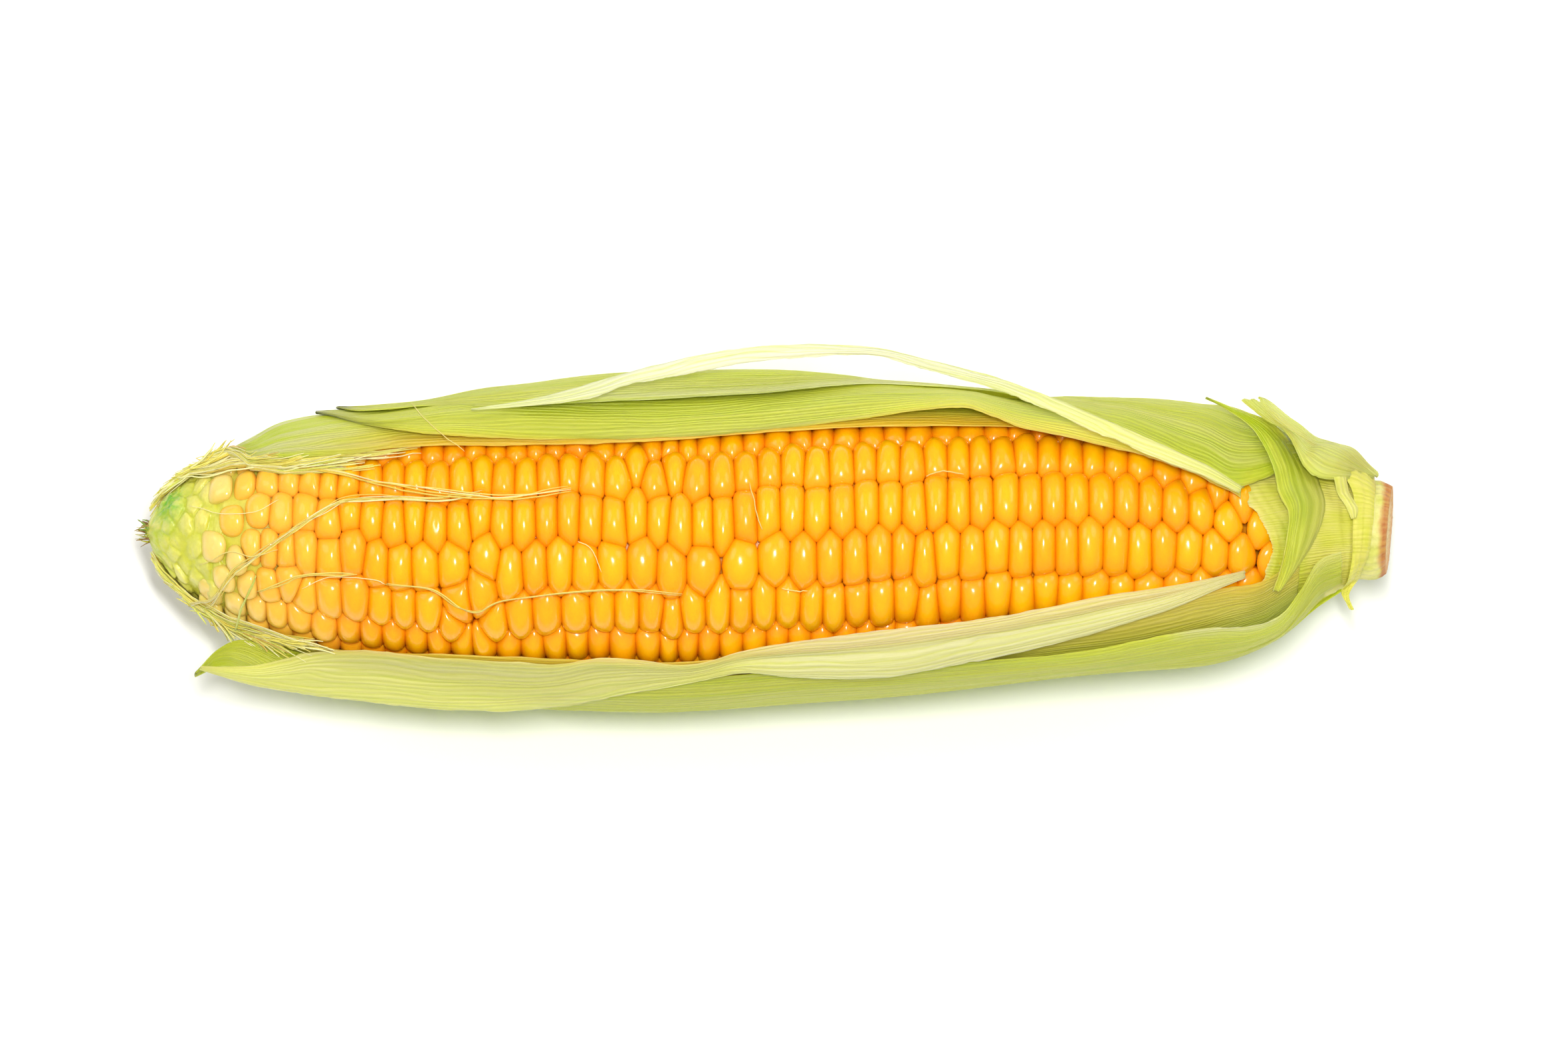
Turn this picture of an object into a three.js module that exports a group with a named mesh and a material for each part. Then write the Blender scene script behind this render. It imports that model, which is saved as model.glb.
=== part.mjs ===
import * as THREE from 'three';

// A picked ear of sweet corn with its husk partly pulled away, lying on its
// underside. Millimetres, +Z up. The tip points to -X, the cut stem to +X,
// and the open side with the kernels faces up.

// ---------------------------------------------------------------- dimensions
const AXIS_HEIGHT = 30.4;      // height of the ear's axis above the surface
const TILT_DEG = 8;            // turn of the opening about the ear's axis
const ROWS = 16;               // kernel rows round the ear
const PITCH = 4.17;            // spacing of the kernels along a row
const GROOVE = 2.1;            // depth of the valleys between the crowns
const GAP = 0.36;              // clearance between neighbouring pieces
const STEM_RADIUS = 8.5;
const FLAT_SKIN = 0.9;         // husk thickness over the resting strip
const SHIFT_X = -0.36;      // centres the ear over the origin
const SHIFT_Y = -1.74;

// crown radius of the kernels along the ear: [x, radius]
const CROWN = [
  [-103.1,13.4],
  [-100.6,15.01],
  [-94.5,17.45],
  [-87.2,19.52],
  [-77.5,21.59],
  [-65.3,23.06],
  [-53.1,23.91],
  [-37.2,24.4],
  [-18.9,24.64],
  [17.7,24.64],
  [36.0,24.4],
  [54.3,23.67],
  [66.5,22.69],
  [78.7,21.23],
  [86.0,19.52],
  [91.5,17.08],
  [94.5,14.4]
];
// sideways bend of the ear's axis: [x, offset]
const BEND = [
  [-114.3,2.56],
  [-112.8,2.44],
  [-108.9,2.07],
  [-100.6,1.34],
  [-87.2,0.98],
  [-65.3,0.49],
  [-37.2,0.0],
  [-18.9,-0.24],
  [1.5,0.24],
  [20.6,0.85],
  [36.0,1.22],
  [54.3,1.95],
  [72.8,2.44],
  [82.2,2.68],
  [115.3,2.68]
];
// angles of the six rows of the open side: [x, third, second and first row
// above the axis, first, second and third below]; the rest space out evenly
const ROW_ANGLES = [
  [-104.3,65.0,42.2,17.2,-6.5,-31.5,-54.3],
  [-92.1,63.2,40.4,17.2,-6.2,-31.5,-54.3],
  [-79.9,59.8,37.0,14.8,-6.2,-33.6,-56.4],
  [-67.7,56.0,33.2,11.8,-11.0,-36.2,-59.0],
  [-55.5,55.8,33.0,10.8,-9.8,-35.5,-58.3],
  [-43.3,56.7,33.9,11.8,-10.8,-35.5,-58.3],
  [-31.1,58.0,35.2,12.8,-10.2,-33.0,-55.8],
  [-18.9,58.5,35.8,13.0,-10.4,-32.8,-55.5],
  [-6.7,58.8,36.0,12.8,-10.2,-31.8,-54.5],
  [5.5,61.3,38.5,15.5,-8.2,-32.0,-54.8],
  [17.7,62.9,40.1,16.8,-7.5,-32.1,-54.9],
  [29.9,64.2,41.4,17.6,-7.5,-32.2,-55.0],
  [42.1,66.3,43.5,18.5,-6.9,-31.9,-54.7],
  [54.3,66.5,43.8,18.0,-6.5,-32.6,-55.4],
  [66.5,64.4,41.6,16.8,-8.1,-34.2,-57.0],
  [78.7,60.0,37.2,12.0,-11.0,-35.8,-58.5],
  [88.5,56.9,34.1,9.1,-14.6,-39.0,-61.8],
  [94.5,56.9,34.1,9.1,-14.6,-39.0,-61.8]
];
// radius at which the kernels sit on the cob: [x, radius]
const SEAT = [
  [-102.8,7.6],
  [-94.5,10.2],
  [-82.3,12.2],
  [-65.3,14.0],
  [-37.2,15.2],
  [17.7,15.4],
  [54.3,14.8],
  [72.6,13.4],
  [84.8,11.0],
  [91.5,9.3]
];
// pale undeveloped tip of the cob and its core: [x, radius, bump]
const COB = [
  [-113.8,1.0,0],
  [-113.3,3.0,0],
  [-112.1,5.6,0.4],
  [-110.7,7.6,0.7],
  [-108.9,9.4,0.8],
  [-107.1,10.9,0.9],
  [-105.4,12.0,0.9],
  [-104.2,12.3,0.6],
  [-103.9,6.9,0],
  [-102.8,7.01,0],
  [-94.5,9.54,0],
  [-82.3,11.49,0],
  [-65.3,13.25,0],
  [-37.2,14.42,0],
  [17.7,14.62,0],
  [54.3,14.03,0],
  [72.6,12.66,0],
  [84.8,10.32,0],
  [92.4,8.67,0]
];

// centres of the kernels of each row along X; row 0 is the first row above
// the ear's own axis, on the open side, and the numbers go up and round
const KERNELS = [
  [-97.3,-92.3,-88.4,-84.0,-79.6,-75.7,-71.8,-67.6,-64.0,-60.2,-55.9,-52.0,-48.0,-44.2,-39.9,-36.0,-32.1,-27.7,-23.8,-19.7,-15.7,-11.7,-8.1,-4.1,0.2,4.3,9.0,13.6,17.9,22.2,26.6,30.5,34.5,38.7,43.1,47.6,51.9,55.9,60.5,65.1,69.4,73.9,78.6,83.6,89.6],
  [-99.4,-95.1,-91.0,-86.9,-83.0,-79.5,-76.3,-72.0,-67.8,-64.0,-59.7,-55.4,-51.8,-47.8,-43.8,-39.7,-36.0,-31.8,-27.1,-24.0,-20.3,-17.0,-12.8,-8.2,-4.0,0.4,4.6,8.9,13.5,17.6,22.0,26.1,30.5,34.8,38.5,42.5,46.9,51.2,55.2,59.2,63.3,67.7,72.4,77.7,81.9,85.7],
  [-98.7,-95.0,-91.1,-87.0,-82.8,-78.5,-74.8,-69.2,-65.2,-60.8,-57.0,-53.1,-49.4,-45.6,-42.2,-38.6,-35.0,-29.7,-25.9,-21.0,-17.5,-14.8,-11.0,-6.2,-2.8,1.8,6.3,9.8,14.4,19.0,23.2,27.3,32.5,37.1,41.8,45.8,50.0,54.2,58.6,62.5,66.6,70.5,74.8,79.1,83.0,87.5],
  [-99.6,-95.6,-91.4,-87.3,-83.3,-79.0,-75.0,-70.8,-66.8,-62.7,-58.7,-54.6,-50.2,-45.9,-41.8,-37.4,-33.4,-29.3,-24.9,-20.7,-16.7,-12.3,-8.3,-4.2,0.1,4.2,8.2,12.1,16.1,20.3,24.3,28.5,32.6,36.8,41.2,45.4,49.6,54.0,57.9,61.9,66.3,70.7,74.7,78.7,83.0,87.4],
  [-97.6,-93.6,-89.1,-85.2,-81.0,-76.7,-72.3,-67.9,-63.7,-59.3,-54.9,-50.8,-46.5,-42.1,-37.8,-33.6,-29.3,-24.9,-20.7,-16.5,-12.4,-8.1,-3.9,0.0,4.3,8.7,13.1,17.4,21.5,25.8,30.1,34.2,38.6,42.5,46.8,50.7,54.9,59.1,63.1,67.4,71.6,75.8,80.2,84.2,88.1],
  [-99.9,-96.0,-91.6,-87.6,-83.6,-79.7,-75.5,-71.3,-67.1,-62.8,-58.5,-54.0,-49.8,-45.8,-41.6,-37.6,-33.7,-29.6,-25.3,-21.3,-17.3,-13.2,-8.9,-4.7,-0.5,3.8,7.9,12.3,16.7,20.6,25.0,29.3,33.3,37.4,41.7,46.1,50.2,54.4,58.8,63.1,67.6,71.7,76.0,80.0,84.3,88.6],
  [-97.8,-93.3,-89.1,-84.9,-80.9,-76.7,-72.6,-68.3,-64.4,-60.0,-55.8,-51.7,-47.4,-43.2,-39.0,-34.7,-30.8,-26.6,-22.5,-18.0,-13.6,-9.6,-5.4,-1.5,2.7,7.0,11.4,15.6,19.6,23.6,27.9,32.3,36.2,40.6,44.5,48.4,52.5,56.7,60.8,64.9,69.1,73.1,77.4,81.3,85.5],
  [-100.1,-96.2,-92.2,-88.3,-84.1,-79.9,-75.7,-71.8,-67.8,-63.8,-59.4,-54.9,-50.5,-46.6,-42.7,-38.2,-34.1,-29.8,-25.7,-21.6,-17.4,-13.2,-9.0,-5.1,-0.8,3.5,7.5,11.7,16.0,20.1,24.1,28.0,32.2,36.1,40.5,44.9,49.1,53.5,57.8,61.9,66.1,70.3,74.7,79.1,83.1,87.5],
  [-97.3,-92.9,-89.0,-84.8,-80.4,-76.5,-72.1,-68.1,-64.0,-60.0,-55.8,-51.6,-47.7,-43.3,-39.1,-35.0,-30.7,-26.6,-22.6,-18.3,-14.1,-10.1,-5.8,-1.7,2.2,6.2,10.1,14.0,18.4,22.5,26.9,31.2,35.1,39.5,44.0,47.9,52.3,56.4,60.6,65.0,69.1,73.2,77.7,82.0,86.1],
  [-100.2,-95.9,-91.7,-87.4,-83.3,-79.2,-75.2,-71.1,-66.8,-62.4,-58.5,-54.5,-50.2,-46.0,-41.6,-37.6,-33.5,-29.5,-25.1,-21.0,-16.8,-12.3,-8.2,-4.0,0.3,4.7,8.8,12.9,16.8,21.2,25.2,29.1,33.3,37.4,41.7,45.8,50.1,54.0,58.0,62.3,66.2,70.3,74.6,78.9,82.9,86.9],
  [-98.0,-94.0,-89.7,-85.5,-81.4,-77.4,-73.1,-68.9,-64.6,-60.5,-56.4,-52.0,-47.7,-43.5,-39.3,-35.0,-30.8,-26.3,-22.2,-17.9,-13.6,-9.2,-4.9,-0.5,3.9,8.3,12.6,16.8,21.1,25.4,29.5,33.7,37.6,41.9,46.4,50.5,54.5,58.5,62.6,66.6,71.1,75.0,79.0,83.0,87.2],
  [-100.1,-96.1,-92.1,-88.0,-83.6,-79.5,-75.2,-70.8,-66.7,-62.5,-58.6,-54.2,-50.4,-46.0,-41.6,-37.3,-33.3,-29.3,-25.0,-21.1,-16.9,-12.8,-8.3,-4.1,0.3,4.3,8.7,12.8,17.2,21.1,25.5,29.5,33.7,37.9,41.8,46.2,50.3,54.3,58.2,62.3,66.5,70.7,74.8,79.1,83.1,87.2],
  [-97.4,-93.3,-89.0,-84.7,-80.3,-76.2,-72.2,-68.0,-64.1,-60.0,-55.7,-51.3,-47.0,-42.7,-38.5,-34.6,-30.5,-26.4,-22.2,-18.2,-14.1,-9.9,-5.6,-1.3,3.0,7.0,11.3,15.7,19.9,24.0,28.1,32.1,36.4,40.8,45.0,49.3,53.7,57.7,62.1,66.4,70.4,74.3,78.3,82.5,86.8],
  [-97.1,-92.9,-89.9,-85.2,-81.0,-76.2,-72.1,-68.3,-63.8,-59.9,-55.6,-51.5,-47.2,-42.6,-38.7,-34.6,-30.7,-26.6,-21.3,-18.0,-14.6,-10.7,-6.6,-2.4,1.9,5.7,9.9,14.3,17.9,21.2,25.4,29.3,33.5,37.2,41.8,46.0,50.1,54.4,58.3,62.5,66.5,70.9,75.2,79.3,83.4,87.7],
  [-98.6,-94.7,-90.8,-87.0,-83.9,-79.8,-74.8,-70.3,-66.1,-61.5,-57.5,-51.7,-49.5,-44.9,-40.2,-34.5,-29.8,-25.6,-21.0,-17.3,-13.6,-8.8,-4.9,-0.7,3.7,8.1,12.0,16.2,20.6,25.2,29.0,32.9,37.2,41.7,46.2,50.5,54.6,59.5,63.9,69.1,74.9,78.9,83.1,87.5],
  [-100.5,-96.4,-93.5,-90.5,-87.3,-84.1,-79.5,-75.2,-70.8,-66.7,-62.1,-57.0,-50.8,-46.7,-42.1,-37.6,-33.0,-28.2,-22.6,-17.4,-11.9,-4.8,1.4,6.5,11.4,15.8,20.3,24.6,28.3,32.4,37.1,41.5,45.9,50.1,54.1,58.4,63.0,67.5,71.8,76.3,81.2,85.9]
];

// Husk leaves and other thin pieces as control nets. Each net is a list of
// stations along the leaf, and each station runs across it. A control point
// is [x, angle, radius]: degrees round the ear's axis, 0 on the open side.
const LEAVES = {
  inner_leaf_back: { look: 'pale', thick: 0.8, nu: 17, nv: 9, grid: [
    [[-99.5,84.5,16.01],[-99.3,86.8,16.01],[-99.0,89.1,16.42],[-98.8,91.4,16.42],[-98.6,93.7,16.42],[-98.4,96.0,16.42]],
    [[-94.5,55.8,18.04],[-94.7,67.1,18.04],[-94.9,78.3,18.2],[-95.2,89.5,18.06],[-95.4,100.8,17.68],[-95.6,112.0,17.64]],
    [[-87.6,46.1,20.4],[-87.9,64.9,21.22],[-88.3,83.7,21.6],[-88.7,102.4,21.32],[-89.1,121.2,20.55],[-89.4,140.0,20.4]],
    [[-76.6,43.8,22.6],[-77.0,66.7,23.22],[-77.5,89.5,23.5],[-77.9,112.3,23.29],[-78.3,135.2,22.71],[-78.6,158.0,22.6]],
    [[-64.5,45.4,24.2],[-64.9,70.0,24.41],[-65.3,94.5,23.92],[-65.8,119.0,23.92],[-66.1,143.5,23.92],[-66.3,168.0,23.8]],
    [[-47.6,44.8,25.2],[-47.9,69.5,25.41],[-48.2,94.1,25.5],[-48.6,118.7,25.43],[-48.8,143.4,25.24],[-49.0,168.0,25.2]],
    [[-30.7,45.7,25.7],[-30.9,70.2,25.91],[-31.2,94.6,26.0],[-31.4,119.1,25.93],[-31.5,143.5,25.74],[-31.6,168.0,25.7]],
    [[-12.7,48.7,25.8],[-12.7,72.6,26.01],[-12.8,96.4,26.1],[-12.9,120.3,26.03],[-13.0,144.1,25.84],[-13.0,168.0,25.8]],
    [[5.4,51.8,25.8],[5.5,75.0,26.01],[5.5,98.3,26.1],[5.5,121.5,26.03],[5.6,144.8,25.84],[5.6,168.0,25.8]],
    [[23.5,52.4,25.8],[23.7,75.5,26.01],[23.9,98.6,26.1],[24.0,121.8,26.03],[24.1,144.9,25.84],[24.2,168.0,25.8]],
    [[41.6,51.0,25.6],[41.9,74.4,25.12],[42.2,97.8,25.08],[42.4,121.2,25.08],[42.7,144.6,25.08],[42.8,168.0,25.08]],
    [[56.1,46.9,25.0],[56.5,71.1,24.41],[56.8,95.3,24.41],[57.2,119.5,24.33],[57.4,143.8,24.33],[57.6,168.0,24.33]],
    [[68.1,42.2,23.8],[68.5,67.4,24.01],[69.0,92.5,23.34],[69.4,117.7,23.21],[69.7,142.8,23.21],[69.9,168.0,23.21]],
    [[80.1,32.1,22.2],[80.5,59.3,22.41],[81.1,86.5,21.59],[81.6,113.6,21.35],[82.0,140.8,21.35],[82.2,168.0,21.11]],
    [[88.0,25.7,19.44],[88.3,50.6,19.61],[88.8,75.4,19.17],[89.3,100.3,19.17],[89.7,125.1,19.17],[90.0,150.0,19.17]]] },
  middle_leaf_back: { look: 'husk', thick: 0.8, nu: 21, nv: 9, grid: [
    [[-82.7,73.4,24.64],[-82.8,77.0,24.72],[-82.9,80.6,24.87],[-83.0,84.2,24.89],[-83.0,87.8,24.89],[-83.1,91.4,24.76]],
    [[-74.1,54.1,26.4],[-74.4,64.1,25.59],[-74.6,74.1,25.7],[-74.8,84.1,25.7],[-75.0,94.0,25.7],[-75.2,104.0,25.64]],
    [[-65.1,44.6,28.4],[-65.5,62.1,26.61],[-65.8,79.6,26.48],[-66.1,97.1,26.08],[-66.4,114.5,26.12],[-66.7,132.0,26.13]],
    [[-55.9,41.8,28.9],[-56.3,65.4,27.43],[-56.7,89.1,26.9],[-57.1,112.7,26.69],[-57.5,136.4,26.66],[-57.7,160.0,26.69]],
    [[-42.6,41.0,28.6],[-42.8,64.8,28.62],[-43.2,88.6,28.62],[-43.5,112.4,27.94],[-43.8,136.2,27.26],[-43.9,160.0,26.92]],
    [[-30.7,43.4,27.6],[-30.9,66.8,28.2],[-31.1,90.1,28.55],[-31.3,113.4,28.0],[-31.5,136.7,27.45],[-31.6,160.0,27.18]],
    [[-20.2,45.0,27.4],[-20.4,68.0,28.01],[-20.5,91.0,28.35],[-20.7,114.0,27.93],[-20.8,137.0,27.52],[-20.8,160.0,27.32]],
    [[-7.3,46.8,27.4],[-7.4,69.4,28.02],[-7.4,92.1,28.33],[-7.5,114.7,27.93],[-7.5,137.4,27.53],[-7.6,160.0,27.34]],
    [[2.4,48.8,27.5],[2.4,71.1,28.14],[2.4,93.3,28.4],[2.5,115.5,27.97],[2.5,137.8,27.54],[2.5,160.0,27.34]],
    [[17.5,50.3,28.6],[17.6,72.3,28.83],[17.7,94.2,28.79],[17.8,116.1,28.2],[17.9,138.1,27.61],[18.0,160.0,27.34]],
    [[27.1,51.2,29.6],[27.3,73.0,28.37],[27.5,94.7,27.67],[27.7,116.5,27.48],[27.8,138.2,27.3],[27.9,160.0,27.21]],
    [[35.5,51.5,30.0],[35.8,73.2,27.71],[36.0,94.9,26.85],[36.3,116.6,26.76],[36.5,138.3,26.71],[36.6,160.0,26.67]],
    [[40.9,47.6,29.2],[41.2,68.1,27.09],[41.5,88.5,26.45],[41.7,109.0,26.45],[41.9,129.5,26.45],[42.1,150.0,26.44]],
    [[46.3,43.9,27.8],[46.6,65.1,26.45],[46.9,86.4,26.21],[47.2,107.6,26.17],[47.5,128.8,26.17],[47.6,150.0,26.18]],
    [[55.9,38.7,27.0],[56.3,60.9,26.03],[56.6,83.2,25.75],[57.0,105.5,25.76],[57.3,127.7,25.63],[57.5,150.0,25.7]],
    [[65.5,33.7,25.8],[65.9,57.0,25.53],[66.3,80.2,25.31],[66.7,103.5,24.96],[67.1,126.7,24.89],[67.4,150.0,24.82]],
    [[73.5,27.8,24.8],[73.8,52.3,24.83],[74.3,76.7,24.48],[74.8,101.1,23.98],[75.2,125.6,23.78],[75.5,150.0,23.77]],
    [[79.5,22.2,23.6],[79.8,47.7,24.01],[80.3,73.3,23.64],[80.8,98.9,23.05],[81.3,124.4,22.79],[81.7,150.0,22.92]],
    [[86.0,15.0,21.2],[86.3,41.2,21.95],[86.8,67.4,21.8],[87.3,93.6,21.27],[87.8,119.8,21.43],[88.2,146.0,21.38]]] },
  outer_leaf_back: { look: 'husk', thick: 0.8, nu: 22, nv: 9, grid: [
    [[-79.1,81.4,27.13],[-79.2,84.2,27.13],[-79.2,87.0,27.13],[-79.3,89.8,27.16],[-79.4,92.6,27.16],[-79.4,95.4,27.16]],
    [[-74.6,73.9,27.66],[-74.7,79.9,27.69],[-74.8,85.9,27.68],[-74.9,91.9,27.68],[-75.1,98.0,27.68],[-75.2,104.0,27.61]],
    [[-62.4,65.0,28.86],[-62.6,79.6,28.47],[-62.9,94.2,28.34],[-63.2,108.8,28.09],[-63.4,123.4,28.14],[-63.6,138.0,28.18]],
    [[-52.5,60.3,29.78],[-52.8,79.2,29.29],[-53.1,98.2,29.0],[-53.4,117.1,28.74],[-53.7,136.1,28.53],[-53.8,155.0,28.42]],
    [[-42.7,58.1,30.03],[-43.0,80.5,30.12],[-43.4,102.9,29.79],[-43.7,125.2,29.07],[-43.9,147.6,28.54],[-44.0,170.0,28.42]],
    [[-33.2,55.5,31.24],[-33.4,78.4,31.1],[-33.7,101.3,30.59],[-33.9,124.2,29.68],[-34.1,147.1,28.76],[-34.2,170.0,28.65]],
    [[-20.2,55.5,32.14],[-20.4,78.4,32.01],[-20.6,101.3,31.35],[-20.7,124.2,30.16],[-20.8,147.1,28.97],[-20.9,170.0,28.82]],
    [[-0.8,58.7,31.98],[-0.9,81.0,31.83],[-0.9,103.2,31.13],[-0.9,125.5,30.04],[-0.9,147.7,28.95],[-0.9,170.0,28.84]],
    [[11.5,66.7,30.87],[11.6,87.4,30.69],[11.7,108.0,30.12],[11.7,128.7,29.49],[11.8,149.3,28.86],[11.8,170.0,28.84]],
    [[20.0,74.4,30.13],[20.2,93.6,30.02],[20.3,112.7,29.6],[20.4,131.8,29.1],[20.5,150.9,28.81],[20.5,170.0,28.81]],
    [[32.2,76.2,29.47],[32.4,94.9,28.6],[32.6,113.7,28.47],[32.7,132.5,28.39],[32.9,151.2,28.33],[32.9,170.0,28.03]],
    [[41.9,75.8,28.23],[42.2,94.7,27.71],[42.4,113.5,27.75],[42.6,132.3,27.77],[42.7,151.2,27.76],[42.8,170.0,26.44]],
    [[49.1,65.2,27.75],[49.4,86.2,27.44],[49.7,107.1,27.4],[49.9,128.1,27.41],[50.1,149.0,27.37],[50.2,170.0,26.08]],
    [[55.3,56.6,27.68],[55.6,79.3,27.17],[55.9,101.9,27.18],[56.3,124.6,27.04],[56.5,147.3,27.09],[56.6,170.0,25.76]],
    [[60.3,47.0,27.63],[60.7,71.6,27.02],[61.1,96.2,26.81],[61.5,120.8,26.74],[61.8,145.4,26.72],[62.0,170.0,25.37]],
    [[65.7,41.3,27.13],[66.1,67.0,26.85],[66.5,92.8,26.51],[67.0,118.5,26.34],[67.3,144.3,26.21],[67.5,170.0,24.83]],
    [[72.8,32.6,26.33],[73.2,60.1,26.21],[73.8,87.6,25.85],[74.3,115.0,25.33],[74.7,142.5,25.29],[74.9,170.0,23.98]],
    [[79.4,25.3,25.2],[79.8,54.3,25.57],[80.4,83.2,24.97],[81.0,112.1,24.47],[81.5,141.1,24.33],[81.7,170.0,22.86]],
    [[84.8,19.3,23.52],[85.2,49.5,23.89],[85.8,79.6,23.61],[86.4,109.7,23.36],[87.0,139.9,23.5],[87.3,170.0,22.2]],
    [[91.6,20.2,20.68],[91.9,48.1,21.15],[92.4,76.1,19.32],[93.0,104.1,19.28],[93.5,132.0,19.28],[93.8,160.0,19.28]],
    [[97.9,22.7,17.11],[98.2,50.1,15.81],[98.6,77.6,16.01],[99.1,105.1,16.1],[99.5,132.5,16.1],[99.8,160.0,16.1]],
    [[104.2,22.4,13.49],[104.4,49.9,11.63],[104.7,77.4,11.85],[105.1,105.0,11.96],[105.5,132.5,11.96],[105.7,160.0,11.96]]] },
  torn_leaf_strip: { look: 'pale', thick: 0.7, nu: 24, nv: 3, grid: [
    [[-55.0,55.5,30.11],[-54.7,54.0,29.88],[-54.4,51.8,30.0]],
    [[-42.9,57.1,31.54],[-42.7,54.9,31.51],[-42.4,52.8,31.53]],
    [[-33.2,63.9,32.64],[-33.0,58.0,32.82],[-32.7,53.5,32.8]],
    [[-25.5,66.9,34.46],[-25.7,63.6,33.82],[-26.0,59.9,33.37]],
    [[-20.3,67.9,35.87],[-19.5,65.0,34.97],[-18.7,63.6,33.72]],
    [[-12.6,68.8,37.32],[-12.3,66.3,36.19],[-12.1,65.1,34.71]],
    [[-4.1,69.5,38.49],[-3.9,67.3,37.26],[-3.6,66.6,35.69]],
    [[5.6,68.9,38.97],[5.8,67.0,37.9],[6.0,66.4,36.48]],
    [[15.1,68.0,38.63],[15.4,66.3,37.95],[15.7,66.0,36.91]],
    [[21.6,66.4,38.03],[21.1,64.8,37.64],[20.5,64.6,36.86]],
    [[28.0,64.2,36.78],[26.8,62.3,36.54],[25.6,61.7,35.87]],
    [[34.5,61.5,35.68],[33.2,59.3,35.5],[31.9,58.5,34.85]],
    [[40.9,58.0,34.7],[39.6,55.5,34.62],[38.3,54.4,34.03]],
    [[47.3,53.3,33.46],[46.0,50.6,33.58],[44.7,49.3,33.11]],
    [[53.6,47.6,32.65],[52.3,44.8,32.84],[51.0,43.2,32.37]],
    [[60.0,41.6,31.85],[58.8,38.4,32.16],[57.6,36.3,31.76]],
    [[65.4,37.3,30.92],[64.1,34.0,31.36],[62.9,31.8,31.06]],
    [[72.6,31.7,29.14],[71.4,28.4,29.67],[70.4,26.1,29.4]],
    [[79.8,25.9,26.87],[78.9,23.3,27.33],[78.0,21.4,27.06]],
    [[86.2,18.7,24.66],[85.9,16.4,24.98],[85.7,14.4,24.98]]] },
  inner_leaf_front: { look: 'pale', thick: 0.8, nu: 17, nv: 9, grid: [
    [[-103.9,-90.0,14.0],[-103.9,-90.4,14.0],[-104.0,-90.8,14.0],[-104.0,-91.2,14.0],[-104.0,-91.6,14.0],[-104.0,-92.0,14.0]],
    [[-98.8,-90.0,16.82],[-98.9,-96.0,16.82],[-99.0,-102.0,16.82],[-99.1,-108.0,16.41],[-99.2,-114.0,16.41],[-99.3,-120.0,16.41]],
    [[-91.9,-78.0,19.31],[-92.1,-91.4,19.02],[-92.4,-104.8,19.04],[-92.7,-118.2,19.04],[-92.9,-131.6,19.02],[-93.1,-145.0,19.02]],
    [[-83.1,-68.7,21.3],[-83.5,-88.5,21.3],[-83.9,-108.4,21.3],[-84.3,-128.3,21.14],[-84.6,-148.1,21.08],[-84.7,-168.0,21.08]],
    [[-72.1,-61.0,23.19],[-72.4,-82.4,23.07],[-72.9,-103.8,23.14],[-73.2,-125.2,23.14],[-73.5,-146.6,23.05],[-73.7,-168.0,22.95]],
    [[-55.0,-54.9,24.74],[-55.3,-77.6,24.75],[-55.7,-100.2,24.84],[-56.0,-122.8,24.84],[-56.3,-145.4,24.75],[-56.4,-168.0,24.6]],
    [[-36.8,-53.6,25.5],[-37.1,-76.5,25.65],[-37.3,-99.4,25.74],[-37.6,-122.2,25.74],[-37.7,-145.1,25.65],[-37.8,-168.0,25.5]],
    [[-18.7,-54.5,25.8],[-18.8,-77.2,25.95],[-19.0,-99.9,26.04],[-19.1,-122.6,26.04],[-19.2,-145.3,25.95],[-19.2,-168.0,25.8]],
    [[-0.6,-51.2,25.8],[-0.6,-74.6,25.95],[-0.6,-97.9,26.04],[-0.6,-121.3,26.04],[-0.6,-144.6,25.95],[-0.6,-168.0,25.8]],
    [[17.5,-46.4,25.7],[17.6,-70.7,25.85],[17.7,-95.0,25.94],[17.8,-119.3,25.94],[17.9,-143.7,25.85],[18.0,-168.0,25.7]],
    [[35.5,-41.2,25.6],[35.7,-66.6,25.75],[36.0,-91.9,25.84],[36.3,-117.3,25.84],[36.5,-142.6,25.75],[36.6,-168.0,25.6]],
    [[53.6,-36.0,24.8],[53.9,-62.4,24.95],[54.3,-88.8,25.04],[54.7,-115.2,25.04],[55.0,-141.6,24.95],[55.2,-168.0,24.8]],
    [[68.0,-32.2,23.6],[68.4,-59.3,23.75],[68.9,-86.5,23.84],[69.4,-113.7,23.84],[69.8,-140.8,23.75],[70.0,-168.0,23.6]],
    [[77.7,-29.8,22.24],[78.1,-57.4,22.35],[78.6,-85.1,22.44],[79.1,-112.7,22.44],[79.6,-140.4,22.35],[79.8,-168.0,22.2]],
    [[85.0,-28.8,20.64],[85.3,-53.0,20.75],[85.7,-77.3,20.84],[86.2,-101.5,20.84],[86.7,-125.8,20.75],[87.0,-150.0,20.6]],
    [[89.7,-29.2,18.6],[90.0,-53.4,18.75],[90.4,-77.5,18.84],[90.9,-101.7,18.84],[91.3,-125.8,18.75],[91.6,-150.0,18.6]]] },
  middle_leaf_front: { look: 'pale', thick: 0.8, nu: 24, nv: 5, grid: [
    [[-103.9,-74.8,24.76],[-103.8,-73.0,25.18],[-103.8,-73.4,25.35],[-103.9,-75.8,25.28]],
    [[-100.2,-75.3,24.38],[-100.1,-74.1,25.13],[-100.1,-75.1,25.65],[-100.2,-78.0,25.98]],
    [[-93.6,-73.1,24.06],[-93.5,-74.4,25.32],[-93.4,-77.6,26.41],[-93.3,-82.5,27.43]],
    [[-88.0,-69.6,22.96],[-87.6,-73.0,24.76],[-87.3,-78.1,26.5],[-87.1,-84.3,28.27]],
    [[-82.5,-61.4,22.97],[-82.3,-71.3,24.29],[-82.2,-78.0,26.56],[-82.2,-85.2,28.98]],
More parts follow.
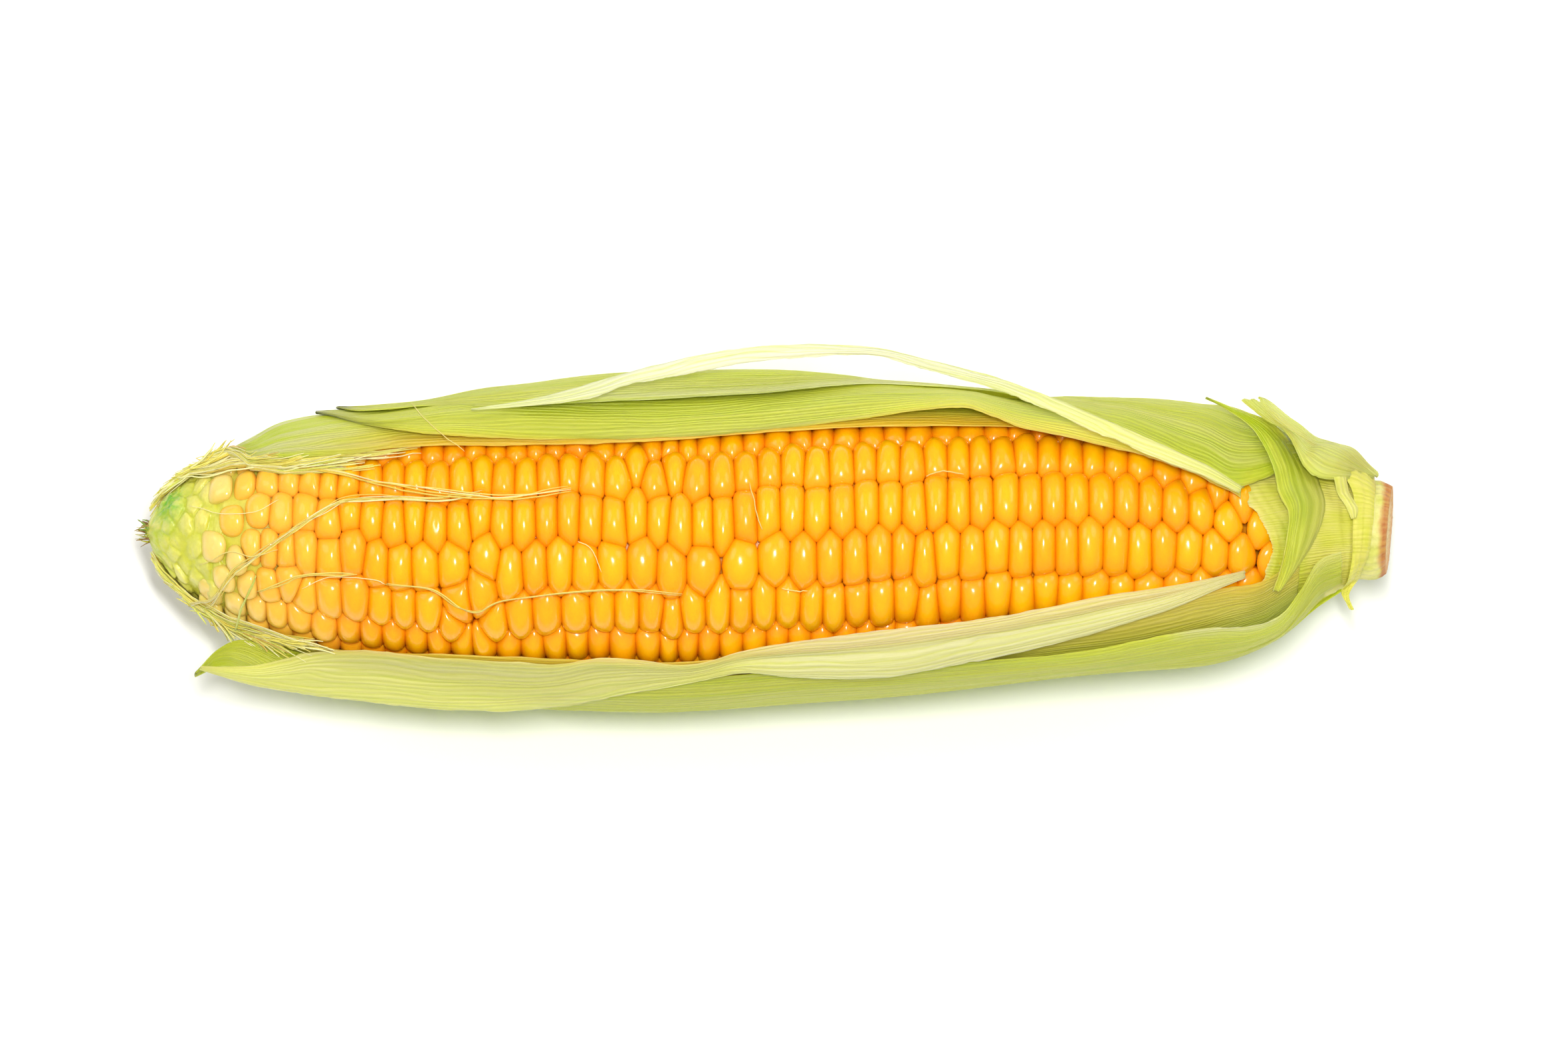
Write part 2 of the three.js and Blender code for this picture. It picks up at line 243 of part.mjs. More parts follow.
    [[-72.1,-55.4,23.9],[-72.1,-68.9,24.62],[-72.1,-76.4,27.17],[-72.2,-85.0,29.87]],
    [[-62.0,-53.5,25.73],[-61.8,-67.4,25.93],[-61.6,-76.4,28.1],[-61.5,-84.8,30.75]],
    [[-49.7,-52.5,26.54],[-49.7,-66.0,26.58],[-49.8,-73.1,28.87],[-49.9,-83.7,31.08]],
    [[-39.0,-52.7,26.98],[-38.7,-61.5,27.49],[-38.5,-67.4,29.19],[-38.3,-76.4,30.56]],
    [[-30.8,-49.5,26.46],[-30.7,-56.9,27.16],[-30.5,-62.2,28.82],[-30.3,-70.4,29.93]],
    [[-23.7,-49.4,26.82],[-23.7,-55.5,27.29],[-23.6,-61.5,28.11],[-23.6,-65.9,29.41]],
    [[-14.0,-51.7,27.28],[-13.8,-55.6,27.34],[-13.5,-58.5,27.88],[-13.3,-60.4,28.67]],
    [[-5.2,-46.5,26.59],[-5.0,-49.3,27.29],[-4.9,-54.0,27.33],[-4.7,-58.2,27.69]],
    [[3.6,-43.6,25.8],[3.8,-47.1,27.29],[4.0,-54.2,27.47],[4.2,-58.5,28.75]],
    [[14.2,-39.5,26.19],[14.3,-45.7,27.22],[14.4,-53.0,28.02],[14.5,-59.9,29.11]],
    [[24.8,-35.9,26.66],[24.8,-43.0,27.32],[24.8,-50.6,28.13],[24.9,-58.1,29.15]],
    [[34.3,-33.9,26.73],[34.3,-40.2,27.21],[34.3,-47.1,27.74],[34.4,-53.8,28.53]],
    [[40.0,-32.7,26.62],[40.2,-38.7,27.12],[40.4,-45.2,27.62],[40.6,-51.9,28.18]],
    [[50.6,-29.7,26.02],[50.8,-35.0,26.58],[51.0,-40.8,27.06],[51.2,-46.8,27.48]],
    [[61.2,-26.3,24.98],[61.3,-30.8,25.74],[61.5,-35.9,26.18],[61.8,-41.1,26.55]],
    [[71.8,-25.2,23.22],[72.0,-27.3,24.73],[72.3,-31.4,24.6],[72.6,-35.3,24.69]],
    [[80.7,-22.9,21.75],[80.9,-25.1,21.75],[81.1,-25.4,23.26],[81.3,-27.7,23.17]],
    [[86.8,-20.8,20.11],[86.9,-22.2,20.09],[87.0,-23.6,20.06],[87.1,-25.0,20.08]]] },
  outer_leaf_front: { look: 'husk', thick: 0.8, nu: 23, nv: 9, grid: [
    [[-105.2,-86.4,25.61],[-105.2,-87.9,25.73],[-105.3,-89.4,25.86],[-105.3,-91.0,25.91],[-105.4,-92.5,25.91],[-105.4,-94.0,25.91]],
    [[-100.4,-80.4,20.49],[-100.5,-85.2,22.06],[-100.6,-89.9,23.62],[-100.8,-94.6,23.33],[-100.9,-99.3,22.98],[-101.0,-104.0,22.63]],
    [[-95.5,-76.0,19.04],[-95.7,-85.6,22.88],[-95.9,-95.2,24.33],[-96.2,-104.8,23.78],[-96.4,-114.4,23.22],[-96.6,-124.0,22.66]],
    [[-88.2,-77.7,21.63],[-88.5,-92.2,26.51],[-88.9,-106.6,25.73],[-89.2,-121.1,24.94],[-89.5,-135.5,24.16],[-89.6,-150.0,23.37]],
    [[-82.7,-76.8,22.88],[-83.1,-95.4,27.44],[-83.6,-114.1,26.48],[-83.9,-132.7,25.52],[-84.2,-151.4,24.63],[-84.3,-170.0,24.63]],
    [[-72.3,-74.6,24.42],[-72.7,-93.7,28.11],[-73.1,-112.8,27.52],[-73.5,-131.8,26.94],[-73.7,-150.9,26.38],[-73.8,-170.0,26.38]],
    [[-61.3,-73.5,25.53],[-61.7,-92.8,29.14],[-62.1,-112.1,28.59],[-62.4,-131.4,28.04],[-62.6,-150.7,27.51],[-62.7,-170.0,27.51]],
    [[-49.8,-71.7,26.44],[-50.0,-91.4,29.71],[-50.4,-111.0,29.21],[-50.6,-130.7,28.7],[-50.8,-150.3,28.21],[-50.9,-170.0,28.21]],
    [[-30.9,-65.2,27.06],[-31.1,-86.2,30.03],[-31.3,-107.1,30.27],[-31.5,-128.1,29.49],[-31.6,-149.0,28.72],[-31.7,-170.0,28.68]],
    [[-13.3,-64.3,27.21],[-13.4,-85.5,29.81],[-13.5,-106.6,30.23],[-13.6,-127.7,29.55],[-13.6,-148.9,28.88],[-13.7,-170.0,28.84]],
    [[4.2,-60.7,27.17],[4.3,-82.6,28.82],[4.3,-104.4,29.61],[4.3,-126.3,29.24],[4.3,-148.1,28.88],[4.4,-170.0,28.84]],
    [[21.2,-59.8,27.11],[21.3,-81.8,28.3],[21.4,-103.9,28.9],[21.6,-125.9,28.85],[21.7,-148.0,28.8],[21.8,-170.0,28.8]],
    [[35.6,-56.9,27.01],[35.9,-79.5,27.38],[36.1,-102.1,27.69],[36.4,-124.7,27.69],[36.5,-147.4,27.69],[36.6,-170.0,27.69]],
    [[50.8,-54.7,26.66],[51.2,-77.8,26.46],[51.5,-100.8,26.56],[51.9,-123.9,26.54],[52.1,-146.9,26.38],[52.2,-170.0,26.24]],
    [[59.6,-52.1,26.38],[60.0,-75.7,26.01],[60.4,-99.3,25.96],[60.8,-122.8,25.94],[61.1,-146.4,25.85],[61.3,-170.0,25.71]],
    [[68.5,-49.6,25.28],[69.0,-73.6,25.21],[69.5,-97.7,25.16],[69.9,-121.8,25.22],[70.3,-145.9,25.16],[70.4,-170.0,25.16]],
    [[75.5,-48.2,24.29],[76.0,-72.5,24.69],[76.5,-96.9,24.98],[77.0,-121.3,24.98],[77.4,-145.6,24.98],[77.6,-170.0,24.98]],
    [[81.5,-48.7,23.34],[82.0,-73.0,23.89],[82.5,-97.2,24.28],[83.0,-121.5,24.28],[83.5,-145.7,24.28],[83.7,-170.0,24.28]],
    [[87.6,-51.4,22.14],[88.1,-75.2,22.25],[88.7,-98.9,22.33],[89.2,-122.6,22.33],[89.5,-146.3,22.33],[89.7,-170.0,22.33]],
    [[93.2,-50.7,19.89],[93.6,-74.5,19.66],[94.1,-98.4,19.52],[94.6,-122.3,19.52],[95.0,-146.1,19.52],[95.1,-170.0,19.52]],
    [[97.1,-38.6,17.61],[97.4,-60.9,16.55],[97.8,-83.2,16.21],[98.2,-105.4,16.1],[98.6,-127.7,16.1],[98.9,-150.0,16.1]],
    [[100.3,-21.0,15.77],[100.6,-46.8,13.98],[101.0,-72.6,13.06],[101.4,-98.4,12.44],[101.7,-124.2,12.44],[102.0,-150.0,12.44]],
    [[104.7,-16.5,12.83],[104.9,-43.2,12.92],[105.3,-69.9,10.07],[105.6,-96.6,9.85],[105.9,-123.3,9.85],[106.1,-150.0,9.85]]] },
  bottom_leaf: { look: 'husk', thick: 0.9, nu: 15, nv: 13, flat: true, grid: [
    [[-98.3,176.0,20.1],[-98.3,180.0,20.1],[-98.3,184.0,20.1],[-98.3,188.0,20.1],[-98.3,192.0,20.1],[-98.2,196.0,20.1],[-98.2,200.0,20.1]],
    [[-88.5,154.0,24.4],[-88.6,165.3,24.4],[-88.6,176.7,24.4],[-88.6,188.0,24.4],[-88.6,199.3,25.2],[-88.5,210.7,25.5],[-88.3,222.0,26.06]],
    [[-73.6,140.0,28.0],[-73.8,156.0,28.0],[-73.9,172.0,28.0],[-73.9,188.0,28.0],[-73.8,204.0,28.0],[-73.6,220.0,28.23],[-73.3,236.0,28.68]],
    [[-53.8,134.0,30.4],[-54.0,152.0,30.4],[-54.1,170.0,30.4],[-54.1,188.0,30.4],[-54.0,206.0,30.4],[-53.8,224.0,30.4],[-53.6,242.0,30.4]],
    [[-31.5,132.0,31.2],[-31.7,150.7,31.2],[-31.7,169.3,31.2],[-31.8,188.0,31.2],[-31.7,206.7,31.2],[-31.6,225.3,31.2],[-31.4,244.0,31.44]],
    [[-6.8,132.0,31.4],[-6.8,150.7,31.4],[-6.8,169.3,31.4],[-6.8,188.0,31.4],[-6.8,206.7,31.4],[-6.8,225.3,31.4],[-6.8,244.0,31.4]],
    [[17.9,132.0,31.0],[18.0,150.7,31.0],[18.0,169.3,31.0],[18.1,188.0,31.0],[18.0,206.7,31.0],[17.9,225.3,31.0],[17.9,244.0,31.0]],
    [[42.7,132.0,30.2],[42.8,150.7,30.2],[42.9,169.3,30.2],[42.9,188.0,30.2],[42.8,206.7,30.2],[42.7,225.3,30.2],[42.5,244.0,30.2]],
    [[61.2,132.0,28.6],[61.4,150.7,28.6],[61.5,169.3,28.6],[61.5,188.0,28.6],[61.4,206.7,28.6],[61.2,225.3,28.6],[60.9,244.0,28.6]],
    [[77.1,130.0,27.2],[77.4,149.3,27.2],[77.6,168.7,27.2],[77.6,188.0,27.2],[77.5,207.3,27.2],[77.2,226.7,27.2],[76.8,246.0,27.2]],
    [[86.9,128.0,25.32],[87.2,148.0,25.0],[87.4,168.0,25.0],[87.4,188.0,25.0],[87.3,208.0,25.0],[87.0,228.0,25.06],[86.5,248.0,25.0]],
    [[94.7,124.0,20.6],[95.0,145.3,20.63],[95.2,166.7,20.6],[95.2,188.0,21.74],[95.1,209.3,21.74],[94.8,230.7,21.53],[94.3,252.0,21.94]],
    [[101.3,128.0,17.45],[101.5,148.0,16.91],[101.7,168.0,15.4],[101.7,188.0,15.4],[101.6,208.0,15.4],[101.3,228.0,16.39],[101.0,248.0,16.1]],
    [[106.3,128.0,13.91],[106.5,148.0,13.91],[106.6,168.0,11.6],[106.6,188.0,11.6],[106.5,208.0,12.08],[106.3,228.0,11.91],[106.1,248.0,11.9]]] },
  base_sheath: { look: 'pale', thick: 0.8, nu: 8, nv: 4, grid: [
    [[88.1,46,21.54],[94.4,46,16.96],[100.9,46,13.03],[107.3,46,9.6]],
    [[88.5,34,21.44],[94.6,34,16.78],[101.0,34,12.92],[107.2,34,9.6]],
    [[89.6,18,18.91],[95.3,18,16.28],[101.3,18,12.66],[107.1,18,9.6]],
    [[90.7,2,18.24],[96.1,2,15.78],[101.6,2,12.39],[107.1,2,9.6]],
    [[90.8,-12,18.24],[96.1,-12,15.78],[101.7,-12,12.39],[107.1,-12,9.6]],
    [[90.1,-26,20.36],[95.7,-26,16.08],[101.5,-26,12.55],[107.1,-26,9.6]],
    [[89.5,-40,20.58],[95.3,-40,16.38],[101.3,-40,12.71],[107.2,-40,9.6]]] },
  torn_band: { look: 'husk', thick: 0.7, nu: 10, nv: 3, grid: [
    [[79.2,56.3,29.03],[79.3,56.1,29.17],[79.6,57.2,28.91]],
    [[83.9,53.9,26.87],[84.3,55.0,26.79],[84.7,57.6,26.31]],
    [[87.8,51.5,24.67],[89.4,55.6,24.28],[91.0,62.8,23.08]],
    [[89.9,42.2,23.83],[92.3,51.4,23.11],[94.8,68.0,20.45]],
    [[91.7,31.5,22.87],[94.1,39.2,21.83],[96.5,51.0,19.4]],
    [[92.4,19.7,22.5],[95.1,26.6,21.04],[97.8,36.6,18.7]],
    [[94.3,10.0,19.18],[96.5,14.4,17.89],[98.7,20.1,18.36]],
    [[94.1,-2.6,19.36],[95.9,-1.8,18.19],[97.8,-0.9,16.79]],
    [[93.1,-18.3,20.11],[94.5,-19.1,19.46],[95.9,-20.4,18.09]],
    [[91.5,-32.6,21.84],[92.4,-34.1,21.1],[93.3,-36.6,20.38]]] },
  folded_stub_leaf: { look: 'husk', thick: 0.7, nu: 9, nv: 5, grid: [
    [[89.2,62.4,27.6],[89.2,59.4,27.5],[87.4,55.2,29.35],[85.6,51.1,30.6]],
    [[94.1,81.7,22.2],[94.1,59.7,23.97],[92.4,55.3,25.0],[90.6,50.8,25.8]],
    [[97.6,81.5,19.6],[97.6,59.5,19.4],[95.9,56.5,22.44],[94.3,53.6,24.13]],
    [[100.6,86.0,17.2],[100.6,64.0,17.0],[98.5,53.7,18.8],[96.4,43.4,22.64]],
    [[104.1,103.1,16.1],[104.1,81.1,15.9],[100.9,58.6,17.45],[97.7,36.1,21.0]],
    [[107.3,103.5,15.1],[107.3,81.5,14.9],[104.1,58.0,15.85],[101.0,34.5,16.9]],
    [[110.0,99.9,12.4],[110.0,77.9,12.2],[108.1,62.4,12.7],[106.1,46.9,12.6]],
    [[111.9,92.5,10.65],[111.9,70.5,10.45],[111.3,67.7,10.63],[110.8,64.9,10.2]]] },
  stem_ring_leaf: { look: 'husk', thick: 0.8, nu: 12, nv: 3, grid: [
    [[108.4,66.7,16.03],[109.9,65.8,14.13],[111.3,64.9,13.37]],
    [[107.4,37.3,11.73],[109.1,37.3,10.15],[110.8,37.3,9.6]],
    [[106.8,15.8,11.66],[108.6,15.0,10.35],[110.4,14.2,9.8]],
    [[106.8,-4.9,11.58],[108.5,-5.3,11.13],[110.2,-5.8,9.8]],
    [[106.8,-24.5,11.63],[108.2,-26.3,11.15],[109.5,-28.2,9.8]],
    [[106.3,-44.3,14.39],[107.5,-46.5,9.75],[108.7,-48.7,9.6]],
    [[105.5,-67.9,12.12],[106.9,-68.9,9.75],[108.2,-69.9,9.6]],
    [[105.0,-76.0,12.43],[106.0,-72.6,11.94],[107.0,-69.2,11.2]],
    [[105.3,-75.2,12.6],[105.9,-73.6,13.05],[106.5,-72.0,12.8]],
    [[106.5,-73.5,14.6],[106.9,-75.2,15.15],[107.4,-77.0,15.0]]] },
  torn_shred: { look: 'husk', thick: 0.6, nu: 6, nv: 3, grid: [
    [[102.8,35.9,17.78],[104.1,37.9,17.16],[105.3,39.9,16.05]],
    [[103.5,29.1,15.94],[104.8,30.3,14.62],[106.2,31.6,12.93]],
    [[104.4,22.9,15.47],[105.8,23.3,13.4],[107.1,23.7,12.8]],
    [[105.4,15.9,13.2],[106.5,17.0,13.1],[107.6,18.1,12.86]],
    [[106.3,8.7,12.84],[106.7,9.4,12.84],[107.1,10.1,12.84]]] },
  silk_mat_back: { look: 'silk', thick: 0.6, nu: 7, nv: 4, grid: [
    [[-112.1,90.0,7.14],[-112.1,88.0,7.27],[-112.1,86.0,7.47],[-112.1,84.0,7.67]],
    [[-110.4,90.0,9.74],[-110.4,90.6,9.52],[-110.4,91.3,9.72],[-110.4,92.0,9.92]],
    [[-107.7,69.7,11.37],[-107.8,78.2,11.72],[-107.9,86.6,11.92],[-108.0,95.0,12.12]],
    [[-104.8,59.4,13.34],[-105.0,72.0,13.69],[-105.2,84.5,13.89],[-105.4,97.0,14.09]],
    [[-102.5,54.6,14.6],[-102.7,65.8,14.95],[-102.9,76.9,15.15],[-103.1,88.0,15.35]],
    [[-100.0,51.2,16.01],[-100.0,56.1,16.36],[-100.1,61.1,16.56],[-100.2,66.0,16.76]]] },
  silk_mat_front: { look: 'silk', thick: 0.6, nu: 6, nv: 4, grid: [
    [[-112.5,-41.1,5.93],[-112.6,-55.4,6.13],[-112.7,-69.7,6.33],[-112.8,-84.0,6.53]],
    [[-110.3,-36.1,9.19],[-110.5,-53.4,9.39],[-110.7,-70.7,9.59],[-110.9,-88.0,9.79]],
    [[-107.8,-38.3,11.5],[-108.0,-55.5,11.7],[-108.2,-72.8,11.9],[-108.5,-90.0,12.1]],
    [[-105.3,-41.6,13.33],[-105.5,-57.0,13.53],[-105.7,-72.5,13.73],[-106.0,-88.0,13.93]],
    [[-103.1,-43.5,14.68],[-103.3,-56.3,14.88],[-103.5,-69.2,15.08],[-103.7,-82.0,15.28]]] }
};

// silk strands that lie over the kernels: [x, angle, radius]
const STRANDS = {
  silk_strand_1: { radius: 0.32, steps: 22, path: [[-52.02,22.25,24.67],[-59.23,19.66,24.17],[-67.56,20.54,23.41],[-75.9,19.7,22.4],[-80.85,13.62,21.38],[-86.3,3.36,20.2],[-92.56,-10.0,18.44],[-97.84,-25.47,16.49],[-100.43,-36.95,15.41]] },
  silk_strand_2: { radius: 0.32, steps: 14, path: [[-84.42,37.27,21.56],[-74.6,28.83,23.46],[-65.85,23.59,24.52],[-55.83,20.03,25.31],[-45.13,18.94,25.78],[-35.65,22.51,26.06]] },
  silk_strand_3: { radius: 0.32, steps: 8, path: [[-91.09,-28.71,18.89],[-87.61,-23.02,19.86],[-84.28,-18.26,20.66],[-78.79,-15.92,21.83],[-74.54,-15.13,22.56]] },
  silk_strand_4: { radius: 0.32, steps: 16, path: [[-69.12,-19.02,23.22],[-60.93,-20.65,24.05],[-55.92,-28.49,24.41],[-52.31,-29.92,24.66],[-48.06,-24.23,24.79],[-37.1,-19.85,25.13],[-26.17,-18.21,25.29],[-15.25,-20.38,25.39]] }
};

// ------------------------------------------------------------------- helpers
const RAD = Math.PI / 180;
const cosT = Math.cos(TILT_DEG * RAD), sinT = Math.sin(TILT_DEG * RAD);

function table(t, x, k = 1) {
  if (x <= t[0][0]) return t[0][k];
  for (let i = 1; i < t.length; i++) {
    if (x <= t[i][0]) {
      const f = (x - t[i - 1][0]) / (t[i][0] - t[i - 1][0]);
      return t[i - 1][k] + (t[i][k] - t[i - 1][k]) * f;
    }
  }
  return t[t.length - 1][k];
}

// angle of the middle of row k, -1 to 16, where 14 to 16 come round from below
function rowAngle(k, x) {
  const a = table(ROW_ANGLES, x, 1), f = table(ROW_ANGLES, x, 6);
  if (k >= 2 && k <= 13) return a + (k - 2) * (360 - (a - f)) / 11;
  if (k < 2) return table(ROW_ANGLES, x, 3 - k);
  return table(ROW_ANGLES, x, k === 14 ? 5 : k === 15 ? 4 : 3) + 360;
}

// point on the ear given by x, angle round its axis and radius
function at(x, deg, r) {
  const v = table(BEND, x) + r * Math.sin(deg * RAD);
  const w = r * Math.cos(deg * RAD);
  return new THREE.Vector3(
    x + SHIFT_X,
    v * cosT - w * sinT + SHIFT_Y,
    v * sinT + w * cosT + AXIS_HEIGHT);
}

function solid(verts, tris) {
  const g = new THREE.BufferGeometry();
  const pos = new Float32Array(verts.length * 3);
  verts.forEach((p, i) => { pos[3 * i] = p.x; pos[3 * i + 1] = p.y; pos[3 * i + 2] = p.z; });
  g.setAttribute('position', new THREE.BufferAttribute(pos, 3));
  g.setIndex(tris.flat());
  g.computeVertexNormals();
  return g;
}

// closed loft through rings of equal count, with a fan over each end
function loft(rings, startTip, endTip) {
  const n = rings[0].length, verts = rings.flat(), tris = [];
  for (let i = 0; i + 1 < rings.length; i++) {
    for (let j = 0; j < n; j++) {
      const a = i * n + j, b = i * n + (j + 1) % n;
      tris.push([a, a + n, b + n], [a, b + n, b]);
    }
  }
  const s = verts.length, e = s + 1, last = (rings.length - 1) * n;
  verts.push(startTip, endTip);
  for (let j = 0; j < n; j++) {
    tris.push([s, j, (j + 1) % n], [e, last + (j + 1) % n, last + j]);
  }
  return solid(verts, tris);
}

function spline(a, b, c, d, t) {
  return 0.5 * (2 * b + (c - a) * t + (2 * a - 5 * b + 4 * c - d) * t * t
    + (3 * b - a - 3 * c + d) * t * t * t);
}

function resample(list, count, mix) {
  const n = list.length, out = [];
  for (let k = 0; k < count; k++) {
    const s = k * (n - 1) / (count - 1), i = Math.min(Math.floor(s), n - 2), t = s - i;
    out.push(mix(i, t));
  }
  return out;
}

// smooth net through the control points, across first and then along
function net(grid, nu, nv) {
  const line = (pts, count) => {
    const p = (i, c) => i < 0 ? 2 * pts[0][c] - pts[1][c]
      : i >= pts.length ? 2 * pts[pts.length - 1][c] - pts[pts.length - 2][c] : pts[i][c];
    return resample(pts, count, (i, t) => [0, 1, 2].map(
      c => spline(p(i - 1, c), p(i, c), p(i + 1, c), p(i + 2, c), t)));
  };
  const across = grid.map(row => line(row, nv));
  const cols = [];
  for (let j = 0; j < nv; j++) cols.push(line(across.map(r => r[j]), nu));
  const out = [];
  for (let i = 0; i < nu; i++) out.push(cols.map(c => c[i]));
  return out;
}

// thin closed shell on both sides of the net; thinner towards its margins
function leafShell(spec) {
  const nu = spec.nu, nv = spec.nv;
  const m = net(spec.grid, nu, nv).map(row => row.map(c => at(...c)));
  const top = [], bottom = [];
  for (let i = 0; i < nu; i++) {
    for (let j = 0; j < nv; j++) {
      const a = m[Math.max(i - 1, 0)][j], b = m[Math.min(i + 1, nu - 1)][j];
      const c = m[i][Math.max(j - 1, 0)], d = m[i][Math.min(j + 1, nv - 1)];
      const n = b.clone().sub(a).cross(d.clone().sub(c)).normalize();
      const edge = (i === 0 || j === 0 || i === nu - 1 || j === nv - 1) ? 0.7 : 1;
      const h = n.multiplyScalar(spec.thick * edge / 2);
      const p = m[i][j].clone().add(h), q = m[i][j].clone().sub(h);
      if (spec.flat) { p.z = Math.max(p.z, 0); q.z = Math.max(q.z, FLAT_SKIN); }
      top.push(p); bottom.push(q);
    }
  }
  const verts = top.concat(bottom), o = top.length, tris = [];
  const id = (i, j) => i * nv + j;
  for (let i = 0; i + 1 < nu; i++) {
    for (let j = 0; j + 1 < nv; j++) {
      const a = id(i, j), b = id(i + 1, j), c = id(i + 1, j + 1), d = id(i, j + 1);
      tris.push([a, b, c], [a, c, d], [a + o, c + o, b + o], [a + o, d + o, c + o]);
    }
  }
  const wall = (a, b) => tris.push([b, a, a + o], [b, a + o, b + o]);
  for (let i = 0; i + 1 < nu; i++) { wall(id(i, 0), id(i + 1, 0)); wall(id(i + 1, nv - 1), id(i, nv - 1)); }
  for (let j = 0; j + 1 < nv; j++) { wall(id(0, j + 1), id(0, j)); wall(id(nu - 1, j), id(nu - 1, j + 1)); }
  return solid(verts, tris);
}

// one row of kernels: crowns with valleys between them, straight sides
// against the neighbouring rows, and an inner face that sits on the cob
function kernelRow(k) {
  const centres = KERNELS[k], n = centres.length;
  const marks = [centres[0] - PITCH * 0.5];
  for (let i = 1; i < n; i++) marks.push((centres[i - 1] + centres[i]) / 2);
  marks.push(Math.min(centres[n - 1] + PITCH * 0.5, CROWN_END));
  const lo = x => (rowAngle(k - 1, x) + rowAngle(k, x)) / 2;
  const hi = x => (rowAngle(k, x) + rowAngle(k + 1, x)) / 2;
  const side = (x, r, right) => {
    const d = (GAP / 2 / r) / RAD;
    return at(x, right ? hi(x) - d : lo(x) + d, r);
  };
  const verts = [], tris = [], L = [], R = [], IL = [], IR = [];
  const put = p => verts.push(p) - 1;
  for (const x of marks) {
    const r = Math.max(table(CROWN, x) - GROOVE, table(SEAT, x) + 1.2);
    L.push(put(side(x, r, false))); R.push(put(side(x, r, true)));
  }
  const inner = [marks[0], ...SEAT.map(s => s[0]).filter(x => x > marks[0] + 1 && x < marks[n] - 1), marks[n]];
  for (const x of inner) {
    const r = table(SEAT, x);
    IL.push(put(side(x, r, false))); IR.push(put(side(x, r, true)));
  }
  for (let i = 0; i < n; i++) {
    const x = (marks[i] + marks[i + 1]) / 2, r = table(CROWN, x);
    const l = lo(x), h = hi(x);
    const a = put(at(x, l + (h - l) * 0.3, r)), b = put(at(x, l + (h - l) * 0.7, r));
    tris.push([L[i], L[i + 1], a], [L[i + 1], R[i + 1], b], [L[i + 1], b, a],
      [R[i + 1], R[i], b], [R[i], L[i], a], [R[i], a, b]);
  }
  const m = inner.length - 1;
  for (let j = 0; j < m; j++) tris.push([IL[j], IR[j], IR[j + 1]], [IL[j], IR[j + 1], IL[j + 1]]);
  let i = 0, j = 0;
  while (i < n || j < m) {
    if (j === m || (i < n && marks[i + 1] <= inner[j + 1])) {
      tris.push([L[i + 1], L[i], IL[j]], [R[i], R[i + 1], IR[j]]); i++;
    } else {
      tris.push([IL[j], IL[j + 1], L[i]], [IR[j + 1], IR[j], R[i]]); j++;
    }
  }
  tris.push([IL[0], L[0], R[0]], [IL[0], R[0], IR[0]],
    [L[n], IL[m], IR[m]], [L[n], IR[m], R[n]]);
  return solid(verts, tris);
}
const CROWN_END = 91.5;

// cob with its undeveloped tip; the core follows the kernels' seats inside
function cob() {
  const n = 32, rings = [];
  COB.forEach(([x, r, bump], i) => {
    const ring = [];
    for (let j = 0; j < n; j++) {
      const wave = bump * (((j + (i % 2) * 2) % 4) < 2 ? 1 : -1) * 0.5;
      ring.push(at(x, j * 360 / n, r + wave));
    }
    rings.push(ring);
  });
  return loft(rings, at(COB[0][0] - 0.9, 0, 0), at(COB[COB.length - 1][0] + 0.3, 0, 0));
}

// cut stem: round, with a slightly swollen end and an oblique cut
function stem() {
  const n = 24, x0 = 93.9, rings = [];
  for (const [x, r] of [[93.7,0.96],[98.2,1.0],[106.8,1.0],[110.7,1.06],[112.8,1.02],[114.1,0.92]]) {
    const ring = [];
    for (let j = 0; j < n; j++) {
      const a = j * 360 / n, cut = Math.max(0, (x - 108) / 6) * 1.3 * Math.cos((a - 150) * RAD);
      ring.push(at(x + cut, a, r * STEM_RADIUS));
    }
    rings.push(ring);
  }
  const e = [[93.7,0.96],[98.2,1.0],[106.8,1.0],[110.7,1.06],[112.8,1.02],[114.1,0.92]].at(-1)[0];
  return loft(rings, at(x0, 0, 0), at(e - 0.35, 0, 0));
}

// four-sided strand along a path, tapered at both ends
function strand(spec) {
  const pts = net([spec.path, spec.path], 2, spec.steps)[0].map(c => ({ p: at(...c), q: at(c[0], c[1], c[2] + 1) }));
  const n = pts.length, rings = [];
  for (let i = 0; i < n; i++) {
    const t = pts[Math.min(i + 1, n - 1)].p.clone().sub(pts[Math.max(i - 1, 0)].p).normalize();
    const up = pts[i].q.clone().sub(pts[i].p); up.addScaledVector(t, -up.dot(t)).normalize();
    const s = t.clone().cross(up);
    const f = spec.radius * (i === 0 || i === n - 1 ? 0.5 : 1);
    rings.push([[0, 1], [-1, 0], [0, -1], [1, 0]].map(([a, b]) =>
      pts[i].p.clone().addScaledVector(s, a * f).addScaledVector(up, b * f)));
  }
  return loft(rings, pts[0].p.clone(), pts[n - 1].p.clone());
}

// ------------------------------------------------------------------- the ear
const LOOKS = {
  kernel: [0xfcc42c, 0.28], cob: [0xdcd98a, 0.45], husk: [0xc9d768, 0.5],
  pale: [0xe3e0a0, 0.5], stem: [0xc9c07a, 0.6], silk: [0xd9c27a, 0.55],
};
const ear = new THREE.Group();
function add(name, geometry, look) {
  const [color, roughness] = LOOKS[look];
  const mesh = new THREE.Mesh(geometry, new THREE.MeshStandardMaterial({ color, roughness, metalness: 0 }));
  mesh.name = name;
  ear.add(mesh);
}

